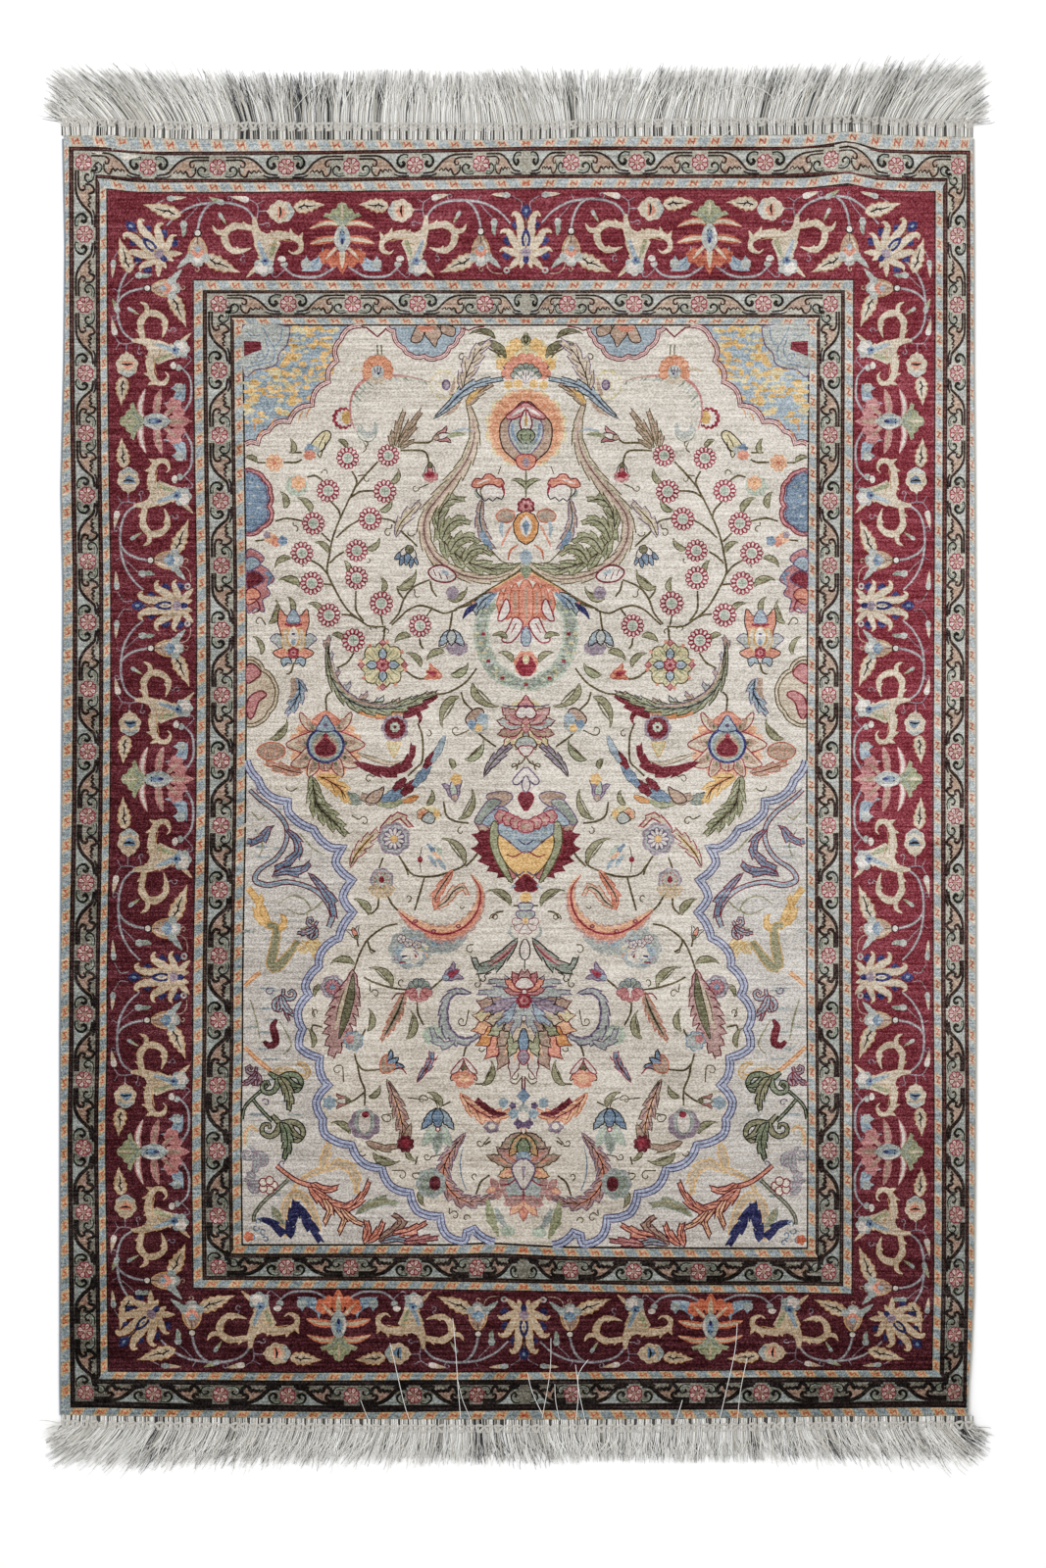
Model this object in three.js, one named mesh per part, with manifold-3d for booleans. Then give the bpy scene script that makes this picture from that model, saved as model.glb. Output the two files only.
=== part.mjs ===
// A hand-knotted silk rug lying flat: the knotted cloth with its uneven outline and low ripples, an
// overcast cord along each side, and a knotted warp fringe at each end whose locks fan out on the floor.
// Millimetres, +Z up. X runs across the rug, Y along it, and z = 0 is the floor under its middle.
import * as THREE from "three";
import { mergeVertices } from "three/addons/utils/BufferGeometryUtils.js";
import Module from "manifold-3d";

const wasm = await Module();
wasm.setup();

// The whole rug
const reachAcross = 497.5; // from the middle to the outermost fringe thread at the sides
const reachAlong = 750; // from the middle to the longest fringe thread at the ends
const seam = 0.35; // clear space between neighbouring pieces

// The knotted cloth
const clothThick = 2.4;
const columnStep = 40; // spacing of the cloth's mesh across
const rowStep = 49; // and along

// The overcast side cords
const cordWide = 2.0;
const cordHigh = 2.3;

// The fringe
const locksPerEnd = 97;
const lockHigh = 1.9;
const lockTipHigh = 0.8;
const lockTipShare = 0.45; // width at the tip as a share of the width at the knots
const lockClear = 0.9; // clear space between neighbouring locks, measured across the rug
const lockSteps = 2;
const lockCurl = 0.35; // share of a lock's sideways sweep that comes only towards its tip
const headingThick = 1.3;
const knotHigh = 3.1;
const knotDip = 1.5; // height between two knots

// Outer edges of the two sides, overcast cord included
const sideEdges = [
  { y: -700, left: -490.3, right: 484.2 },
  { y: -666, left: -490.9, right: 484.8 },
  { y: -629, left: -490.9, right: 487.7 },
  { y: -566, left: -490.9, right: 490.9 },
  { y: -440, left: -490.9, right: 492.0 },
  { y: -282, left: -490.9, right: 493.0 },
  { y: -125, left: -489.8, right: 493.0 },
  { y: 32, left: -488.8, right: 493.0 },
  { y: 190, left: -487.7, right: 492.4 },
  { y: 295, left: -489.8, right: 491.9 },
  { y: 431, left: -486.7, right: 490.9 },
  { y: 557, left: -485.6, right: 490.9 },
  { y: 672, left: -487.7, right: 489.8 },
];

// Edges of the knotted pile at the two ends
const endEdges = [
  { x: -488, bottom: -695.0, top: 674.5 },
  { x: -436, bottom: -696.5, top: 674.0 },
  { x: -370, bottom: -697.5, top: 671.0 },
  { x: -291, bottom: -698.3, top: 670.0 },
  { x: -165, bottom: -699.8, top: 669.8 },
  { x: 0, bottom: -700.4, top: 669.5 },
  { x: 76, bottom: -700.2, top: 672.6 },
  { x: 171, bottom: -699.6, top: 674.0 },
  { x: 286, bottom: -697.8, top: 675.0 },
  { x: 355, bottom: -696.8, top: 677.0 },
  { x: 420, bottom: -697.0, top: 674.0 },
  { x: 490, bottom: -696.0, top: 672.5 },
];

// Ripples that stand up from the floor, each running inwards from the edge where it is highest
const ripples = [
  { name: "pinched crease, top left", x: -434, y: 674, toX: -438, toY: 552, high: 4.0, half: 13 },
  { name: "swell, top left", x: -288, y: 670, toX: -284, toY: 590, high: 1.8, half: 44 },
  { name: "swell, top middle", x: 92, y: 672, toX: 96, toY: 600, high: 1.6, half: 52 },
  { name: "ripple, top right", x: 357, y: 677, toX: 348, toY: 560, high: 7.5, half: 34 },
  { name: "curled edge, bottom right", x: 489, y: -698, toX: 494, toY: -560, high: 2.6, half: 24 },
];

// How the fringe lies: lean away from straight out, in degrees towards +X, and how far its tips reach
const fringeLie = [
  { x: -488, topLean: -64, topTip: 744, bottomLean: -64, bottomTip: -744 },
  { x: -433, topLean: -47, topTip: 745, bottomLean: -45, bottomTip: -748 },
  { x: -375, topLean: -36, topTip: 744, bottomLean: -34, bottomTip: -752 },
  { x: -297, topLean: -22, topTip: 742, bottomLean: -26, bottomTip: -749 },
  { x: -207, topLean: 0, topTip: 743, bottomLean: -22, bottomTip: -749 },
  { x: -165, topLean: 5, topTip: 746, bottomLean: -28, bottomTip: -748 },
  { x: -71, topLean: 1, topTip: 744, bottomLean: -6, bottomTip: -749 },
  { x: 18, topLean: -22, topTip: 745, bottomLean: 22, bottomTip: -748 },
  { x: 66, topLean: -4, topTip: 746, bottomLean: 10, bottomTip: -746 },
  { x: 129, topLean: 22, topTip: 747, bottomLean: -5, bottomTip: -746 },
  { x: 213, topLean: 10, topTip: 748, bottomLean: -2, bottomTip: -747 },
  { x: 307, topLean: 22, topTip: 748, bottomLean: 24, bottomTip: -744 },
  { x: 400, topLean: 30, topTip: 752, bottomLean: 30, bottomTip: -746 },
  { x: 454, topLean: 46, topTip: 749, bottomLean: 46, bottomTip: -745 },
  { x: 490, topLean: 64, topTip: 744, bottomLean: 64, bottomTip: -744 },
];

// The two ends of the rug: plain-woven heading, row of knots, then the locks
const ends = {
  top: { side: 1, heading: 8.5, knots: 10.5, reach: 56, lean: "topLean", tip: "topTip" },
  bottom: { side: -1, heading: 5, knots: 9.5, reach: 37, lean: "bottomLean", tip: "bottomTip" },
};

const silkPile = new THREE.MeshStandardMaterial({ color: 0x7b2430, roughness: 0.62, metalness: 0 });
const silkCord = new THREE.MeshStandardMaterial({ color: 0x6f7684, roughness: 0.55, metalness: 0 });
const warpSilk = new THREE.MeshStandardMaterial({ color: 0xc9c6bd, roughness: 0.5, metalness: 0 });

const clamp = THREE.MathUtils.clamp;
const lerp = THREE.MathUtils.lerp;

// Value of a table's column at a place between its rows
function readTable(rows, key, place, column) {
  let after = rows.findIndex((row) => row[key] >= place);
  if (after < 0) after = rows.length - 1;
  if (after === 0) after = 1;
  const low = rows[after - 1];
  const high = rows[after];
  return lerp(low[column], high[column], clamp((place - low[key]) / (high[key] - low[key]), 0, 1));
}

// How far the cloth stands off the floor at a place
function liftAt(x, y) {
  let lift = 0;
  for (const ripple of ripples) {
    const run = clamp((y - ripple.toY) / (ripple.y - ripple.toY), 0, 1);
    const away = Math.abs(x - lerp(ripple.toX, ripple.x, run)) / ripple.half;
    if (away < 1) lift += ripple.high * THREE.MathUtils.smoothstep(run, 0, 1) * 0.5 * (1 + Math.cos(Math.PI * away));
  }
  return lift;
}

// Shares of the way from one edge to the other: even steps, and the extra ones that the ripples need
function stops(low, high, step, extra) {
  const even = Math.round((high - low) / step);
  const places = Array.from({ length: even + 1 }, (_, i) => i / even);
  for (const place of extra) {
    const share = (place - low) / (high - low);
    const nearest = Math.min(...places.map((other) => Math.abs(other - share)));
    if (share > 0 && share < 1 && nearest * (high - low) > step * 0.15) places.push(share);
  }
  return places.sort((a, b) => a - b);
}

const lowSide = sideEdges[0];
const highSide = sideEdges[sideEdges.length - 1];
const rippleColumns = ripples.flatMap((ripple) => [ripple.x, ripple.x - ripple.half, ripple.x + ripple.half]);
const columns = stops(endEdges[0].x, endEdges[endEdges.length - 1].x, columnStep, rippleColumns);
const rows = stops(lowSide.y, highSide.y, rowStep, []);

// Place on the cloth at shares across and along it
function clothPoint(across, along) {
  const level = lerp(lowSide.y, highSide.y, along);
  const inset = cordWide + seam;
  const left = readTable(sideEdges, "y", level, "left") + inset;
  const right = readTable(sideEdges, "y", level, "right") - inset;
  const x = lerp(left, right, across);
  const y = lerp(readTable(endEdges, "x", x, "bottom"), readTable(endEdges, "x", x, "top"), along);
  return new THREE.Vector3(x, y, liftAt(x, y));
}

// The knotted cloth: a fine box whose points are moved to the outline and over the ripples
function makeCloth() {
  const geometry = new THREE.BoxGeometry(1, 1, 1, columns.length - 1, rows.length - 1, 1);
  const position = geometry.attributes.position;
  for (let i = 0; i < position.count; i++) {
    const column = Math.round((position.getX(i) + 0.5) * (columns.length - 1));
    const row = Math.round((position.getY(i) + 0.5) * (rows.length - 1));
    const place = clothPoint(columns[column], rows[row]);
    position.setXYZ(i, place.x, place.y, place.z + (position.getZ(i) > 0 ? clothThick : 0));
  }
  return geometry;
}

// Closed skin through rings of the same number of points, with a flat cap at each end
function loft(rings) {
  const sides = rings[0].length;
  const points = rings.flat();
  const faces = [];
  for (let r = 0; r + 1 < rings.length; r++) {
    for (let s = 0; s < sides; s++) {
      const a = r * sides + s;
      const b = r * sides + ((s + 1) % sides);
      faces.push(a, b, b + sides, a, b + sides, a + sides);
    }
  }
  const last = (rings.length - 1) * sides;
  for (let s = 1; s + 1 < sides; s++) {
    faces.push(0, s + 1, s);
    faces.push(last, last + s, last + s + 1);
  }
  const geometry = new THREE.BufferGeometry();
  geometry.setAttribute("position", new THREE.Float32BufferAttribute(points.flatMap((p) => [p.x, p.y, p.z]), 3));
  geometry.setIndex(faces);
  return geometry;
}

// The overcast cord beside one edge, flat underneath, with the same stations as the cloth's rows
function makeSideCord(share, outward) {
  const rings = rows.map((along) => {
    const edge = clothPoint(share, along);
    const inner = edge.x + outward * seam;
    const outer = inner + outward * cordWide;
    const flat = cordWide * 0.22;
    const section = [
      [inner + outward * flat, 0],
      [outer - outward * flat, 0],
      [outer, cordHigh * 0.5],
      [outer - outward * flat, cordHigh],
      [inner + outward * flat, cordHigh],
      [inner, cordHigh * 0.5],
    ];
    if (outward > 0) section.reverse();
    return section.map(([x, z]) => new THREE.Vector3(x, edge.y, edge.z + z));
  });
  return loft(rings);
}

// Place on the cloth's end edge at any share across it, along the straight runs between its columns
function endPoint(across, along) {
  let after = columns.findIndex((column) => column >= across);
  if (after < 1) after = 1;
  const share = (across - columns[after - 1]) / (columns[after] - columns[after - 1]);
  return clothPoint(columns[after - 1], along).lerp(clothPoint(columns[after], along), share);
}

// The strip that the locks hang from: flat heading next to the cloth, then a ridge with a bump for each knot
function makeHeading(end) {
  const deep = end.heading + end.knots;
  const along = end.side > 0 ? 1 : 0;
  const rings = [];
  for (let i = 0; i <= locksPerEnd * 2; i++) {
    const edge = endPoint(i / (locksPerEnd * 2), along);
    const crest = i % 2 === 1 ? knotHigh : knotDip;
    const section = [
      [seam, 0],
      [deep, 0],
      [end.heading + end.knots * 0.5, crest],
      [end.heading, headingThick],
      [seam, headingThick],
    ];
    if (end.side < 0) section.reverse();
    rings.push(section.map(([out, z]) => new THREE.Vector3(edge.x, edge.y + end.side * out, edge.z + z)));
  }
  return loft(rings);
}

// Place across the rug of a lock's middle at a height above the knots: it sweeps more towards its tip
function lockMiddle(end, share, height) {
  const root = endPoint(clamp(share, 0, 1), end.side > 0 ? 1 : 0);
  const spill = (share - clamp(share, 0, 1)) * 2 * reachAcross;
  const lean = THREE.MathUtils.degToRad(readTable(fringeLie, "x", root.x, end.lean));
  return root.x + spill + Math.tan(lean) * height * (1 - lockCurl + (lockCurl * height) / end.reach);
}

// How far a lock reaches from the knots: to its tip, or to the rug's outermost width where it sweeps over it
function lockReach(end, index, root, base) {
  const ragged = Math.min(0, 1.6 * Math.sin(index * 2.4) + 1.2 * Math.sin(index * 5.1));
  const tip = Math.min(reachAlong, Math.abs(readTable(fringeLie, "x", root.x, end.tip)));
  let reach = tip - Math.abs(base) + ragged;
  while (Math.abs(lockMiddle(end, (index + 0.5) / locksPerEnd, reach)) > reachAcross) reach -= 0.5;
  return reach;
}

// One lock: flat on the floor, three-sided, tapering from its knot to its tip
function makeLock(end, index) {
  const share = (index + 0.5) / locksPerEnd;
  const root = endPoint(share, end.side > 0 ? 1 : 0);
  const base = root.y + end.side * (end.heading + end.knots);
  const reach = lockReach(end, index, root, base);
  const rings = [];
  for (let i = 0; i <= lockSteps; i++) {
    const run = i / lockSteps;
    const height = i === 0 ? -end.knots * 0.35 : reach * run;
    const rise = Math.max(height, 0);
    const middle = lockMiddle(end, share, rise);
    const before = (middle - lockMiddle(end, share - 1 / locksPerEnd, rise)) / 2;
    const after = (lockMiddle(end, share + 1 / locksPerEnd, rise) - middle) / 2;
    const taper = lerp(0.9, lockTipShare, run);
    const left = clamp(middle - taper * (before - lockClear / 2), -reachAcross, reachAcross);
    const right = clamp(middle + taper * (after - lockClear / 2), -reachAcross, reachAcross);
    const y = base + end.side * height;
    const floor = root.z * (1 - run) * (1 - run);
    const high = lerp(lockHigh, lockTipHigh, run);
    const section = [new THREE.Vector3(left, y, floor), new THREE.Vector3(right, y, floor)];
    section.push(new THREE.Vector3((left + right) / 2, y, floor + high));
    if (end.side > 0) section.reverse();
    rings.push(section);
  }
  return loft(rings);
}

function toSolid(geometry) {
  const bare = mergeVertices(geometry);
  return new wasm.Manifold(
    new wasm.Mesh({
      numProp: 3,
      vertProperties: new Float32Array(bare.attributes.position.array),
      triVerts: new Uint32Array(bare.index.array),
    }),
  );
}

function fromSolid(solid) {
  const mesh = solid.getMesh();
  const geometry = new THREE.BufferGeometry();
  geometry.setAttribute("position", new THREE.Float32BufferAttribute(mesh.vertProperties, 3));
  geometry.setIndex(Array.from(mesh.triVerts));
  return geometry;
}

// A whole fringe: heading, knots and all the locks rooted in them, as one body
function makeFringe(end) {
  let solid = toSolid(makeHeading(end));
  for (let i = 0; i < locksPerEnd; i++) solid = solid.add(toSolid(makeLock(end, i)));
  return fromSolid(solid);
}

function addPiece(group, name, geometry, material) {
  const piece = new THREE.Mesh(geometry, material);
  piece.name = name;
  group.add(piece);
}

const group = new THREE.Group();
addPiece(group, "rug", makeCloth(), silkPile);
addPiece(group, "selvedge_left", makeSideCord(0, -1), silkCord);
addPiece(group, "selvedge_right", makeSideCord(1, 1), silkCord);
addPiece(group, "fringe_top", makeFringe(ends.top), warpSilk);
addPiece(group, "fringe_bottom", makeFringe(ends.bottom), warpSilk);

export default group;
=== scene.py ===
import math
import random

import bpy
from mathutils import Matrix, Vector
from mathutils.geometry import delaunay_2d_cdt


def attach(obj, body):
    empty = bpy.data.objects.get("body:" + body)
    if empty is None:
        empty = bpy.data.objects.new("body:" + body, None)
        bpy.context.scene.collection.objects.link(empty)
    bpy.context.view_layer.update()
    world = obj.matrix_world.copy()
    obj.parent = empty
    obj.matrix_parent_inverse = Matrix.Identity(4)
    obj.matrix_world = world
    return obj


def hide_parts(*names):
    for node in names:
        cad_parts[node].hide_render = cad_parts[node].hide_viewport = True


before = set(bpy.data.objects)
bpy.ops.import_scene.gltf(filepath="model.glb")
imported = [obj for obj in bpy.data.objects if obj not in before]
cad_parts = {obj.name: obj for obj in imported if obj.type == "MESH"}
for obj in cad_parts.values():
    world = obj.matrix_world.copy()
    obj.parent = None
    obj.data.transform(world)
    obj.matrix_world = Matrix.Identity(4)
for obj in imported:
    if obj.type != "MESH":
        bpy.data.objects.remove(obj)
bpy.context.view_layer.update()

# A hand-knotted silk rug laid flat. Its pattern is charted in knots, one knot to a unit, with columns counted
# to the right and rows counted down, and each zone of the chart becomes one piece of pile.

# The chart

chart = {
    "knot": 0.00105,        # metres from one knot to the next
    "middleColumn": 527.5,  # column and row over the rug's own origin
    "middleRow": 781.0,
    "foldColumn": 536.5,    # the design is the same to both sides of this column
    "edge": (63.5, 142.0, 1446.5),  # left column, top row and bottom row of the knotted cloth
}
fold = chart["foldColumn"]

# Each band's outer side: its column at the left, its row at the top and its row at the bottom
bands = {
    "outerStripe": (60.0, 138.0, 1450.0),
    "outerLines": (71.0, 153.0, 1438.6),
    "outerGuard": (76.0, 157.0, 1431.8),
    "guardLines": (98.0, 181.0, 1412.6),
    "wideStripe": (102.5, 185.0, 1407.2),
    "mainLine": (109.2, 194.4, 1399.8),
    "mainBorder": (110.6, 195.6, 1398.6),
    "mainInnerLine": (196.8, 285.2, 1315.2),
    "innerWideStripe": (198.2, 286.6, 1314.0),
    "innerOuterLines": (207.0, 296.4, 1306.4),
    "innerGuard": (211.5, 299.8, 1302.0),
    "innerGuardLines": (235.0, 321.2, 1283.0),
    "fieldStripe": (239.0, 324.6, 1278.4),
    "fieldLine": (247.2, 331.2, 1270.4),
    "field": (249.0, 333.0, 1268.4),
}

# Every yarn as it shows where the pile's sheen lights it most, and where it lies in deepest painted shade
yarns = {
    "ivory": ("#d7d1c8", "#b5ab9d"),
    "maroon": ("#703c38", "#1a1414"),
    "wheat": ("#c8beb0", "#9e8464"),
    "haze": ("#b2b6b6", "#747c7e"),
    "blush": ("#c6a8a2", "#82605a"),
    "stemGrey": ("#988892", "#665a62"),
    "pearlWarm": ("#c8c1b6", "#a49c90"),
    "inkOlive": ("#584c34", "#2c2418"),
    "guardGround": ("#bcb8aa", "#5c584e"),
    "cream": ("#d0c5b4", "#9a866e"),
    "white": ("#dad5cf", "#a89c92"),
    "mist": ("#babbb6", "#787d79"),
    "paleBlue": ("#a8b3bb", "#6a7880"),
    "softCoral": ("#cf9a7e", "#aa7050"),
    "inkViolet": ("#6c6078", "#443b54"),
    "arcBlue": ("#b2b9c6", "#8c93a8"),
    "blue": ("#8494a6", "#506476"),
    "navy": ("#404272", "#1a1a36"),
    "crimson": ("#84363f", "#301014"),
    "red": ("#963a46", "#621c24"),
    "rose": ("#c08a8a", "#8c5854"),
    "coral": ("#cb907c", "#ae705c"),
    "rust": ("#b06854", "#a0543a"),
    "orange": ("#cc9868", "#aa7040"),
    "gold": ("#c6a46c", "#a27e4c"),
    "ochre": ("#b89a7a", "#9a744c"),
    "tan": ("#b8a08e", "#7a6254"),
    "olive": ("#78745a", "#484632"),
    "green": ("#8e947a", "#5c644e"),
    "leafGreen": ("#a0a286", "#78785c"),
    "greyGreen": ("#989e94", "#6a7064"),
    "lilac": ("#a0949e", "#72606a"),
    "purple": ("#70607a", "#4c3c52"),
    "brown": ("#60423c", "#32201c"),
    "darkLine": ("#3c2e2a", "#120e0c"),
    "black": ("#2a2624", "#0e0c0a"),
    "mint": ("#b4bcae", "#8c9484"),
    "sand": ("#d0c6a4", "#ac9e7c"),
    "pearl": ("#cfcbc5", "#aca59d"),
    "honey": ("#d6b682", "#bc9460"),
    "peach": ("#d6ae92", "#ba8e6e"),
    "sage": ("#9c987c", "#6e6a52"),
    "stalk": ("#62563a", "#3c3222"),
}


# Drawing

mostParts = 14          # a span between two points of a smooth line has at most this many short lines


def area(points):
    return 0.5 * sum(p[0] * q[1] - q[0] * p[1] for p, q in zip(points, points[1:] + points[:1]))


def smoothLine(points, closed=False, step=2.2):
    line = []
    count = len(points)
    for i in range(count if closed else count - 1):
        if closed:
            a, b, c, d = (points[(i + k - 1) % count] for k in range(4))
        else:
            a, b, c, d = points[max(i - 1, 0)], points[i], points[i + 1], points[min(i + 2, count - 1)]
        parts = max(1, min(mostParts, round(math.dist(b, c) / step)))
        for j in range(parts):
            t = j / parts
            line.append(tuple(
                0.5 * (2 * b[k] + (c[k] - a[k]) * t + (2 * a[k] - 5 * b[k] + 4 * c[k] - d[k]) * t * t
                       + (3 * b[k] - a[k] - 3 * c[k] + d[k]) * t ** 3) for k in (0, 1)))
    if not closed:
        line.append(tuple(points[-1]))
    return line


def between(values, share):
    # a value along a short list, by straight steps
    place = share * (len(values) - 1)
    low = min(int(place), len(values) - 2)
    return values[low] + (values[low + 1] - values[low]) * (place - low)


def sides(line):
    # the unit vector to the left of the line at each of its points
    result = []
    for i in range(len(line)):
        a, b = line[max(i - 1, 0)], line[min(i + 1, len(line) - 1)]
        run = math.dist(a, b) or 1
        result.append((-(b[1] - a[1]) / run, (b[0] - a[0]) / run))
    return result


def ribbon(points, widths, teeth=0, bite=0.0, step=2.2):
    # a stroke along a smooth line, with widths spread evenly along it and teeth along both sides
    line = smoothLine(points, step=step if not teeth else min(step, 1.6))
    if teeth:
        fine = []
        for a, b in zip(line, line[1:]):
            fine += [a, ((a[0] + b[0]) / 2, (a[1] + b[1]) / 2)]
        line = fine + [line[-1]]
    left, right = [], []
    last = len(line) - 1
    for i, ((x, y), (nx, ny)) in enumerate(zip(line, sides(line))):
        half = between(widths, i / last) / 2
        if teeth:
            half *= 1 - bite * ((i / last * teeth) % 1.0)
        left.append((x + nx * half, y + ny * half))
        right.append((x - nx * half, y - ny * half))
    return left + right[::-1]


def oval(x, y, wide, high=None, count=0):
    high = high or wide
    count = count or max(6, min(28, round(3.1 * (wide + high) / 1.9)))
    return [(x + math.cos(math.tau * i / count) * wide, y + math.sin(math.tau * i / count) * high)
            for i in range(count)]


def lobed(x, y, radius, lobes, dip, turn=0.0, perLobe=4, high=1.0):
    # a ring of round lobes
    ring = []
    for i in range(lobes * perLobe):
        angle = math.tau * i / (lobes * perLobe)
        reach = radius * (1 - dip * (1 - abs(math.sin(lobes * angle / 2))))
        at = angle + math.radians(turn)
        ring.append((x + reach * math.cos(at), y + reach * math.sin(at) * high))
    return ring


def spiral(x, y, start, turns, radius):
    # points that wind inwards round the middle (x, y), from radius at the angle start to a quarter of it
    count = max(5, round(abs(turns) * 8))
    points = []
    for i in range(count + 1):
        share = i / count
        angle = math.radians(start) + math.tau * turns * share
        reach = radius * (1 - 0.75 * share)
        points.append((x + reach * math.cos(angle), y + reach * math.sin(angle)))
    return points


zone = {"shapes": [], "mirror": True}


def paint(yarn, outline):
    zone["shapes"].append((yarn, outline))
    if zone["mirror"]:
        zone["shapes"].append((yarn, [(2 * fold - x, y) for x, y in outline]))


def stroke(yarn, points, widths, teeth=0, bite=0.0, step=2.2):
    paint(yarn, ribbon(points, widths, teeth, bite, step))


def penAt(x, y, way=1):
    # a pen placed on the chart, upside down where way is -1
    def put(yarn, outline):
        paint(yarn, [(x + a, y + way * b) for a, b in outline])
    return put


def stamp(x, y, turn=0.0, size=1.0):
    # a pen for a motif's own drawing, placed, turned and sized on the chart
    c, s = math.cos(math.radians(turn)) * size, math.sin(math.radians(turn)) * size

    def put(yarn, outline):
        paint(yarn, [(x + a * c - b * s, y + a * s + b * c) for a, b in outline])
    return put


def rimmed(put, rim, fill, points, widths, edge=0.9, teeth=0, bite=0.0):
    put(rim, ribbon(points, [w + 2 * edge * w / (w + 1.0) for w in widths], teeth, bite))
    put(fill, ribbon(points, widths, teeth, bite * 0.8))


# Bands and stripes

def corners(name):
    # left, top, right and bottom of a band's outer side
    left, top, bottom = bands[name]
    return left, top, 2 * fold - left, bottom


def band(yarn, outer, inner, share=(0.0, 1.0)):
    # a plain band from the outer side of one level to that of the next, as four mitred strips
    a, b = corners(outer), corners(inner)
    o = [p + (q - p) * share[0] for p, q in zip(a, b)]
    i = [p + (q - p) * share[1] for p, q in zip(a, b)]
    outerRing = [(o[0], o[1]), (o[2], o[1]), (o[2], o[3]), (o[0], o[3])]
    innerRing = [(i[0], i[1]), (i[2], i[1]), (i[2], i[3]), (i[0], i[3])]
    mirror, zone["mirror"] = zone["mirror"], False
    for k in range(4):
        n = (k + 1) % 4
        paint(yarn, [outerRing[k], outerRing[n], innerRing[n], innerRing[k]])
    zone["mirror"] = mirror


middlePart = 0.26       # of a pair of lines' width, the part between them


def lines(outer, inner, middle="brown"):
    # two dark lines with a paler one between
    band("darkLine", outer, inner)
    band(middle, outer, inner, (0.5 - middlePart / 2, 0.5 + middlePart / 2))


def edgePen(side, outer, inner, along, deep):
    # a pen in border terms: s runs along the side from the first of along by steps of the second, and
    # t from the band's outer side, 0, to its inner side, deep
    o, i = corners(outer), corners(inner)
    start, step = along

    def put(yarn, outline):
        if side == "top":
            placed = [(start + step * s, o[1] + (i[1] - o[1]) * t / deep) for s, t in outline]
        elif side == "bottom":
            placed = [(start + step * s, o[3] + (i[3] - o[3]) * t / deep) for s, t in outline]
        else:
            placed = [(o[0] + (i[0] - o[0]) * t / deep, start + step * s) for s, t in outline]
        paint(yarn, placed)
    return put


# A slanted S on a cream block and a pale one between it and the next
stripe = {"period": 24.2, "slant": 2.6, "high": 9.0, "glyph": 0.75}


def stripeBlock(put, pale):
    block, glyph = ("mist", "paleBlue") if pale else ("wheat", "rust")
    half, lean, high = stripe["period"] / 4, stripe["slant"], stripe["high"]
    put(block, [(-half - lean, 0), (half - lean, 0), (half + lean, high), (-half + lean, high)])
    if pale:
        put("haze",
            [(-half - lean + 1.5, 1), (-2 - lean, 1), (lean - 2.4, high - 1), (-half + lean + 1, high - 1)])
    width = stripe["glyph"]
    for x in (-2.7, 2.7):
        put(glyph,
            [(x - width - 0.9, 2.2), (x + width - 0.9, 1.8), (x + width + 0.9, 6.8), (x - width + 0.9, 7.2)])
    put(glyph, [(-2.9, 5.4), (-1.7, 6.6), (2.9, 3.6), (1.7, 2.4)])


def stripeRun(outer, inner):
    # blocks along the left side and half of both ends, the same to both sides of the fold
    left = corners(outer)[0]
    _, top, _, bottom = corners(inner)
    spacing, deep = stripe["period"] / 2, stripe["high"]
    count = int((fold - left) / spacing)
    reach = (fold - left) / (count + 0.5)
    for side in ("top", "bottom"):
        for k in range(count + 1):
            stripeBlock(edgePen(side, outer, inner, (fold - reach * k, reach / spacing), deep), k % 2 == 1)
    count = int((bottom - top) / spacing)
    reach = (bottom - top) / count
    for k in range(count):
        stripeBlock(edgePen("left", outer, inner, (top + reach * (k + 0.5), -reach / spacing), deep),
                    k % 2 == 1)


# The guards: eight-petalled rosettes on a vine

guard = {
    "deep": 24.0,
    "step": 66.0,           # from one rosette to the next, in the vine's own terms
    "rosette": 8.9,
    "petals": 8,
    # the lines' weight at both ends of each side
    "bold": {"top": (1.5, 1.5), "left": (1.8, 2.8), "bottom": (3.1, 3.1)},
}


def guardRosette(x, y, share=1.0):
    radius = guard["rosette"] * share
    paint("red", lobed(x, y, radius, guard["petals"], 0.13))
    size = radius / 9.6
    for k in range(guard["petals"]):
        angle = 360 / guard["petals"] * (k + 0.5)
        c, s = math.cos(math.radians(angle)), math.sin(math.radians(angle))
        for yarn, petal in (("blush" if k % 2 else "white",
                             [(2.4, 0), (5.4, -1.75), (7.4, -1.7), (8.3, 0), (7.4, 1.7), (5.4, 1.75)]),
                            ("blush", [(4.4, 0), (6.2, -1.1), (7.8, 0), (6.2, 1.1)])):
            paint(yarn, [(x + size * (a * c - b * s), y + size * (a * s + b * c)) for a, b in petal])
    paint("tan", oval(x, y, 2.3, 2.3, count=8))


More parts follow.
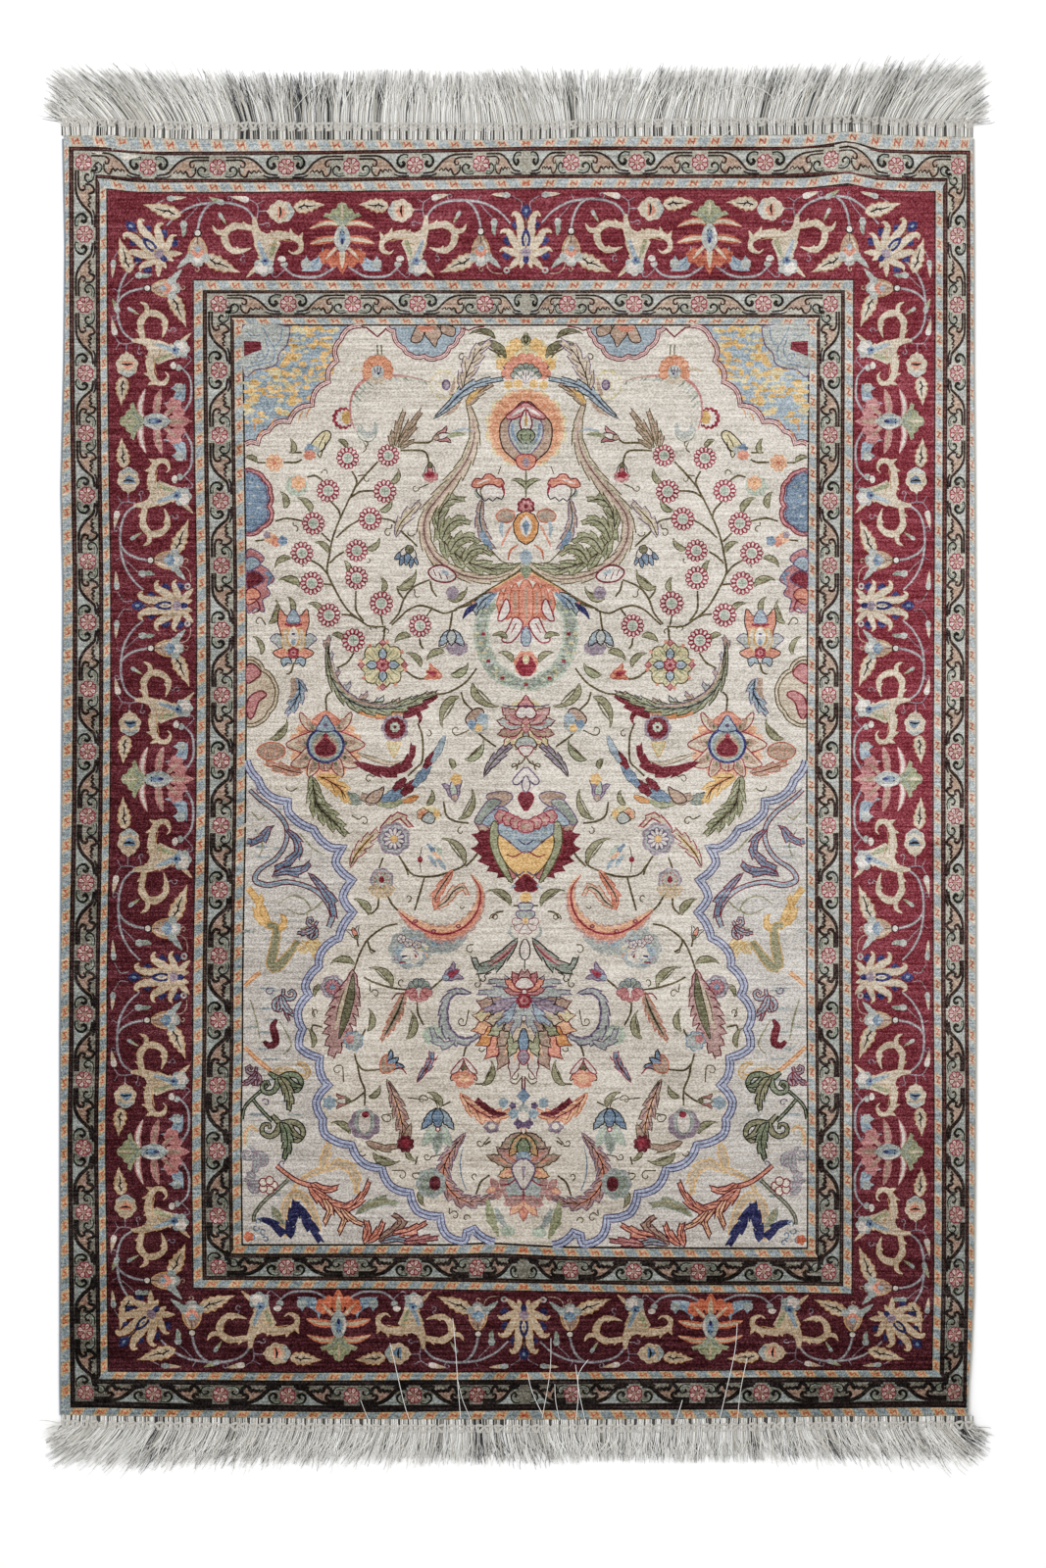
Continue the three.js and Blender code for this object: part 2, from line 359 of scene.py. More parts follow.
def guardVine(put, bold=1.0):
    # from a rosette with the vine outside, s 0, to one with the vine inside, s 66
    put("mist", [(30, 0.6), (50, 0.6), (47, 7), (45, 15), (40, 11), (34, 5)])
    put("mist", [(46, 22.6), (52, 16), (60, 20), (60, 23.4)])
    # the hanging leaf
    hanging = [(22, 8), (25.5, 5.6), (31, 5.8), (36, 8.2), (40, 12), (43.5, 17), (45, 20.6), (41.5, 17.8),
               (39, 15.4), (37.6, 18.4), (35, 15.6), (32.6, 18.6), (30, 15.8), (28.6, 19.6), (27, 22.6),
               (23.6, 21.4), (21.6, 17.4), (24.4, 18.6), (25.4, 14), (23, 12.6)]
    put("tan", hanging)
    put("darkLine", ribbon([(20.8, 12.6), (21, 17.6), (23.8, 21.8), (27.2, 22.6), (28.8, 19.6), (30.2, 16.2),
                            (32.6, 19), (35, 16), (37.8, 18.6), (39.2, 15.8), (42, 18.6)],
                           [w * bold for w in (1.2, 1.4, 1.3, 1.0)]))
    # the vine's two lines
    put("darkLine", ribbon([(8, 2.2), (20, 2.0), (28, 2.6), (34, 5.2), (39.5, 9.6), (44, 15.2), (48.5, 19.4),
                            (58, 20.8)], [w * bold for w in (1.4, 1.4, 1.6, 1.6, 1.3)]))
    put("darkLine", ribbon([(8, 5.2), (18, 5.0), (23, 5.6), (26.4, 8.4), (25.4, 12.6), (22.6, 12.4),
                            (22.2, 10)], [w * bold for w in (1.3, 1.3, 1.4, 1.1)]))
    put("darkLine", ribbon([(44, 20.8), (49, 23), (60, 23)], [w * bold for w in (1.0, 1.3, 1.2)]))
    # the green hook beside the outer rosette
    put("black", ribbon([(7.4, 20.6), (12, 21.6), (16.6, 20), (18.2, 15.6), (15, 12.4), (11.6, 14.4),
                         (12.6, 17.2)], (4.0, 3.6, 3.4, 2.6, 2.2)))
    put("greyGreen",
        ribbon([(7.4, 20.4), (12, 21.2), (16, 19.6), (17.4, 15.8), (15, 13.2)], (2.0, 1.8, 1.6, 1.0)))
    # the curl on the outer side of the inner rosette
    put("black", ribbon([(59, 3.2), (54.4, 2.6), (49.8, 5.2), (48.8, 9.8), (52, 13.6), (55, 11), (53, 8)],
                        (3.6, 4.6, 4.6, 4.2, 2.6)))
    put("greyGreen",
        ribbon([(58, 3.4), (54.2, 3.2), (50.8, 5.8), (50, 9.6), (52, 12)], (1.6, 2.4, 2.4, 2.0, 1.2)))


def guardRun(outer, inner, places):
    # places: for each side, the rosettes' columns or rows from the corner on, the last of an end on the fold
    left, top, _, bottom = corners(outer)
    innerLeft, innerTop, _, innerBottom = corners(inner)
    for side in ("top", "bottom", "left"):
        row = places[side]
        for k in range(len(row) - 1):
            a, b = row[k], row[k + 1]
            vineOutside = k % 2 == 0          # at the first of the two
            start, end = (a, b) if vineOutside else (b, a)
            guardVine(edgePen(side, outer, inner, (start, (end - start) / guard["step"]), guard["deep"]),
                      between(guard["bold"][side], k / (len(row) - 2)))
    middle = {"top": (top + innerTop) / 2, "bottom": (bottom + innerBottom) / 2,
              "left": (left + innerLeft) / 2}
    for side in ("top", "bottom"):
        for x in places[side][:-1]:
            guardRosette(x, middle[side], 1 if side == "top" else 0.95)
    for y in places["left"][1:-1]:
        guardRosette(middle["left"], y)
    for y, way in ((middle["top"], 1), (middle["bottom"], -1)):
        # a curl that points to the inner corner
        put = stamp(middle["left"], y)
        put("black", ribbon([(7, 8 * way), (11, 8.5 * way), (12.5, 5 * way), (9.8, 3 * way), (8.8, 5 * way)],
                            (2.8, 2.8, 2.2)))


def paintGuards():
    guardRun("outerGuard", "guardLines", {
        "top": (86.0, 151.8, 222.7, 292.7, 359.0, 423.5, 490.7, fold),
        "bottom": (86.5, 155.7, 224.0, 292.9, 358.9, 423.4, 488.0, fold),
        "left": (168.0, 240.5, 311.2, 381.0, 442.0, 505.0, 573.0, 635.0, 703.0, 766.8, 832.8, 900.7, 972.4,
                 1034.3, 1101.3, 1171.0, 1237.0, 1296.3, 1358.9, 1422.0)})


def paintInnerGuard():
    guardRun("innerGuard", "innerGuardLines", {
        "top": (223.3, 294.5, 360.0, 426.0, 494.6, fold),
        "bottom": (223.3, 292.9, 358.9, 424.2, 488.7, fold),
        "left": (310.0, 378.0, 444.0, 511.0, 577.0, 643.0, 709.0, 776.0, 842.0, 908.0, 975.0, 1041.0, 1107.0,
                 1174.0, 1240.0, 1292.5)})


# The main border: palmettes of two kinds with a spray between each pair, drawn once and laid along every side

spray = {
    "deep": 90.0,
    "step": 187.0,          # from a lily palmette to the next leaf palmette, in the spray's own terms
    "stem": 3.6,
    "leafIn": 46.4,         # how far in the palmettes' middles lie from the border's outer side
    "lilyIn": 52.6,
    "sideLilyIn": 57.0,
}


def petal(put, rim, fill, points, widths, edge=0.9):
    rimmed(put, rim, fill, points, [w * 0.88 for w in widths], edge, 5, 0.2)


def bothWays(draw, put):
    # draws one half of a motif and its mirror image, about the motif's own axis
    draw(put)
    draw(lambda yarn, outline: put(yarn, [(-x, y) for x, y in outline]))


def lilyPalmette(put):
    # its crown points to the outer side, which is up in this frame; the petals fan towards the field
    def half(pen):
        for x, y, r in ((-10, -17, 4.6), (-18.4, -2, 5.2), (-19.6, 13, 4.8), (-9.4, 18.6, 4.4)):
            pen("navy", lobed(x, y, r, 4, 0.2, 45))
        petal(pen, "ochre", "cream", [(-3, 14), (-9, 12), (-17, 8.6), (-23, 6.6), (-27, 9.4)],
              (4, 7.4, 7.6, 5, 0.6))
        petal(pen, "ochre", "cream", [(-3, 14), (-8, 18), (-12.6, 22), (-17.6, 27)], (4, 7, 6.4, 0.6))
        petal(pen, "ochre", "cream", [(-1.6, 15), (-4, 20), (-5.4, 26)], (4, 6, 1))
        petal(pen, "ochre", "cream",
              [(-3, 10), (-9, 4), (-14, -4), (-18.6, -11), (-24.6, -11), (-25.6, -8.6)],
              (5, 8.4, 9, 8, 5, 0.8))
        petal(pen, "ochre", "cream",
              [(-2.6, 8), (-5.4, -4), (-5.4, -15), (-7.4, -25), (-12, -29), (-14.6, -25.4)],
              (5, 7.4, 8.6, 8.4, 6, 1))
    put("navy",
        [(0, -38), (4, -34.4), (5.4, -30), (2.4, -25.4), (0, -21), (-2.4, -25.4), (-5.4, -30), (-4, -34.4)])
    put("blue", oval(0, -31, 1.7, 2.4, count=6))
    bothWays(half, put)
    put("navy", oval(0, 17, 3.2, 4.6))
    put("lilac", oval(0, 10, 5.4, 4.4))
    put("navy", [(0, -14.6), (3.2, -10), (4.8, -3.4), (4, 3.4), (2, 4.6), (0, 2.4), (-2, 4.6), (-4, 3.4),
                 (-4.8, -3.4), (-3.2, -10)])
    put("cream", [(0, -9), (2.2, -4.6), (2.2, 0), (0, 4.4), (-2.2, 0), (-2.2, -4.6)])
    put("blue", [(0, -5.4), (1, -2.6), (0, 1), (-1, -2.6)])
    put("olive", ribbon([(0, -25), (0, -15)], (0.9, 0.9)))


def leafPalmette(put, rosy=False):
    # an ivory heart with a lobed crest outside and tongues towards the field
    tongue, streak = ("rose", "tan") if rosy else ("rust", "cream")
    crest = "leafGreen"

    def half(pen):
        petal(pen, tongue, "white" if rosy else streak, [(-4, -13), (-14, -14.6), (-24, -12.6), (-33, -9)],
              (3, 4.6, 3.6, 0.2), edge=2.2)
        petal(pen, tongue, streak, [(-7, 2), (-15, 2.4), (-24, 4), (-33, 7)], (3, 5, 4.2, 0.2), edge=3.0)
        pen(tongue, lobed(-16, 20, 8.4, 5, 0.22, 20))
        pen(tongue, lobed(-9, 25, 6.4, 4, 0.2, 60))
        petal(pen, tongue, streak, [(-6, 11), (-11, 16), (-17, 23)], (3, 4, 1), edge=1.6)
        pen(crest, [(0, -36), (-4.2, -34.4), (-6, -29.6), (-10, -29), (-12.6, -24), (-17, -25),
                    (-19.6, -21.4), (-14, -19.6), (-9, -17), (-4, -12), (0, -11)])
        pen("greyGreen", ribbon([(-1, -14), (-6, -19.6), (-12, -22.6)], (2.4, 2.8, 1)))
    bothWays(half, put)
    put("cream", ribbon([(0, -34), (0, -20)], (1, 3.2, 1)))
    put(tongue, [(0, 39), (-4.4, 31), (-7, 24), (-5, 15), (5, 15), (7, 24), (4.4, 31)])
    put(streak, ribbon([(0, 15), (0, 22), (0, 32)], (6, 5, 1)))
    put("mist",
        [(0, -13), (5, -9.6), (8, -2), (8.4, 5), (5, 12), (0, 17), (-5, 12), (-8.4, 5), (-8, -2), (-5, -9.6)])
    put("white", ribbon([(-5.6, 8), (-6.6, 0), (-4, -8)], (1.6, 2.4, 1.4)))
    put("blue", [(0, -8.6), (3, -3.4), (3, 3), (0, 8.4), (-3, 3), (-3, -3.4)])
    put("navy", oval(0, 4.4, 1.7, 3.2))
    put("black", oval(-1.6, -5, 1.0, 1.0, count=6))
    put("black", oval(1.6, -5, 1.0, 1.0, count=6))


def veinedLeaf(put, base, tip, width=12.0, flip=1):
    # a pale toothed leaf with a black branching vein
    run = math.dist(base, tip)
    turn = math.degrees(math.atan2(tip[1] - base[1], tip[0] - base[0]))

    def pen(yarn, outline):
        c, s = math.cos(math.radians(turn)), math.sin(math.radians(turn))
        put(yarn, [(base[0] + x * c - y * flip * s, base[1] + x * s + y * flip * c) for x, y in outline])
    k, w = run / 34.0, width / 12.0
    outline = [(0, 0), (2, -3.4), (6, -4.6), (9, -6.4), (12, -5), (15, -6.4), (18, -4.4), (21.4, -5),
               (25, -2.6), (29, -1.6), (34.6, 0.6), (28, 1.6), (25, 3.6), (22, 3), (19.4, 5.4), (16, 4.4),
               (12.6, 6.6), (9.4, 5), (6, 5.6), (3, 3.6)]
    pen("ochre", [(x * k * 1.04 - 0.4, y * w * 1.16) for x, y in outline])
    pen("cream", [(x * k, y * w * 0.96) for x, y in outline])
    pen("black",
        ribbon([(5 * k, 0.6), (12 * k, -0.9 * w), (17 * k, 0.5), (24 * k, 0.4)], (1.5, 1.7, 1.5, 0.9)))
    pen("black", ribbon([(10 * k, -0.4), (12.6 * k, -3 * w)], (1.5, 0.8)))
    pen("black", ribbon([(13.4 * k, -0.6), (16 * k, 2.8 * w)], (1.5, 0.8)))
    pen("black", ribbon([(7.4 * k, 0.2), (9 * k, 2.8 * w)], (1.3, 0.7)))


def bellFlower(put, cup="coral"):
    # hangs from (0, 0), its knob, towards the field
    put("black", oval(0, 0.6, 3.9, 4.4))
    put("white", oval(0, 0.2, 2.9, 3.0))
    put("ochre", [(-2.6, 4.6), (2.6, 4.6), (6.4, 9), (9, 15), (9.8, 21), (9, 27), (-9, 27), (-9.8, 21),
                  (-9, 15), (-6.4, 9)])
    put("tan", [(-2, 5.4), (2, 5.4), (5.4, 10), (7.8, 16), (8.6, 22), (7.6, 26), (-7.6, 26), (-8.6, 22),
                (-7.8, 16), (-5.4, 10)])
    put("cream", ribbon([(-1.6, 6.6), (-5, 14), (-6.4, 22)], (1.2, 2.4, 2.0)))
    put("mist", lobed(-7, 26.4, 5.4, 4, 0.2))
    put("mist", lobed(7, 26.4, 5.4, 4, 0.2))
    put("mist", lobed(0, 29.4, 6.6, 5, 0.2, 18))
    put("white", lobed(0, 27.6, 4.2, 5, 0.2))
    put(cup, [(-6.6, 18.4), (-3, 17.4), (0, 19), (3, 17.4), (6.6, 18.4), (5, 23.4), (0, 26.6), (-5, 23.4)])
    put("paleBlue", oval(0, 17.4, 3.0, 3.4))
    put("brown", ribbon([(0, 5), (0, 12)], (0.8, 0.8)))


def splitLeaf(put):
    # the big curled leaf between two palmettes, in the spray's own terms
    def limb(points, widths):
        rimmed(put, "ochre", "cream", points, [w * 0.84 for w in widths], 0.7, 4, 0.26)
    limb([(101, 37), (92, 35.4), (82, 34.6), (73.6, 41), (73, 51), (79, 59.6), (89, 60.6), (98.4, 57.6)],
         (6, 8.4, 8.6, 8.4, 8, 7.4, 6, 0.6))
    limb([(75, 41), (69, 41.4), (64, 40), (60.6, 34)], (6, 6.4, 4.4, 0.5))
    limb([(93, 35), (90.4, 29.6)], (6, 0.5))
    limb([(86, 60), (84, 56)], (5, 0.5))
    limb([(109, 53), (117, 46.6), (128, 44.4), (139, 46), (146.4, 52), (146, 60), (139, 63.4), (134.6, 60)],
         (9, 13, 12, 9.4, 7.4, 6.6, 4.6, 0.6))
    limb([(138, 44), (136.4, 37.6)], (6, 0.5))
    limb([(145.6, 48), (148.6, 41.6)], (6, 0.5))
    limb([(120, 44), (117.6, 39)], (6, 0.5))
    limb([(101.4, 25), (102, 33), (104, 44), (108, 56), (112.6, 68), (113, 76)], (2.4, 8.6, 11, 15, 17, 9))
    put("cream", [(108, 40), (122, 47), (127, 53), (122, 64), (120, 72), (110, 70), (104, 56)])
    put("leafGreen", ribbon([(122, 50), (119, 60), (116, 68)], (4, 5, 2)))
    put("paleBlue", ribbon([(105, 50), (109, 62), (113, 72)], (2.6, 4.6, 6)))
    put("ochre", ribbon([(116, 48), (127, 48.6), (138, 51)], (0.7, 1.1, 0.7)))
    put("ochre", ribbon([(112, 56), (116, 54), (124, 54)], (0.7, 1.1, 0.7)))
    limb([(104, 77), (98, 83.6), (93.6, 88)], (5.4, 4.4, 0.6))
    put("mist", lobed(110.6, 77, 10.4, 6, 0.2))
    put("white", lobed(108.4, 78.6, 6.4, 5, 0.25))
    put("blue", lobed(112, 71.6, 4.6, 5, 0.25))
    put("navy", oval(111.6, 70.6, 1.6, 1.8, count=6))
    put("white", oval(128, 69.4, 4.0, 3.6))
    put("mist", oval(130.4, 74.6, 3.6, 3.2))
    put("crimson", ribbon([(124.6, 70.6), (128, 73), (132, 72)], (0.7, 0.9, 0.7)))


def stem(put, points):
    width = spray["stem"] * 0.84
    put("stemGrey", ribbon(points, (width * 0.7, width, width, width * 0.8), 9, 0.12))
    put("mist", ribbon(points, (width * 0.24, width * 0.4, width * 0.4, width * 0.24)))


def tendril(put, x, y, radius, start=90.0, turns=0.9, tail=None, yarn="stemGrey"):
    points = ([tail] if tail else []) + spiral(x, y, start, turns, radius)
    put(yarn, ribbon(points, (1.0, 1.2, 1.0)))


def bud(put, base, tip, yarn="mist", width=5.6, end="leafGreen"):
    run = (tip[0] - base[0], tip[1] - base[1])
    middle = (base[0] + run[0] * 0.45, base[1] + run[1] * 0.45)
    put(end, ribbon([base, middle, tip], (width * 0.5, width * 0.8, 0.5), 3, 0.25))
    put(yarn, ribbon([base, (base[0] + run[0] * 0.3, base[1] + run[1] * 0.3), middle],
                     (width * 0.5, width, width * 0.5)))


def halfSpray(put, kind="side"):
    # s 0 at the lily palmette, 187 at the leaf palmette; t 0 at the outer side, 90 at the inner
    cup = "coral" if kind in ("top", "corner") else "blue"
    stem(put, [(16, 34), (26, 23), (41, 14), (58, 10.4), (76, 10.4), (91, 15), (99, 23), (102.4, 33)])
    stem(put, [(62, 10), (54, 16), (48.4, 27), (46, 39)])
    stem(put, [(129.6, 77), (139, 85.6), (152, 88), (166, 86.4), (180.6, 77)])
    tendril(put, 77, 6, 3.6, 60, -0.9, (70, 10))
    put("stemGrey", ribbon([(50, 12), (46, 5)], (1, 0.7)))
    put("stemGrey", ribbon([(103, 31), (105, 20), (104, 12), (97, 7)], (1, 1.2, 1.2, 1)))
    put("stemGrey", ribbon([(105, 19.4), (114, 19)], (1.2, 1.2)))
    put("stemGrey", ribbon([(104, 12), (111, 8)], (1, 0.8)))
    tendril(put, 114, 34, 3.6, 200, 0.8, (106, 33))
    tendril(put, 91, 70, 4.0, 280, -0.8, (89, 62))
    put("stemGrey", ribbon([(46, 14.6), (40, 22), (34, 28)], (1.0, 1.0)))
    put("stemGrey", ribbon([(5, 22), (4.4, 13), (14, 6.6)], (1.1, 1.1, 0.9)))
    put("stemGrey", ribbon([(176, 82), (170, 78.4)], (1.2, 0.7)))
    tendril(put, 121, 84.6, 4.2, 20, 0.8, (131, 80))
    bud(put, (16, 6), (35, 4.6), width=6.4, end="cream")
    bud(put, (96, 7.6), (79, 4), "white", 7.6, "cream")
    bud(put, (67, 21), (74, 33), width=4.8)
    put("mist", ribbon([(32.6, 29), (32.4, 35), (32.6, 38)], (4, 7.4, 4)))
    put("greyGreen", ribbon([(32.6, 36), (32.8, 41), (31.6, 46)], (4.4, 5, 1)))
    splitLeaf(put)
    # the round flower by the leaf palmette
    put("cream", lobed(127.6, 19.8, 12.6, 7, 0.14, 180, high=0.98))
    put("cream", [(127, 10), (118, 15), (113, 19.4), (118, 25), (127, 30)])
    put("mist", ribbon([(134, 12), (138, 20), (134, 28)], (3, 5.4, 3)))
    put(cup, [(124, 13.6), (130, 17), (132.6, 20.4), (129, 26), (124, 27)])
    put("black", ribbon([(126.4, 14.4), (127.2, 20), (126, 26)], (1, 2.6, 1)))
    veinedLeaf(put, (140, 15.6), (169.4, 12.6), 12.6)

    def bell(yarn, outline):
        # where the bell hangs by the lily palmette
        put(yarn, [(46 + x, 41.6 + y) for x, y in outline])
    veinedLeaf(put, (52, 67), (86, 83), 13.6, -1)
    rimmed(put, "greyGreen", "mist", [(38, 68), (32, 73), (26, 78.6)], (5, 5, 0.8), 0.6)
    bellFlower(bell, cup)
    tendril(put, 45, 80, 3.4, 260, 0.9, (40, 74), "tan")
    if kind != "corner":
        put("tan", ribbon([(40, 72), (38.6, 79), (33, 83.6), (24, 84.4)], (0.9, 1.1, 1)))
        put("mist", oval(19.6, 81, 3.5, 3.5, count=9))
        put("red", oval(19.6, 81, 1.6, 1.6, count=6))
    # the pale flower over the inner stem
    put("paleBlue", [(168, 57), (166.4, 64), (161, 69), (155, 72), (152, 66), (149, 71), (151, 77),
                     (147, 81.6), (157, 82), (165, 80.6), (168.6, 73), (170, 64)])
    put("mist", lobed(151.4, 74.6, 5.4, 4, 0.2))
    put("blue", ribbon([(164, 66), (162, 73), (157, 77)], (1.2, 2.4, 1)))
    if kind == "corner":
        veinedLeaf(put, (29.6, 24), (-6, 12), 13.0, -1)
        bud(put, (72, 11), (57, 4.6), width=7.0)
    else:
        tendril(put, 7.6, 11.6, 2.6, 180, 0.8, None, "brown")


def paintMainBorder():
    left, top, _, bottom = corners("mainBorder")
    lilies = {"top": (154.0, fold), "bottom": (147.0, fold), "left": (250.0, 618.0, 997.0, 1350.0)}
    leaves = {"top": (349.4,), "bottom": (346.0,), "left": (430.0, 795.0, 1175.0)}
    for side in ("top", "bottom", "left"):
        for k, leafAt in enumerate(leaves[side]):
            for lilyAt in lilies[side][k:k + 2]:
                atCorner = lilyAt in (lilies[side][0], lilies[side][-1]) and lilyAt != fold
                along = (lilyAt, (leafAt - lilyAt) / spray["step"])
                halfSpray(edgePen(side, "mainBorder", "mainInnerLine", along, spray["deep"]),
                          "corner" if atCorner else side)
    for side, edge, turn in (("top", top, 0), ("bottom", bottom, 180), ("left", left, -90)):
        way = -1 if side == "bottom" else 1
        for at in leaves[side]:
            spot = (edge + spray["leafIn"], at) if side == "left" else (at, edge + way * spray["leafIn"])
            leafPalmette(stamp(*spot, turn=turn), rosy=side == "left")
        for at in lilies[side]:
            if at == fold:
                zone["mirror"] = False
                lilyPalmette(stamp(at, edge + way * spray["lilyIn"] * (1 if way > 0 else 0.93), turn=turn))
                zone["mirror"] = True
            elif side == "left" and at not in (lilies["left"][0], lilies["left"][-1]):
                lilyPalmette(stamp(edge + spray["sideLilyIn"], at, turn=turn, size=0.98))
    lilyPalmette(stamp(left + 45, 252, turn=-45, size=0.98))
    lilyPalmette(stamp(left + 37, 1348, turn=-135, size=0.98))


# The field's own motifs

inkWeight = 1.45    # outlines in the field, against the widths given with each motif


def widened(outline, reach):
    # the outline moved outwards by reach
    way = 1 if area(outline) < 0 else -1
    result = []
    count = len(outline)
    for i in range(count):
        a, b = outline[i - 1], outline[(i + 1) % count]
        run = math.dist(a, b) or 1
        x, y = outline[i]
        result.append((x - way * (b[1] - a[1]) / run * reach, y + way * (b[0] - a[0]) / run * reach))
    return result


def outlined(put, fill, points, dark="darkLine", edge=0.8, smooth=True):
    outline = smoothLine(points, True, 2.6) if smooth else points
    put(dark, widened(outline, edge * inkWeight))
    put(fill, outline)


def ringFlower(x, y, size):
    petals = 13
    paint("red", lobed(x, y, 12.2 * size, petals, 0.13, perLobe=3))
    for k in range(petals):
        angle = math.tau * (k + 0.5) / petals
        c, s = math.cos(angle), math.sin(angle)
        shape = [(6.4, 0), (8.2, -1.15), (10.4, -0.9), (11.0, 0), (10.4, 0.9), (8.2, 1.15)]
        paint("white", [(x + size * (a * c - b * s), y + size * (a * s + b * c)) for a, b in shape])
    paint("white", oval(x, y, 5.6 * size))
    paint("mint", oval(x, y, 4.6 * size))
    paint("greyGreen", [(x - 0.5, y - 3.4), (x + 0.5, y - 3.4), (x + 0.5, y + 3.4), (x - 0.5, y + 3.4)])
    paint("greyGreen", [(x - 3.4, y - 0.5), (x + 3.4, y - 0.5), (x + 3.4, y + 0.5), (x - 3.4, y + 0.5)])


def leaf(base, tip, width, fill, bend=0.12):
    # a comma of a leaf, widest near its stalk, with a hooked tip and one half darker
    run = (tip[0] - base[0], tip[1] - base[1])

    def at(along, off):
        return base[0] + run[0] * along - run[1] * off, base[1] + run[1] * along + run[0] * off
    width *= 0.86
    line = [base, at(0.3, bend + 0.05), at(0.7, bend + 0.01), at(0.98, -0.04), at(1.08, -0.17)]
    stroke("inkOlive", line, (1.6, width * 0.92 + 2.0, width * 0.98 + 2.0, width * 0.4 + 1.6, 1.0), step=3.2)
    stroke(fill, line, (0.4, width * 0.9, width * 0.94, width * 0.36, 0.3), step=3.2)
    half = width * 0.02
    stroke("olive" if fill == "sage" else "inkOlive",
           [at(0.1, 0.05), at(0.36, bend - half), at(0.66, bend - half - 0.03), at(0.92, -0.04)],
           (0.7, width * 0.3, width * 0.26, 0.6), step=3.2)


def twig(points, width=2.3, yarn="stalk"):
    stroke(yarn, points, (width * 0.8, width, width * 0.8), step=3.0)


def curl(x, y, radius, start, turns, tail=None, yarn="stalk", width=1.3):
    points = (list(tail) if tail else []) + spiral(x, y, start, turns, radius)
    stroke(yarn, points, (width, width, width * 0.8))


def lobedLeaf(points, widths, lobes, bite):
    # the outline of a curved leaf cut into hooked lobes, and its side veins
    line = smoothLine(points, step=2.0)
    last = len(line) - 1
    normals = sides(line)
    step = sum(math.dist(a, b) for a, b in zip(line, line[1:])) / lobes
    left, right, veins = [], [], []
    for k in range(lobes):
        for sign, rim, late in ((1, left, 0.0), (-1, right, 0.34)):
            for part, reach, ahead in ((0.0, 1 - bite, 0.0), (0.36, 0.92, 0.1), (0.62, 1.12, 0.62),
                                       (0.84, 0.66, 0.1)):
                share = min(0.97, (k + part + late) / lobes)
                at = min(last, round(share * last))
                (x, y), (nx, ny) = line[at], normals[at]
                half = sign * between(widths, share) / 2 * reach
                push = ahead * step * (1 - share * 0.5)
                rim.append((x + nx * half + ny * push, y + ny * half - nx * push))
                if part == 0.62:
                    start = line[max(0, round((k + late) / lobes * last))]
                    veins.append([start, tuple(start[i] + (rim[-1][i] - start[i]) * 0.72 for i in (0, 1))])
    return left + [line[-1]] + right[::-1], veins


def plume(points, widths, fill="tan", rim="darkLine", teeth=7, bite=0.4, vein="darkLine", edge=0.8,
          shade=None):
    # an acanthus leaf: dark outline, pale lobes, a shaded middle and a thin vein
    lobes = max(2, round(teeth * 0.8))
    outline, veins = lobedLeaf(points, widths, lobes, min(0.62, bite + 0.16))
    paint(rim, widened(outline, edge * inkWeight))
    paint(fill, outline)
    inner = smoothLine(points)
    cut = max(1, len(inner) // 7)
    if shade:
        stroke(shade, inner[cut:-cut:2], [max(0.7, w * 0.3) for w in widths], step=3.0)
    if vein:
        if max(widths) > 12:
            for line in veins[1:-1]:
                stroke(vein, line, (1.0, 0.7), step=20)
        stroke(vein, inner[cut // 2:-cut:2] if len(inner) > 12 else inner[:-cut], (1.0, 1.3, 0.8), step=3.0)


def notchedPetal(put, base, tip, width, fill, dark, edge=0.9, shade=None):
    # a pointed petal with notched shoulders
    run = (tip[0] - base[0], tip[1] - base[1])
    length = math.hypot(*run) or 1

    def at(along, off):
        return (base[0] + run[0] * along - run[1] / length * off * width,
                base[1] + run[1] * along + run[0] / length * off * width)
    half = [(0.0, 0.14), (0.2, 0.38), (0.4, 0.5), (0.54, 0.4), (0.6, 0.48), (0.74, 0.27), (0.82, 0.31),
            (0.92, 0.1)]
    outlined(put, fill, [at(a, b) for a, b in half] + [at(1.04, 0.06)] + [at(a, -b) for a, b in half[::-1]],
             dark, edge, False)
    if shade:
        put(shade, [at(0.16, 0.1), at(0.44, 0.2), at(0.74, 0.04), at(0.44, -0.2), at(0.16, -0.1)])
        put(dark, [at(0.1, 0.03), at(0.62, 0.0), at(0.1, -0.05)])


def petalRing(put, x, y, ring, dark, start=8.0, shade=None):
    # petals that spread from the middle (x, y): their turn, reach, width and yarn
    for turn, reach, wide, fill in ring:
        c, s = math.cos(math.radians(turn)), math.sin(math.radians(turn))
        notchedPetal(put, (x + start * c, y + start * s), (x + reach * c, y + reach * s), wide, fill, dark,
                     0.9, shade)


def tulip(x, y, turn, size=1.0, outer="rose", inner="white", dark="darkLine", base="olive"):
    # three petals that open along the turn
    pen = stamp(x, y, turn, size)
    for side in (-1, 1):
        outlined(pen, outer, [(0, side * 0.5), (4, side * 4.4), (9, side * 5.4), (14, side * 8.4),
                              (12, side * 4), (8, side * 1.4)], dark)
    outlined(pen, inner, [(1, 0), (6, -2.6), (11, -1.6), (14.6, 0), (11, 1.6), (6, 2.6)], dark)
    outlined(pen, base, [(-2.4, 0), (0, -2.6), (3, -2), (3.6, 0), (3, 2), (0, 2.6)], dark, 0.6)


def daisy(x, y, radius, petals, petal="coral", core="red", dark=None):
    if dark:
        paint(dark, lobed(x, y, radius + 0.8, petals, 0.2))
    paint(petal, lobed(x, y, radius, petals, 0.24))
    for k in range(petals):
        angle = math.tau * k / petals
        stroke(core, [(x + radius * 0.3 * math.cos(angle), y + radius * 0.3 * math.sin(angle)),
                      (x + radius * 0.74 * math.cos(angle), y + radius * 0.74 * math.sin(angle))], (0.7, 0.7))
    paint(core, oval(x, y, radius * 0.26))


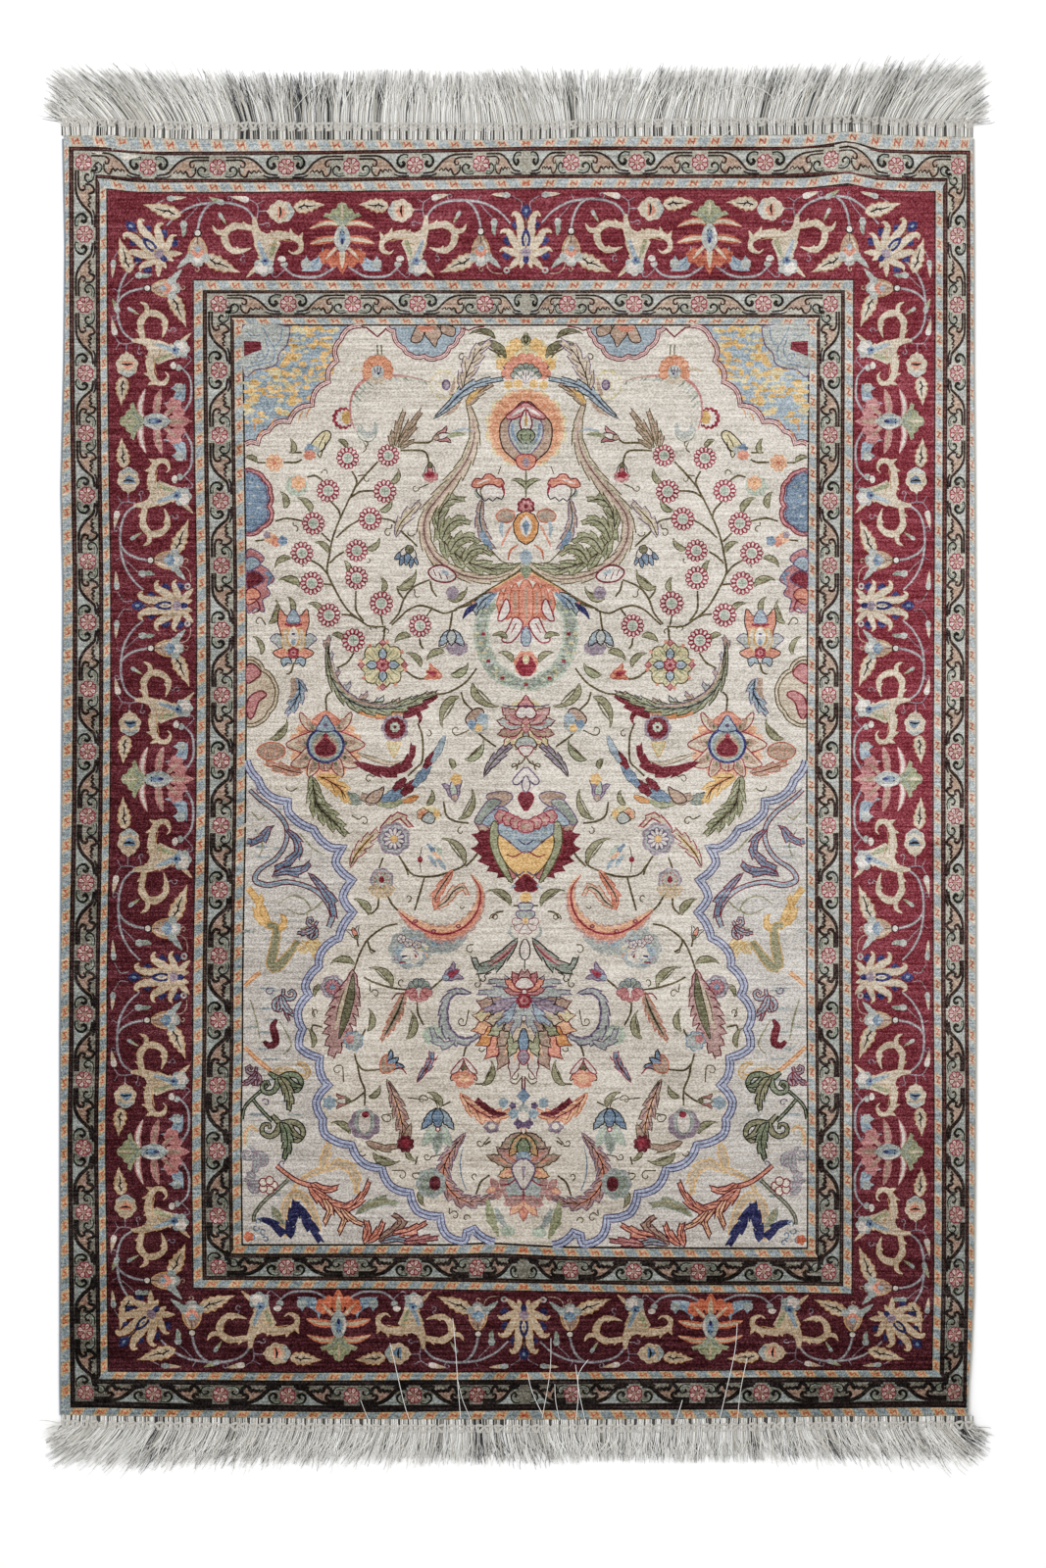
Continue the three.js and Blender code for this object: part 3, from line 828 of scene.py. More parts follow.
def ghost(x, y, radius, yarn="mist", high=1.0, lobes=7):
    # a faded halo round a flower
    paint(yarn, lobed(x, y, radius, lobes, 0.12, high=high))


def fan(put, radius, petals, spread, rim, fill):
    # petals side by side over an arc, centred on up
    for k in range(petals):
        angle = math.radians(-90 - spread / 2 + spread * (k + 0.5) / petals)
        wide = math.radians(spread) / petals * radius * 0.5
        c, s = math.cos(angle), math.sin(angle)
        shape = [(radius * 0.3, -wide * 0.4), (radius * 0.8, -wide * 0.95), (radius * 0.97, -wide * 0.6),
                 (radius * 1.02, 0), (radius * 0.97, wide * 0.6), (radius * 0.8, wide * 0.95),
                 (radius * 0.3, wide * 0.4)]
        turned = [(a * c - b * s, a * s + b * c) for a, b in shape]
        put(rim, widened(turned, 0.7))
        put(fill, turned)


def scallops(cusps, bulge, step=2.7):
    # the points of a line of arcs between cusps
    line = []
    for (ax, ay), (bx, by) in zip(cusps, cusps[1:]):
        run = math.dist((ax, ay), (bx, by))
        parts = max(3, round(run / step))
        for j in range(parts):
            t = j / parts
            lift = math.sin(math.pi * t) ** 0.8 * run * bulge
            line.append((ax + (bx - ax) * t - (by - ay) / run * lift,
                         ay + (by - ay) * t + (bx - ax) / run * lift))
    line.append(cusps[-1])
    return line


def plainRibbon(line, width):
    left, right = [], []
    for (x, y), (nx, ny) in zip(line, sides(line)):
        left.append((x + nx * width / 2, y + ny * width / 2))
        right.append((x - nx * width / 2, y - ny * width / 2))
    return left + right[::-1]


def doubleLine(line, outer, inner, wide, fill, middle=None):
    # a pale line in a dark one, and often a fine one in its middle
    paint(outer, plainRibbon(line, wide))
    paint(inner, plainRibbon(line, fill))
    if middle:
        paint(middle, plainRibbon(line, 1.3))


# Where the field's repeated flowers, leaves, twigs and curls stand, for the left half of the chart

ringFlowers = [  # column, row, size
    (353.8, 467.6, 0.98), (395.6, 465.0, 0.96), (333.4, 501.0, 1.0), (391.8, 501.6, 1.02),
    (317.8, 534.3, 1.0), (376.2, 529.6, 1.02), (305.6, 564.5, 1.0), (362.2, 562.0, 0.98),
    (315.3, 595.2, 1.02), (361.6, 589.8, 1.02), (387.3, 615.8, 1.05), (333.0, 627.8, 1.04),
    (427.4, 638.6, 1.0), (358.3, 653.6, 1.04)]

fieldLeaves = [  # base, tip, width, yarn
    ((296, 463), (297, 449), 6, "sage"), ((261, 472), (251, 466), 5, "sage"),
    ((353, 458), (346, 449), 5, "sage"), ((288, 519), (287, 503), 7, "sage"),
    ((315, 524), (305, 508), 7, "sage"), ((386, 521), (399, 512), 6, "leafGreen"),
    ((397, 493), (407, 481), 6, "sage"), ((294, 570), (278, 576), 6, "sage"),
    ((303, 599), (284, 590), 7, "sage"), ((332, 564), (322, 553), 6, "sage"),
    ((372, 560), (386, 552), 6, "sage"), ((352, 586), (351, 573), 6, "sage"),
    ((388, 604), (389, 590), 6, "sage"), ((325, 625), (314, 615), 6, "sage"),
    ((403, 600), (424, 586), 7.6, "sage"), ((456, 611), (476, 603), 6.6, "sage"),
    ((294, 626), (293, 610), 5.4, "sage"), ((271, 636), (281, 615), 6.6, "sage"),
    ((348, 653), (338, 647), 5.6, "sage"), ((418, 650), (402, 653), 7, "sage"),
    ((453, 666), (435, 671), 7, "sage"), ((428, 681), (416, 666), 6, "sage"),
    ((517, 652), (504, 647), 6, "sage"), ((523, 676), (511, 665), 6, "sage"),
    ((263, 668), (258, 650), 5, "sage"), ((459, 688), (477, 680), 8, "leafGreen"),
    ((468, 711), (448, 737), 8, "sage"), ((482, 697), (503, 722), 8, "sage"),
    ((272, 754), (291, 738), 6.4, "sage"), ((474, 775), (494, 759), 7, "leafGreen"),
    ((461, 785), (459, 775), 6, "sage"), ((434, 821), (441, 808), 6, "sage"),
    ((467, 836), (484, 810), 6, "sage"), ((473, 882), (456, 855), 7, "sage"),
    ((376, 934), (364, 917), 7.6, "sage"), ((362, 984), (340, 980), 6.4, "sage"),
    ((401, 1007), (382, 986), 7.6, "sage"), ((521, 924), (501, 907), 6.4, "sage"),
    ((330, 1005), (321, 1015), 5.4, "sage"), ((376, 1052), (380, 1031), 6, "sage"),
    ((416, 1060), (424, 1034), 7, "sage"), ((319, 1069), (317, 1050), 5, "sage"),
    ((494, 1107), (506, 1085), 6.6, "sage"), ((378, 1119), (390, 1110), 6, "sage"),
    ((359, 1157), (343, 1144), 6.4, "sage"), ((452, 1130), (441, 1114), 6, "sage"),
    ((383, 1176), (407, 1187), 7, "sage"), ((418, 1172), (424, 1184), 5.4, "sage"),
    ((434, 1213), (433, 1229), 6, "sage")]

fieldTwigs = [  # the points of a twig
    [(353.8, 512), (345, 530), (337.5, 549), (333.6, 568), (331.4, 584), (339, 601), (351, 621),
     (364.6, 632.6), (376, 639.4), (392, 639.4)], [(358, 481), (363, 492), (357, 506), (352, 515)],
    [(385, 471), (371, 486), (362, 497)], [(356, 508), (366, 502), (380, 501)],
    [(336, 512), (344, 521), (346, 530)], [(365, 531), (353, 538), (341, 549)], [(326, 544), (335, 553)],
    [(349, 563), (341, 568), (334, 575)], [(315, 572), (325, 578), (333, 588)], [(327, 596), (338, 597)],
    [(361, 603), (361, 622), (369, 634)], [(346, 627), (356, 628), (366, 633)], [(387, 628), (389, 638)],
    [(396, 637), (405.4, 626), (411, 611), (421, 599), (438, 591.6)],
    [(398, 638), (408, 629), (415, 622.6), (427, 618), (440, 621), (452, 626), (466, 622)],
    [(388, 660), (390, 650), (391, 640)], [(440, 621), (434, 629)], [(411, 612), (405, 604), (404, 598)],
    [(438, 593), (440, 602), (445, 609)], [(427, 651), (428, 658), (431, 662)],
    [(359, 666), (352, 676), (341, 682)], [(412, 684), (424, 692), (436, 693)],
    [(297, 676), (294, 686), (289, 688)], [(461, 623), (459, 638), (457, 646)], [(294, 462), (307, 462)],
    [(261, 472.4), (270, 472.4)], [(288, 472), (301, 472), (307, 469)],
    [(312, 487), (320, 485.6), (326, 489), (329, 492)], [(405, 456), (420, 452), (437, 452), (442, 447)],
    [(408, 460), (430, 460), (436, 466), (437, 474)],
    [(387, 529), (400, 532), (409, 543), (418, 551), (425, 558)], [(279, 532), (291, 529), (307, 532)],
    [(258, 552), (268, 551)], [(331, 727), (330, 712), (335, 706)],
    [(443, 708.6), (456, 707), (474, 697), (486, 682)], [(470, 706), (473, 716), (480, 723), (484, 728)],
    [(425, 738), (430, 752), (430, 776), (423, 784), (415, 792)], [(482, 742), (492, 752), (506, 762)],
    [(452, 818), (455, 832), (464, 838), (478, 840)], [(440, 829), (450, 832)], [(390, 875), (386, 886)],
    [(406, 873), (413, 884), (416, 893)], [(475, 884), (483, 876), (489, 868)],
    [(413, 883), (422, 893), (444, 894), (470, 885), (476, 878)], [(433, 894), (428, 912), (423, 929)],
    [(386, 915), (385, 926), (378, 933)], [(395, 914), (400, 923), (407, 930)],
    [(406, 942.6), (392, 946), (376, 958), (368, 972), (363.6, 984), (361, 992)], [(366, 966), (364, 956)],
    [(375, 959), (378, 968), (384, 971)], [(372, 997), (384, 1003), (402, 1008), (416, 1010)],
    [(440, 1010), (448, 1003), (454, 998)], [(427, 1023), (428, 1034), (434, 1046)],
    [(363, 1075), (366, 1085), (374, 1092), (390, 1091)],
    [(366, 1085), (369, 1100), (374, 1112), (374, 1128)], [(374, 1114), (364, 1122), (356, 1125)],
    [(374, 1050), (370, 1058), (366, 1061)], [(319, 1052), (320, 1046), (330, 1048)],
    [(454, 1128), (462, 1124)], [(447, 1136), (450, 1132)], [(475, 1078), (477, 1070), (480, 1064)],
    [(487, 1106), (496, 1106)], [(488, 1219), (493, 1206), (502, 1199)], [(502, 937), (507, 931), (514, 930)],
    [(503, 1164), (497, 1168)], [(524, 924), (532, 924)], [(428, 1180), (426, 1188)]]

fieldCurls = [  # middle, radius, first angle, turns, tail
    (374, 489, 4.4, 260, -0.8, ((364, 486),)), (331, 483, 4.6, 180, 0.6, ()), (372, 454, 4, 270, 0.6, ()),
    (423, 498, 4.6, 0, 0.8, ((437, 494),)), (395, 544, 5, 300, -0.9, ((399, 535),)),
    (417, 543, 6, 20, 0.45, ()), (299, 541, 5, 250, 0.5, ((297, 533),)), (305, 578, 3, 240, 0.5, ()),
    (373, 573, 3.4, 300, 0.5, ()), (426, 607, 5, 220, -0.5, ((421, 601),)), (378, 642, 4.4, 0, -0.7, ()),
    (393, 645, 4.4, 180, 0.7, ()), (449, 657, 7, 320, 0.6, ()), (261, 635, 5, 300, -0.6, ((268, 638),)),
    (465, 745, 5.6, 60, 0.9, ((478, 745),)), (436, 749, 4.4, 270, 0.7, ()),
    (375, 795, 5, 330, -0.9, ((385, 790),)), (370, 838, 5.6, 200, 0.9, ((357, 832),)),
    (292, 801, 9, 20, 0.4, ()), (470, 848, 4.6, 270, -0.8, ()), (524, 782, 4.6, 60, -0.9, ((530, 776),)),
    (416, 916, 4.6, 90, -0.7, ()), (471, 925, 3, 0, 0.6, ()), (505, 936, 4.4, 200, 1.0, ((500, 938),)),
    (381, 970, 3.6, 200, -0.6, ()), (411, 1002, 4.6, 100, 0.7, ()), (384, 1014, 5, 200, 0.9, ((378, 1004),)),
    (481, 969, 6, 300, -0.8, ()), (488, 1004, 4, 0, 0.8, ((488, 990),)),
    (473, 1042, 5, 30, 1.0, ((480, 1030),)), (323, 1033, 4.6, 100, 0.9, ((319, 1028),)),
    (346, 1092, 6, 330, -0.9, ((352, 1104),)), (433, 1122, 5.6, 0, -0.9, ((418, 1120),)),
    (526, 1098, 6, 330, 0.5, ()), (493, 1070, 4, 0, 0.7, ()), (371, 1176, 4.6, 20, 0.7, ()),
    (412, 1199, 5.4, 250, 0.9, ((402, 1194),)), (428, 1199, 5, 200, -0.8, ((434, 1196),)),
    (438, 1180, 4.4, 0, 1.0, ((452, 1178),)), (492, 1166, 4.6, 0, 1.0, ((502, 1160),)),
    (466, 1240, 5.6, 200, 0.9, ((461, 1232),)), (478, 1243, 4.4, 0, -0.8, ()),
    (398, 1140, 6, 200, -0.9, ((404, 1136),)), (487, 1200, 4, 100, 0.8, ()),
    (512, 360, 5.4, 100, 0.8, ((500, 352),)), (471, 365, 4.6, 300, -0.7, ()), (419, 1160, 5, 160, 0.8, ())]


def spandrels():
    # the corners above the niche: pale blue with brocaded gold, held by a scalloped line
    line = scallops([(249, 453.6), (262, 453.6), (273, 440), (294.4, 431), (318.2, 414), (335.2, 390.2),
                     (344, 368.6), (348, 346.6), (368.6, 333)], -0.2)
    paint("paleBlue", line + [(249, 333)])
    draw = random.Random(7)
    left, top = corners("field")[:2]
    for _ in range(560):
        x, y = draw.uniform(250, 356), draw.uniform(334, 450)
        beyondLine = ((x - left) / 112) ** 2.2 + ((y - top) / 114) ** 2.2 > 0.74
        inCloud = x < 292 and y < 378 and (x - left) ** 2 + (y - top) ** 2 < 2000
        if beyondLine or inCloud:
            continue
        clump = math.sin(x * 0.13 + 1.2) + math.sin(y * 0.16 + x * 0.05) + draw.uniform(-1.1, 1.1)
        if clump < -1.3:
            continue
        wide, high = draw.uniform(2.4, 5.4), draw.uniform(1.6, 3.2)
        yarn = draw.choice(("gold", "honey", "honey", "sand", "honey", "sand", "mist"))
        paint(yarn, oval(x, y, wide, high, count=5))
    # the little cloud in the corner
    outlined(paint, "mist", [(249, 333), (290, 333), (295, 338), (292, 352), (284, 361), (282, 370),
                             (274, 375), (260, 377), (249, 382)], "purple", 1.0)
    for points in (((288, 334), (286, 348), (278, 354)),
                   ((268, 334), (275, 348), (280, 356), (278, 368), (262, 373), (250, 376)),
                   ((270, 346), (274, 358), (268, 368), (256, 370))):
        stroke("blue", points, (1.1, 1.4, 1.1))
    paint("crimson", [(249, 348), (266, 349), (267, 357), (258, 360), (249, 364)])
    stroke("blue", [(252, 338), (256, 343), (266, 342)], (1.0, 1.2, 1.0))
    curl(265, 364, 4.6, 0, -0.9, yarn="blue")
    doubleLine(line, "crimson", "white", 5.6, 3.0, "rose")
    tip = [(368.6, 334), (374, 334.6), (380, 339.6), (385, 344), (390, 339.6), (395, 334.6)]
    paint("crimson", plainRibbon(tip, 1.8))
    # a few coral tufts near the edge
    for x, y in ((258, 434), (276, 431), (304, 425), (312, 421), (263, 443)):
        stroke("orange", [(x, y + 6), (x + 1, y), (x + 5, y - 5)], (0.8, 1.6, 0.6))


def pendant():
    # the blue lobed drop hanging from the upper edge, with half a lotus in it
    line = scallops([(395, 333.6), (402, 338), (412, 355.4), (419, 362), (432.6, 363.4), (446, 365.6),
                     (458.6, 354.6), (467, 345), (472, 333.6)], 0.17)
    paint("paleBlue", line)
    for points in ([(426, 333), (422, 341), (419.6, 348), (426, 349.6), (431, 345), (433, 333)],
                   [(438, 333), (434, 341), (440, 349), (444, 354), (446, 347), (450, 341), (446, 333)],
                   [(450, 333), (452, 340), (462, 343), (464, 336), (458, 333)]):
        outlined(paint, "tan", points, "darkLine")
    paint("coral", [(425, 333), (444, 333), (441, 337.6), (434, 339.4), (428, 337.6)])
    doubleLine(line, "crimson", "white", 5.2, 2.8, "rose")
    paint("crimson", plainRibbon([(471, 335), (478, 337.6), (484, 334.6), (494, 333.4)], 1.5))


def orangeFan():
    ghost(385, 377, 16, "cream")
    fan(penAt(385, 378.6), 15.6, 9, 252, "rust", "softCoral")
    paint("mist", oval(385, 379.6, 6.6, 6.8))
    for x in (-3.6, 0, 3.6):
        stroke("purple", [(385 + x, 375.4), (385 + x * 0.6, 381)], (1.3, 0.9))
    paint("navy", oval(386, 381.6, 1.4, 1.4, count=6))
    for x in (385.4, 389.6):
        stroke("olive", [(x, 362), (x - 0.6, 352)], (1.6, 1.4))
    stroke("cream", [(371, 377), (362, 377), (357, 380)], (2, 4.4, 1))


def featherCrescent():
    spine = [(363.6, 441), (357, 424), (357.6, 408), (364.6, 394), (377, 385.4), (393, 383.8), (412, 384),
             (428, 387), (440, 391)]
    line = smoothLine(spine)
    for k in range(24):
        x, y = line[2 + k * (len(line) - 4) // 24]
        reach = 11 - k * 0.3
        stroke(("mint", "mist", "mint", "greyGreen")[k % 4],
               [(x, y), (x + reach * 0.5, y + reach * 0.4 + k % 3), (x + reach, y + reach)], (1.6, 2.4, 0.5))
    ghost(376, 438, 9.6, "mist", 1.0, 6)
    paint("ivory", oval(375, 434, 6.0, 6.6))
    stroke("rose", spine, (0.6, 1.4, 2.0, 3.0, 3.8, 3.2, 2.4, 1.6, 0.6))
    stroke("coral", spine[3:7], (0.6, 1.6, 1.8, 0.6))
    stroke("tan", spine[4:], (0.6, 1.4, 1.2, 0.5))
    stroke("greyGreen", [(363, 440), (367, 448), (376, 451), (383, 445), (383, 437)], (0.8, 1.4, 1.2, 0.8))
    stroke("stalk", [(370, 451), (373, 458), (369, 462)], (0.8, 1.4, 1.2))
    paint("red", lobed(349.6, 427, 11.8, 12, 0.14, perLobe=3))
    paint("white", lobed(350.6, 427, 9.2, 12, 0.24, perLobe=3))
    paint("gold", oval(353, 426, 5, 7))
    stroke("ivory", [(356.4, 414), (361.6, 422), (362, 432), (359, 441)], (1, 8, 9, 2))
    stroke("rose", [(357.6, 411), (356.8, 424), (361, 438)], (1.2, 1.8, 1.2))


def lyre():
    # the toothed band round the upper palmette, with acanthus inside its foot
    arm = [(476, 408), (481.6, 426), (484, 442), (481, 458), (473.6, 474), (461, 491), (446, 509), (435, 524),
           (431.8, 540), (434.8, 555), (444, 570), (459.6, 581.6), (479, 589), (502, 591), (521, 585),
           (533.6, 575)]
    for points, width in (
            (((450, 534), (452, 551), (466, 567), (486, 577), (508, 581), (530, 577)),
             (12, 18, 18, 15, 10, 2)),
            (((446, 542), (448, 524), (457, 511), (473, 509)), (9, 13, 11, 1)),
            (((450, 552), (456, 538), (466, 531), (479, 533)), (9, 12, 10, 1)),
            (((458, 564), (466, 552), (477, 548), (489, 553)), (9, 12, 10, 1)),
            (((472, 575), (480, 563), (491, 560), (502, 566)), (9, 11, 9, 1))):
        plume(points, width, "leafGreen", "stalk", len(points) + 1, 0.34, shade="sage")
    plume(arm, (2, 8, 11, 12, 13, 13, 13, 12, 12, 11, 11, 10, 9, 7, 5, 1.2), "wheat", "stalk", 19, 0.16, None,
          0.8)
    stroke("blush", arm[1:-2], (1.2, 3.6, 4.4, 4.4, 3.4, 2.0), step=3)
    stroke("stalk", arm[2:-1], (0.8, 1.3, 1.3, 1.3, 0.8), step=3)
    stroke("leafGreen", [(x - 3.0, y - 1.6) for x, y in arm[2:8]], (0.8, 1.2, 1.4, 0.8))
    # the two leaves and the flower on top of it
    plume([(471.6, 402), (474, 388), (480, 372), (489, 358), (499.6, 348.6)], (9, 15, 17, 12, 1), "wheat",
          "purple", 5, 0.42)
    plume([(476, 413), (484, 404), (493, 396.6), (502, 391.6)], (8, 9, 8, 1), "tan", "stalk", 4, 0.4,
          shade="gold")
    stroke("gold", [(476, 412), (482, 404), (488, 399)], (3, 5, 1.4))
    plume([(441.6, 427), (455, 417), (469.6, 402), (484, 393), (499, 389), (512.4, 386.6)],
          (1, 7, 10, 8.4, 6, 1), "paleBlue", "darkLine", 6, 0.34, shade="blue")
    stroke("tan", [(452, 425), (462, 419), (470, 410)], (1, 5, 2), 3, 0.3)
    ghost(452.6, 392.6, 14.4, "sand", 1.1, 8)
    fan(penAt(452.6, 393), 13, 9, 360, "sand", "ivory")
    paint("purple", oval(455, 393, 4.6, 5.6))
    paint("lilac", oval(455.4, 393, 2.8, 3.8))
    stroke("tan", [(459, 404), (462, 396), (463.6, 386)], (3.4, 4.4, 1.4))


def middleTop():
    # the flame and the fan over the orange palmette, all on the fold
    for x, y, r in ((-22, 362, 7), (-12, 353, 8), (0, 350, 7)):
        ghost(fold + x, y + 4, r + 3, "sand")
    for x, y in ((-24, 372), (-18, 360), (-10, 352)):
        daisy(fold + x, y, 6.4, 6, "honey", "gold", "gold")
    leaf((537, 353), (fold, 341), 9, "leafGreen", bend=0.0)
    leaf((516, 366), (491, 349), 8, "olive")
    leaf((505, 346), (482, 338), 5, "olive")
    paint("navy", [(512, 374), (520, 374), (518, 381.6)])
    fan(penAt(fold, 386), 25, 8, 178, "rust", "coral")
    fan(penAt(fold, 387), 16, 7, 170, "darkLine", "greyGreen")
    for k in range(5):
        angle = math.radians(-150 + 30 * k)
        stroke("white", [(fold, 391), (fold + 13 * math.cos(angle), 391 + 13 * math.sin(angle))], (1, 4.4))
        stroke("purple", [(fold, 392), (fold + 11 * math.cos(angle), 392 + 11 * math.sin(angle))], (0.6, 0.9))
    for x in (-18, -8):
        daisy(fold + x, 391 - x * 0.1, 5, 6, "honey", "gold", None)


def orangePalmette():
    x, y = fold, 437
    ghost(x, y, 43, "sand", 0.98, 14)
    paint("peach", lobed(x, y, 40, 13, 0.2, 14, high=1.02))
    paint("softCoral", lobed(x, y, 37, 13, 0.24, 14, high=1.02))
    for k in range(26):
        angle = math.radians(7) + math.tau * (k + 0.5) / 26
        c, t = math.cos(angle), math.sin(angle)
        if k % 2:
            paint("rust", oval(x + 31 * c, y + 31 * t, 1.0, 1.0, count=6))
        stroke("peach", [(x + 24 * c, y + 24 * t), (x + 36 * c, y + 36 * t)], (0.8, 1.6, 0.8))
    outlined(paint, "tan", [(x, y - 24), (x - 14, y - 16), (x - 25, y - 4), (x - 25, y + 14),
                            (x - 18, y + 26), (x, y + 33)], "darkLine", 1.0)
    outlined(paint, "mist",
             [(x, y - 14), (x - 12, y - 10), (x - 17, y), (x - 15, y + 12), (x - 8, y + 22), (x, y + 26)],
             "purple", 1.0)
    stroke("blue", [(x - 14, y - 5), (x - 13, y + 7), (x - 7, y + 18)], (2.4, 3.4, 1.4))
    outlined(paint, "rose", [(x, y - 25), (x - 7, y - 22), (x - 20, y - 11.4), (x - 14, y - 9.6),
                             (x - 7, y - 12), (x, y - 15)], "crimson", 1.1)
    stroke("white", [(x - 1, y - 19.6), (x - 8, y - 17), (x - 15, y - 12)], (3.4, 3.0, 1))
    outlined(paint, "white", [(x, y - 18), (x - 5, y - 8), (x - 4.6, y - 1), (x, y + 5)], "crimson", 1.2)
    stroke("gold", [(x, y - 12), (x, y - 2)], (3, 2))
    stroke("red", [(x, y - 18), (x, y - 12)], (2.4, 1))
    outlined(paint, "green", [(x, y + 2), (x - 7, y + 4), (x - 8.6, y + 9), (x - 5, y + 13.6), (x, y + 15)],
             "black", 0.9)
    stroke("black", [(x - 5, y + 6), (x - 4, y + 12)], (1.2, 1))
    for dx in (-7.6, -2.6):
        stroke("greyGreen", [(x + dx, y + 14), (x + dx * 0.4, y + 26)], (3.6, 1.2))
    outlined(paint, "coral", [(x, y + 28), (x - 9, y + 30), (x - 8, y + 38), (x, y + 42)], "red", 0.9)
    paint("lilac", oval(x, y + 35, 3.4, 5))
    stroke("olive", [(x, y + 43), (x, y + 71)], (1.6, 2.6, 1.6))
    leaf((536, 499), (524, 489), 5, "leafGreen")


def crownBud():
    # the white bell with a coral crown beside the stem
    pen = stamp(499.6, 494)
    pen("greyGreen", oval(-9, 9, 7, 6))
    outlined(pen, "white", [(-13, 7), (-9, -1), (0, -3), (9, -1), (14, 7), (12, 15), (7, 13), (3, 17),
                            (-1, 14), (-5, 17), (-8, 13)], "black", 0.9)
    outlined(pen, "coral", [(-18, 2), (-14, -5), (-8, -4), (-4, -9), (2, -9), (6, -5), (11, -5), (14, 0),
                            (10, 3), (4, 0), (-4, 0), (-10, 3)], "crimson", 1.0)
    pen("white", ribbon([(-13, 0), (-6, -3), (0, -5)], (1.4, 2.2, 1.2)))
    pen("red", ribbon([(12, 0), (14, 6), (15, 12)], (2, 3, 1)))
    twig([(508, 484), (511, 476)], 1.5)


def middleGold():
    # the gold drop and its side leaves, over the foot of the lyre
    x = fold
    paint("crimson", lobed(x, 517, 9.6, 8, 0.16))
    paint("rose", lobed(x, 517, 7.0, 8, 0.3))
    paint("crimson", oval(x, 517, 2.4))
    paint("darkLine", [(x, 521), (x - 9, 525), (x - 13.6, 534), (x - 12.6, 544), (x - 8, 552), (x, 557)])
    paint("orange", [(x, 522), (x - 8, 526), (x - 12.4, 534), (x - 11.6, 543), (x - 7.6, 550.6), (x, 555.6)])
    paint("white", [(x, 526), (x - 5, 531), (x - 6.6, 538), (x - 4, 545), (x, 548)])
    paint("blue", [(x, 530), (x - 4, 536), (x, 547)])
    outlined(paint, "tan", [(x - 12, 524), (x - 22, 520), (x - 30, 526), (x - 26, 532), (x - 16, 532)],
             "rust", 0.9)
    stroke("greyGreen", [(x - 15, 527), (x - 24, 526)], (2.6, 1))
    stroke("paleBlue", [(x - 24, 532), (x - 25.6, 540), (x - 24, 548)], (3.4, 4, 1.4))
    for k in range(4):
        stroke("coral", [(x - 14 - 3 * k, 536 + 5 * k), (x - 19 - 2 * k, 543 + 5 * k)], (1.2, 2.6, 0.8))
    stroke("rust", [(x - 8, 556), (x - 16, 562), (x - 18, 572)], (1.4, 2.4, 1))
    paint("white", [(x, 556), (x - 5.6, 560), (x - 6, 568), (x, 574)])
    paint("paleBlue", oval(x, 568.6, 6.2, 7.6))
    # the long leaf between the acanthus and the drop
    plume([(492, 510), (489, 528), (493, 545), (502, 560)], (4, 9, 10, 4), "tan", "purple", 5, 0.34,
          shade="paleBlue")
    stroke("blue", [(491, 543), (496, 553), (502, 561)], (6, 7, 2))
    twig([(492, 508), (490, 500), (496, 494)], 1.5)
    twig([(500, 560), (512, 573), (524, 575)], 1.2)


def coralWing():
    # the bracket of coral leaf that spreads from the fold, with the lotus under it
    x = fold
    stroke("stalk", [(x, 583), (x - 15, 592), (x - 36, 604), (x - 56, 615), (x - 74, 622)],
           (9, 8.4, 7.4, 5.4, 1))
    stroke("coral", [(x, 585), (x - 15, 593.4), (x - 36, 605.2), (x - 55, 616)], (8.4, 6.8, 5.4, 2))
    stroke("honey", [(x, 582), (x - 15, 590), (x - 36, 601.8)], (1.2, 1.2, 0.8))
    stroke("navy", [(x - 50, 616), (x - 60, 624), (x - 65, 632)], (2.6, 6.4, 0.8))
    plume([(x - 34, 606), (x - 44, 613), (x - 52, 625)], (5, 11, 2), "paleBlue", "darkLine", 4, 0.3,
          shade="blue")
    stroke("blue", [(x - 30, 605), (x - 37, 612), (x - 41, 621)], (3, 5, 1))
    for dx, top, foot, wide in ((-25, 604, 627, 9), (-18, 598, 632, 9), (-11, 596, 634, 9),
                                (0, 592, 642, 13)):
        outlined(paint, "coral", [(x + dx, top), (x + dx - wide / 2, top + 12),
                                  (x + dx - wide * 0.4, foot - 8), (x + dx - 1, foot),
                                  (x + dx + wide * 0.4, foot - 8), (x + dx + wide / 2, top + 12)], "rust",
                 0.9)
        stroke("tan", [(x + dx, top + 8), (x + dx, foot - 8)], (1.6, 3, 1))
    outlined(paint, "white", [(x - 20, 612), (x - 25, 622), (x - 28, 633), (x - 22, 631), (x - 17, 622)],
             "red", 1.1)
    outlined(paint, "white",
             [(x - 12, 631), (x - 18, 643), (x - 24, 653), (x - 16, 655), (x - 8, 647), (x - 4, 636)], "red",
             1.1)
    stroke("red", [(x - 10, 636), (x - 15, 646)], (1.4, 1))
    outlined(paint, "paleBlue", [(x, 640), (x - 4, 647), (x - 4, 655), (x, 659)], "purple", 0.9)
    stroke("green", [(x, 577), (x - 2, 583), (x, 590)], (5, 7, 3))


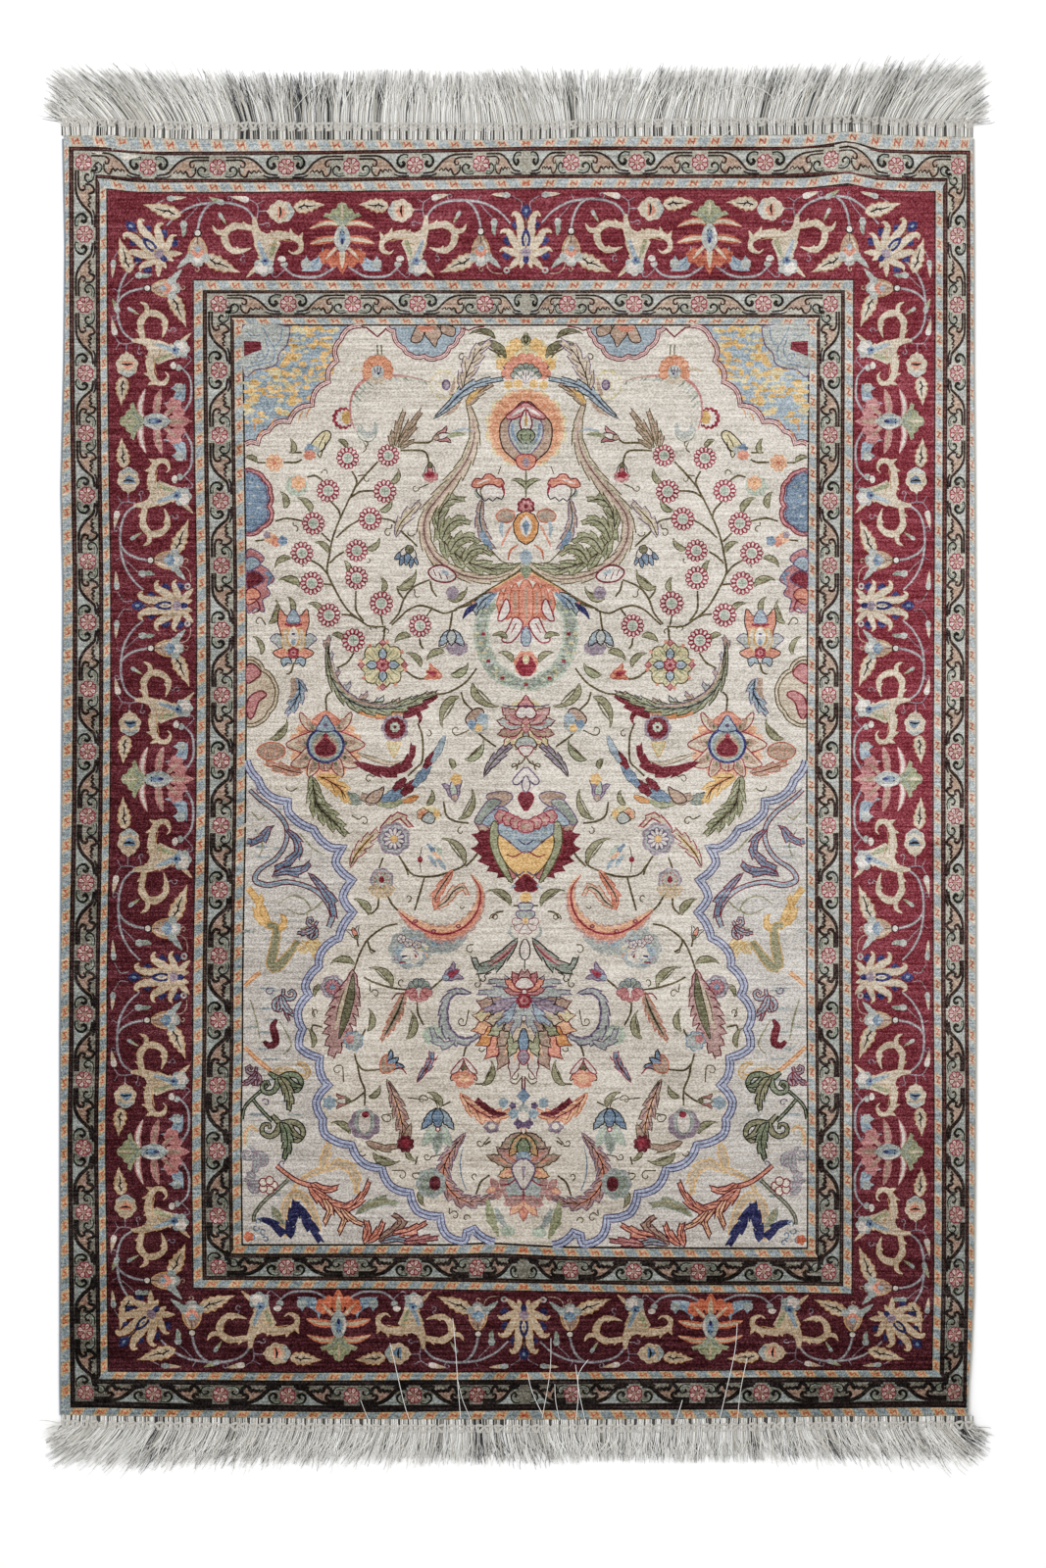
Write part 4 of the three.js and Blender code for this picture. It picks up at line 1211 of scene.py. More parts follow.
def horseshoe():
    # the faded ring that hangs below the lotus
    x = fold
    path = [(x - 31, 616), (x - 42, 626), (x - 46, 642), (x - 44, 660), (x - 37, 677), (x - 23, 691),
            (x, 698)]
    stroke("mint", path, (8, 15, 17, 17, 17, 16.6, 16), 17, 0.12)
    stroke("greyGreen", path, (4, 10, 12, 12, 12, 11.6, 11), 21, 0.3)
    draw = random.Random(11)
    line = smoothLine(path)
    for _ in range(90):
        px, py = line[draw.randrange(len(line))]
        paint(draw.choice(("mist", "leafGreen", "mint", "greyGreen", "mint", "sand")),
              oval(px + draw.uniform(-6, 6), py + draw.uniform(-5, 5), draw.uniform(1.6, 3.4),
                   draw.uniform(1, 1.8), count=6))
    for px, py in ((493, 647), (498, 674.6), (512.4, 692)):
        paint("red", [(px - 2, py - 1.7), (px + 2, py - 1.7), (px + 2, py + 1.7), (px - 2, py + 1.7)])
    paint("red", [(x - 2, 697), (x + 2, 697), (x + 2, 700.4), (x - 2, 700.4)])
    ghost(x, 676, 17, "ivory", 1.05)
    paint("coral", lobed(x, 677, 13, 7, 0.14, 12, high=1.05))
    paint("red", lobed(x, 680, 10.6, 6, 0.14, 30, high=1.05))
    paint("sand", oval(x, 673, 3.4, 5.0))


def blueBloom(x, y, turn, size=1.0, petal="blue", inner="white"):
    pen = stamp(x, y, turn, size)
    for dx, tipX, tipY in ((-7, -13, 12), (7, 13, 12), (-3.6, -6, 17), (3.6, 6, 17), (0, 0, 15)):
        outlined(pen, petal, [(0, -3), (dx - 3.4, 4), (tipX, tipY), (dx + 3.4, 6)], "darkLine", 0.8)
    outlined(pen, inner, [(-5, -3), (-9, 3), (-7, 6), (-2, 2)], "darkLine", 0.8)
    outlined(pen, inner, [(5, -3), (9, 3), (7, 6), (2, 2)], "darkLine", 0.8)
    outlined(pen, "olive", [(-3, -6), (3, -6), (4, -1), (0, 2), (-4, -1)], "darkLine", 0.7)


def pomegranate():
    # the tall palmette at the left, a vase in red sepals
    pen = stamp(296.4, 648)

    def half(put):
        outlined(put, "coral",
                 [(-3, -17), (-9, -20), (-14, -26), (-15.6, -13), (-13, -4), (-11, 6), (-5, 2), (-3, -8)],
                 "darkLine")
        outlined(put, "mist", [(-13, 2), (-17, -1), (-23.6, 4), (-18, 9), (-13, 14), (-9, 10)], "purple")
        outlined(put, "coral", [(-2, 16), (-9, 13), (-20.6, 18), (-14, 23), (-7, 24), (0, 22)], "darkLine")
        outlined(put, "paleBlue", [(-5, 23), (-12, 25), (-10, 32), (-6, 28), (-2, 29)], "darkLine")
        outlined(put, "cream",
                 [(-1, 18), (-7, 16), (-11.6, 7), (-9.6, -5), (-6, -6), (-7, 6), (-3, 12), (0, 12)], "gold")
    bothWays(half, pen)
    outlined(pen, "paleBlue", [(0, -26), (-4, -21), (-6.6, -14), (0, -12), (6.6, -14), (4, -21)], "purple")
    pen("red", ribbon([(-9, -11), (0, -9), (9, -11)], (2, 3.4, 2)))
    outlined(pen, "white", [(0, -8), (-5.6, 0), (-4, 8), (0, 12), (4, 8), (5.6, 0)], "gold")
    pen("navy", oval(0, -1, 2.2, 1.1, count=6))
    pen("paleBlue", oval(0, 7, 2.6, 3.4))
    paint("red", lobed(296.4, 666, 6.4, 6, 0.2))
    paint("rose", oval(296.4, 666, 3))
    paint("red", oval(296.4, 666, 1.4, count=6))


def quatrefoil():
    # the eight-lobed flower above the great crescent
    x, y = 388.8, 678.6
    paint("stalk", lobed(x, y, 24.6, 8, 0.16, 22.5, perLobe=5))
    paint("sand", lobed(x, y, 23.2, 8, 0.18, 22.5, perLobe=5))
    for k in range(8):
        angle = math.radians(22.5 + 45 * k)
        for off in (-0.16, 0.0, 0.16):
            stroke("leafGreen", [(x + 9 * math.cos(angle + off), y + 9 * math.sin(angle + off)),
                                 (x + 20 * math.cos(angle + off * 1.3),
                                  y + 20 * math.sin(angle + off * 1.3))], (0.8, 2.0, 0.8))
    for k in range(4):
        angle = math.radians(90 * k)
        c, s = math.cos(angle), math.sin(angle)
        for yarn, rim, shape in (("paleBlue", "darkLine",
                                  [(5, 0), (9, -3.4), (13, -3.4), (17, 0), (13, 3.4), (9, 3.4)]),
                                 ("rose", "red", [(19.6, 0), (22.4, -3), (25.4, 0), (22.4, 3)])):
            outlined(paint, yarn, [(x + a * c - b * s, y + a * s + b * c) for a, b in shape], rim, 0.9, False)
    paint("red", lobed(x, y, 7.6, 8, 0.2))
    paint("rose", lobed(x, y, 5.6, 8, 0.3))
    paint("red", oval(x, y, 2.2))
    for k in range(8):
        angle = math.radians(11 + 45 * k)
        paint("coral", oval(x + 24 * math.cos(angle), y + 24 * math.sin(angle), 2.0, 2.0, count=6))


def edgeMedallions():
    # three halves against the field's side
    shape = scallops([(249, 480.6), (258, 482), (268, 490), (274, 503), (272, 517), (275, 527), (265, 538),
                      (249, 545)], -0.16)
    paint("blue", shape)
    doubleLine(shape, "crimson", "rose", 5.2, 2.4)
    paint("purple", plainRibbon([(x - 4.4, y) for x, y in shape], 1.1))
    for x, y in ((254, 492), (261, 497), (257, 506), (262, 518), (255, 527), (253, 514)):
        paint("mist", oval(x, y, 2.4, 1.2, count=6))
    for points, fill, dark in (
            ([(249, 566), (258, 563), (266, 570), (262, 576), (270, 582), (276, 592), (268, 598), (272, 606),
              (264, 612), (266, 624), (258, 620), (249, 622)], "rose", "purple"),
            ([(249, 571), (256, 569), (262, 575), (256, 580), (249, 582)], "paleBlue", "purple"),
            ([(249, 586), (258, 584), (266, 591), (258, 597), (249, 599)], "crimson", "purple"),
            ([(249, 603), (256, 601), (262, 607), (256, 614), (249, 616)], "coral", "crimson")):
        outlined(paint, fill, points, dark, 1.0)
    stroke("blue", [(267, 584), (273, 588), (270, 596)], (3, 4.4, 1.4))
    stroke("crimson", [(250, 612), (258, 612), (262, 622), (254, 626)], (1.4, 1.8, 1.8, 1.2))
    shape = scallops([(249, 672), (258, 674), (265, 684), (276, 695), (278.6, 712), (271, 727), (262, 737),
                      (249, 740)], -0.12)
    paint("cream", shape)
    doubleLine(shape, "stalk", "cream", 4.8, 2.2)
    outlined(paint, "rose", [(249, 680), (256, 679), (262, 687), (256, 693), (249, 696)], "crimson", 1.2)
    outlined(paint, "rose",
             [(249, 724), (252, 712), (262, 706), (268, 709), (260, 716), (256, 728), (252, 733)], "crimson",
             1.2)


def lotusPalmette():
    # the round-hearted lotus over the middle of the left side
    x, y = 329.8, 760.4
    paint("peach", lobed(x, y + 2, 39, 18, 0.14, -90, perLobe=3, high=0.86))
    paint("coral", lobed(x, y + 1, 31, 9, 0.2, -90, perLobe=5, high=0.86))
    pen = stamp(x, y)

    def half(put):
        for points in ([(-3, -20), (-14, -22), (-26, -33), (-24, -22), (-14, -14)],
                       [(-12, -12), (-24, -10), (-40, -1), (-30, 5), (-18, 6)],
                       [(-18, 3), (-28, 12), (-35, 20), (-24, 23), (-14, 17)],
                       [(-14, 14), (-18, 24), (-17, 32), (-9, 26), (-6, 18)],
                       [(-6, 16), (-6, 22), (0, 26), (0, 17)]):
            outlined(put, "cream", points, "red", 0.9)
            cx = sum(p[0] for p in points) / len(points)
            cy = sum(p[1] for p in points) / len(points)
            notchedPetal(put, (cx * 0.5, cy * 0.5), (cx * 1.25, cy * 1.25), 8, "tan", "rust", 0.3)
            put("olive", oval(cx * 0.84, cy * 0.84, 1.8, 2.6, count=6))
    bothWays(half, pen)
    outlined(pen, "coral", [(-14, -24), (-7, -31), (0, -34), (7, -31), (14, -24), (7, -21), (-7, -21)],
             "rust", 0.8)
    paint("navy", oval(x, y, 20, 18.6))
    paint("paleBlue", oval(x, y, 17.2, 16.2))
    paint("greyGreen", oval(x, y + 0.6, 15.2, 14.6))
    paint("tan", oval(x, y + 1.6, 12.4, 12.0))
    outlined(paint, "crimson", [(x, y - 7), (x - 6, y - 2), (x - 10, y + 3), (x - 8, y + 9), (x, y + 10.6),
                                (x + 8, y + 9), (x + 10, y + 3), (x + 6, y - 2)], "red", 0.8)
    paint("red", [(x, y - 13), (x - 3.4, y - 9.6), (x, y - 6), (x + 3.4, y - 9.6)])
    outlined(paint, "paleBlue",
             [(x, y - 30), (x - 5, y - 23), (x - 9, y - 16), (x, y - 14), (x + 9, y - 16), (x + 5, y - 23)],
             "navy", 0.9)
    paint("purple", oval(x, y - 20, 2.2, 2.2, count=8))


def greatCrescent():
    # the long leaf over the rosette, feathered above and orange below, that ends in crimson
    spine = [(331.6, 655), (332, 675), (337, 695), (348, 710), (364, 719.6), (382, 723), (400, 722.6),
             (420, 716.6), (444, 707)]
    stroke("rust", [(364, 727), (378, 730), (396, 730), (410, 727)], (3, 7, 9, 3), 5, 0.25)
    stroke("orange", [(365, 727), (378, 729.6), (396, 729.6), (409, 727)], (2, 5.4, 7.4, 2), 5, 0.25)
    plume([(409, 732), (421, 724), (432, 716), (444, 708)], (5, 12, 12, 2), "crimson", "crimson", 4, 0.34,
          None)
    stroke("crimson", [(424, 725), (428, 733), (426, 739)], (6, 5, 1))
    line = smoothLine(spine)
    for k in range(9):
        share = (k + 0.6) / 9.6
        base = line[int(share * (len(line) - 1))]
        lean = math.radians(-84 + 62 * share)
        reach = 15 - 5 * abs(share - 0.5)
        tip = (base[0] + reach * math.cos(lean), base[1] + reach * math.sin(lean))
        middle = ((base[0] + tip[0]) / 2 - 2, (base[1] + tip[1]) / 2 + 1)
        plume([base, middle, tip], (5, 6.4, 1), "mist" if k % 2 else "tan", "purple" if k < 5 else "darkLine",
              2, 0.2, None, 0.7)
    plume(spine, (1, 5, 9, 12, 13, 12.4, 11, 7, 1), "leafGreen", "darkLine", 13, 0.3, shade="greyGreen")
    stroke("tan", [(x + 3.0, y - 2.6) for x, y in spine[1:7]], (0.8, 2.2, 2.8, 2.4, 0.8))
    stroke("purple", [(x + 4.6, y - 4.2) for x, y in spine[1:7]], (0.6, 0.9, 0.9, 0.6))
    ghost(401.6, 743, 14.6, "lilac")
    paint("crimson", lobed(401.6, 743, 11.4, 12, 0.1, perLobe=3))
    paint("mint", lobed(401.6, 742, 5.4, 8, 0.2))
    paint("crimson", oval(401.6, 742, 1.8, count=7))
    outlined(paint, "sand", [(394, 757), (400.6, 758.6), (407, 757), (404, 766), (400.6, 772), (397, 766)],
             "gold", 0.8)
    # the crimson feather and the many-coloured one under it
    spine = [(359, 777), (375, 784), (394, 788), (410, 783), (418, 773), (420, 761)]
    stroke("stalk", [(362, 768), (378, 774), (396, 779), (411, 776)], (1, 5, 5, 1))
    stroke("cream", [(363, 768.4), (378, 774), (396, 779), (410, 776)], (0.4, 3.6, 3.6, 0.4))
    plume(spine, (1, 8, 10, 10, 8, 2), "crimson", "crimson", 6, 0.3, None)
    feather = [((351, 811), (358, 815), (368, 818), 13, "greyGreen"),
               ((366, 812), (378, 816), (390, 816), 13, "tan"),
               ((384, 820), (397, 821), (411, 817), 8, "leafGreen"),
               ((388, 816), (399, 812), (412, 808), 13, "blue"),
               ((410, 818), (418, 816), (426, 812), 7, "orange"),
               ((400, 806), (407, 800), (413, 794), 9, "crimson"),
               ((409, 811), (417, 803), (424, 796), 11, "crimson"),
               ((421, 802), (430, 791), (438, 781), 11, "blue"),
               ((432, 784), (438, 775), (443, 767), 9, "crimson"),
               ((440, 778), (447, 765), (453, 751), 8, "paleBlue")]
    for a, b, c, width, yarn in feather:
        stroke("darkLine", [a, b, c], (width * 0.6, width + 1.4, width * 0.5), 3, 0.2)
        stroke(yarn, [a, b, c], (width * 0.5, width, width * 0.4), 3, 0.2)
    outlined(paint, "tan", [(372, 817), (378, 809), (386, 806), (390, 803), (388, 812), (382, 819)],
             "darkLine", 0.8)


def goldenLeaf():
    plume([(316, 792), (318, 806), (322, 822), (336, 836), (352, 851)], (6, 16, 19, 15, 1), "leafGreen",
          "stalk", 7, 0.36, shade="olive")
    plume([(322, 792), (334, 797), (346, 806), (353, 818)], (9, 17, 14, 1), "honey", "gold", 4, 0.36,
          shade="orange")
    plume([(306, 789), (294, 787), (282, 783), (269, 779)], (5, 9, 9, 1), "tan", "rust", 4, 0.34,
          shade="coral")
    outlined(paint, "tan",
             [(260, 766), (266, 760), (276, 758), (286, 762), (287, 770), (276, 775), (265, 773)], "rust",
             0.9)
    for x in (266, 272, 278):
        stroke("coral", [(x, 762), (x + 3, 766), (x, 771)], (0.8, 1.1, 0.8))
    plume([(301, 692), (303, 706), (297, 718), (290, 729)], (8, 14, 11, 1), "paleBlue", "purple", 5, 0.34,
          shade="blue")
    stroke("tan", [(296, 692), (297, 704), (293, 714)], (5, 7, 1))
    plume([(356, 885), (362, 872), (372, 860), (384, 848)], (1, 11, 12, 4), "cream", "red", 5, 0.36,
          shade="gold")
    plume([(386, 848), (397, 838), (406, 832), (418, 843)], (4, 6, 5, 1), "cream", "red", 4, 0.36, None, 1.1)


def haloRosettes():
    for x, y, halo, rim, petal, core in ((401, 856, "lilac", "purple", "white", "honey"),
                                         (388.8, 898, "lilac", "rose", "mint", "red"),
                                         (340, 1007, "lilac", "purple", "rose", "blue")):
        size = 1.0 if y < 870 else 0.74
        ghost(x, y, 17.4 * size, halo)
        ghost(x, y, 14.4 * size, "mist")
        paint(rim, lobed(x, y, 12 * size, 11, 0.12, perLobe=3))
        for k in range(11):
            angle = math.tau * (k + 0.5) / 11
            stroke(petal, [(x + 4 * size * math.cos(angle), y + 4 * size * math.sin(angle)),
                           (x + 10.8 * size * math.cos(angle), y + 10.8 * size * math.sin(angle))],
                   (1.4, 3.6 * size, 1.6))
        paint(core, oval(x, y, 3.8 * size))
    fan(penAt(388.8, 902, -1), 14, 6, 150, "gold", "cream")
    paint("red", oval(388.8, 897, 2.4, 3.4))


def vasePalmette():
    # the great palmette at the field's middle: a lily, a drop, a blue bowl on gold
    x = fold
    petalRing(paint, x, 862, ((203, 56, 17, "tan"), (190, 54, 20, "crimson"), (175, 54, 20, "crimson"),
                              (160, 50, 20, "crimson"), (145, 46, 19, "crimson"), (130, 43, 16, "crimson"),
                              (115, 40, 13, "rose")), "crimson", 12, "red")
    for points, fill, dark in (
            ([(x - 30, 822), (x - 40, 812), (x - 24, 808), (x - 14, 812), (x - 20, 820)], "tan", "purple"),
            ([(x - 44, 840), (x - 52, 838), (x - 44, 824), (x - 36, 816), (x - 26, 818), (x - 36, 828)],
             "greyGreen", "purple"),
            ([(x - 34, 842), (x - 44, 840), (x - 36, 830), (x - 24, 824), (x - 18, 830), (x - 26, 836)],
             "paleBlue", "purple"),
            ([(x - 32, 838), (x - 36, 846), (x - 36, 862), (x - 30, 878), (x - 22, 892), (x - 14, 900),
              (x - 22, 880), (x - 28, 862), (x - 28, 846)], "leafGreen", "stalk")):
        outlined(paint, fill, points, dark, 0.9)
    outlined(paint, "honey",
             [(x, 856), (x - 14, 862), (x - 26, 852), (x - 28, 862), (x - 23, 876), (x - 12, 890), (x, 896)],
             "stalk", 0.9)
    outlined(paint, "paleBlue",
             [(x, 838), (x - 16, 842), (x - 26, 838), (x - 27, 850), (x - 16, 858), (x - 9, 865), (x, 868)],
             "purple", 0.9)
    for dx, y in ((-20, 849), (-11, 852), (-4, 859), (-15, 857)):
        paint("mist", oval(x + dx, y, 3.4, 1.1, count=6))
    stroke("navy", [(x - 1, 862), (x - 8, 857)], (1.6, 1))
    for k in range(4):
        outlined(paint, "rose", lobed(x - 25 + 7.6 * k, 833 + 3.4 * k, 6.4, 5, 0.2, 10 * k), "red", 0.9,
                 False)
        paint("tan", oval(x - 25 + 7.6 * k, 833 + 3.4 * k, 2.8, 2.8, count=8))
    outlined(paint, "crimson", [(x, 827), (x - 5, 821), (x - 7.6, 814), (x - 4, 808.6), (x, 811)], "red", 0.8)
    outlined(paint, "white", [(x, 784), (x - 5, 787), (x - 13, 797), (x - 9, 800), (x - 3, 795), (x, 799)],
             "purple", 1.1)
    outlined(paint, "white", [(x, 792), (x - 3.6, 800), (x - 2, 806), (x, 808)], "purple", 1.0)
    stroke("red", [(x - 1, 868), (x - 12, 874), (x - 20, 872)], (1, 1.6, 1))
    # below the bowl, down to the little rosette
    outlined(paint, "crimson", [(x, 893), (x - 6, 897), (x - 12, 904), (x - 8, 909), (x, 907)], "red", 0.9)
    stroke("paleBlue", [(x - 11, 903), (x - 17, 907)], (3, 1))
    stroke("purple", [(x - 1, 889), (x - 8, 893), (x - 11, 889)], (1.4, 1.8, 1))
    paint("honey", lobed(x, 916, 6.4, 6, 0.2, 30))
    for y, wide, dark in ((926, 7, "purple"), (934, 9, "purple")):
        outlined(paint, "mist", [(x, y - 4), (x - wide, y - 3), (x - wide + 2, y + 2), (x, y + 4)], dark, 1.0)
    fan(penAt(x, 940, -1), 13, 6, 210, "red", "white")
    stroke("mist", [(x - 14, 944), (x - 16, 952), (x - 10, 958)], (2, 3, 2))
    paint("honey", oval(x, 939, 3, 3))
    outlined(paint, "white", [(x, 959), (x - 4, 965), (x - 4.6, 973), (x - 2, 978), (x, 979)], "darkLine",
             0.9)
    stroke("darkLine", [(x, 979), (x, 990)], (1.2, 1.2))


def coralCrescent():
    # a crescent leaf with a soft coral rim, and the washed-out chrysanthemum behind it
    spine = [(480, 893), (488, 903), (490.4, 916), (486, 932), (474, 946), (456, 953), (438, 951), (421, 942),
             (406, 929)]
    stroke("mist", [(411, 946), (424, 958), (442, 966), (462, 965), (478, 954)], (4, 11, 15, 13, 3), 9, 0.2)
    stroke("paleBlue", [(413, 947), (426, 957), (444, 962), (462, 959)], (2, 7, 8, 2))
    stroke("blush", spine, (1, 9, 14, 19, 22, 22, 20, 14, 2), 13, 0.34)
    stroke("peach", [(x, y - 1.4) for x, y in spine], (0.6, 7, 10, 14, 16, 16, 15, 11, 1), 15, 0.36)
    stroke("coral", [(x + 0.6, y + 1.4) for x, y in spine], (0.4, 5, 7, 8, 9, 9, 8.6, 6.4, 0.6), 11, 0.3)
    stroke("red", spine, (0.4, 1.4, 1.8, 2, 2, 2, 2, 1.8, 0.6))
    for x, y in ((443, 950), (468, 945), (424, 940)):
        paint("red", oval(x, y, 2.8, 2.2, count=7))
        paint("blush", oval(x, y, 1.4, 1.1, count=6))
    plume([(462, 888), (452, 902), (444, 916), (446, 927)], (3, 8, 9, 2), "coral", "rust", 5, 0.36,
          shade="tan")
    plume([(446, 926), (456, 919), (462, 910), (472, 905), (477, 913)], (3, 8, 8, 5, 1), "cream", "rust", 5,
          0.34, shade="tan")
    ghost(419, 968, 23, "mist", 0.92, 9)
    ghost(420, 971, 17, "paleBlue", 0.86, 9)
    ghost(421, 974, 12, "ivory", 0.86, 7)
    draw = random.Random(5)
    tufts = ("mint", "paleBlue", "ivory", "lilac", "paleBlue", "peach", "sand", "red", "navy", "honey")
    for k in range(30):
        angle, reach = draw.uniform(0, math.tau), draw.uniform(2, 17)
        yarn = draw.choice(tufts[: 7 + k % 4])
        root = (420 + reach * math.cos(angle), 970 + reach * 0.86 * math.sin(angle))
        tip = (420 + (reach + 5) * math.cos(angle + 0.3), 970 + (reach + 4) * 0.86 * math.sin(angle + 0.3))
        stroke(yarn, [root, tip], (1.2, 2.4), step=9)
    for x, y in ((410, 958), (417, 962), (426, 964)):
        daisy(x, y, 4.2, 5, "white", "purple", "crimson")


def sideFlowers():
    tulip(364, 957, -112, 0.78, "white", "coral", "darkLine")
    tulip(455, 998, -30, 1.15, "lilac", "red", "purple", "paleBlue")
    tulip(463.6, 815, -100, 1.2, "lilac", "mint", "purple", "tan")
    paint("honey", lobed(465, 795, 6.4, 5, 0.24))
    tulip(448, 690, -160, 1.0, "coral", "red", "rust", "coral")
    tulip(444, 447, -15, 1.0, "rose", "white", "darkLine", "tan")
    stroke("leafGreen", [(456, 446), (466, 443), (475, 444)], (3, 6, 1))
    stroke("paleBlue", [(462, 440), (474, 438), (482, 440)], (1, 3, 0.8))
    tulip(438.4, 474, 90, 0.9, "white", "rose", "darkLine")
    paint("rose", lobed(439, 486.6, 8.6, 6, 0.24, high=0.74))
    paint("red", lobed(438, 484.6, 5.6, 5, 0.24, high=0.7))
    # the drooping lily in the upper left
    pen = stamp(325, 451, 128)
    outlined(pen, "sand", [(-14, -2), (-10, -6), (4, -7), (12, -10), (9, -3), (12, 3), (5, 5), (-10, 3)],
             "darkLine", 0.9)
    pen("darkLine", ribbon([(-9, 0), (3, -2), (8, -5)], (1, 1, 0.6)))
    paint("blue", lobed(315, 458, 5.6, 5, 0.3))
    paint("mist", lobed(322, 459.6, 4.6, 5, 0.3))
    stroke("darkLine", [(325, 461), (330, 458), (331, 451)], (1.2, 2, 1))
    paint("coral", lobed(314.6, 464.6, 6.8, 7, 0.2, high=0.8))
    daisy(278.6, 472.4, 8.4, 8, "peach", "rust", "orange")
    ghost(301, 496, 12, "mint", 0.9)
    daisy(303, 493, 8.4, 6, "peach", "orange", None)
    paint("peach", lobed(273, 549, 6.4, 6, 0.22))
    paint("coral", lobed(279, 553, 5.6, 6, 0.22))
    paint("blue", lobed(286, 552, 5.4, 5, 0.22))
    paint("lilac", lobed(270, 546, 4, 5, 0.22))
    blueBloom(416, 563, 14, 0.92)
    # half a flower beside the lyre's foot
    outlined(paint, "white",
             [(437, 583), (446, 578), (456, 580), (464, 588), (458, 593), (448, 593), (441, 590)], "crimson",
             1.3)
    for x, y in ((444, 585), (450, 588), (456, 588)):
        stroke("crimson", [(x - 3, y - 4), (x, y + 3)], (0.9, 1.1))
    stroke("paleBlue", [(450, 583), (457, 586)], (4, 3))
    ghost(461, 605, 7, "lilac")
    # the leafy tuft on the ring flower
    for tip, wide, base in (((428, 421), 8, (405, 456)), ((411, 421), 7, (402, 455)),
                            ((400, 441), 6, (400, 456)), ((423, 436), 7, (406, 456)),
                            ((421, 450), 5, (408, 457))):
        plume([base, ((base[0] + tip[0]) / 2 - 1, (base[1] + tip[1]) / 2), tip], (3, wide, 0.8), "tan",
              "stalk", 2, 0.2, "olive")
    plume([(402, 548), (408, 534), (417, 524), (427, 513)], (3, 10, 11, 1), "cream", "purple", 4, 0.4,
          shade="sand")
    ghost(466, 661, 12, "lilac", 0.7)
    petalRing(paint, 460, 643, ((128, 20, 8, "paleBlue"), (52, 20, 8, "paleBlue"), (90, 15, 9, "mist")),
              "darkLine", 1)
    # flowers to the right of the great crescent
    ghost(488, 738, 11, "mist")
    outlined(paint, "tan", [(475, 735), (480, 727), (488, 723), (493, 727), (486, 733), (482, 742)],
             "darkLine", 0.9)
    paint("paleBlue", lobed(492, 733, 6.4, 5, 0.24))
    paint("blue", lobed(481, 739, 5.2, 5, 0.24))
    paint("honey", lobed(488, 743, 4.4, 5, 0.24))
    plume([(493, 792), (502, 778), (512, 768), (521, 760)], (1, 9, 9, 2), "lilac", "darkLine", 5, 0.34,
          shade="greyGreen")
    ghost(437, 831, 12, "sand", 0.8)
    daisy(431, 831, 6.4, 6, "peach", "rust", "stalk")
    outlined(paint, "mist", [(430, 836), (437, 829), (443, 834), (439, 840)], "darkLine", 0.8)
    paint("honey", lobed(445, 830, 4, 5, 0.24))
    # loose tufts left by the weaver's changes of yarn
    for x, y, yarn in ((440, 866, "blue"), (446, 874, "peach"), (450, 881, "paleBlue"),
                       (441, 878, "paleBlue"), (447, 867, "mint")):
        stroke(yarn, [(x - 5, y - 5), (x, y), (x + 4, y + 7)], (2, 6, 1), 2, 0.3)
    paint("red", oval(428, 877, 2.8, 3.2))
    twig([(428, 874), (430, 864)], 1.2)
    twig([(428, 880), (429, 890)], 1.2)


def middleSmallPalmette():
    x = fold
    ghost(x, 740, 25, "sand", 1.1, 9)
    petalRing(paint, x, 741, ((112, 25, 11, "mist"), (138, 30, 13, "sand"), (163, 29, 12, "tan"),
                              (190, 29, 12, "mist"), (217, 30, 13, "blush")), "crimson", 5, "rose")
    outlined(paint, "rose", [(x, 710), (x - 3, 715), (x - 8, 721), (x, 722)], "crimson", 1.0)
    stroke("navy", [(x, 720), (x - 14, 721), (x - 24, 719)], (1.4, 1.2, 1))
    outlined(paint, "white", [(x, 723), (x - 6, 722), (x - 10, 729), (x - 5, 733), (x, 730)], "crimson", 1.1)
    for y in (737, 744):
        outlined(paint, "rose", [(x, y - 4), (x - 4, y), (x, y + 4)], "crimson", 1.0, False)
    outlined(paint, "mist", [(x, 752), (x - 8, 755), (x - 10, 761), (x - 4, 764), (x, 760)], "stalk", 0.9)
    outlined(paint, "white", [(x, 762), (x - 7, 763), (x - 4, 769), (x, 771)], "red", 1.0)
    twig([(x, 771), (x - 4, 778), (x - 14, 783)], 1.8)


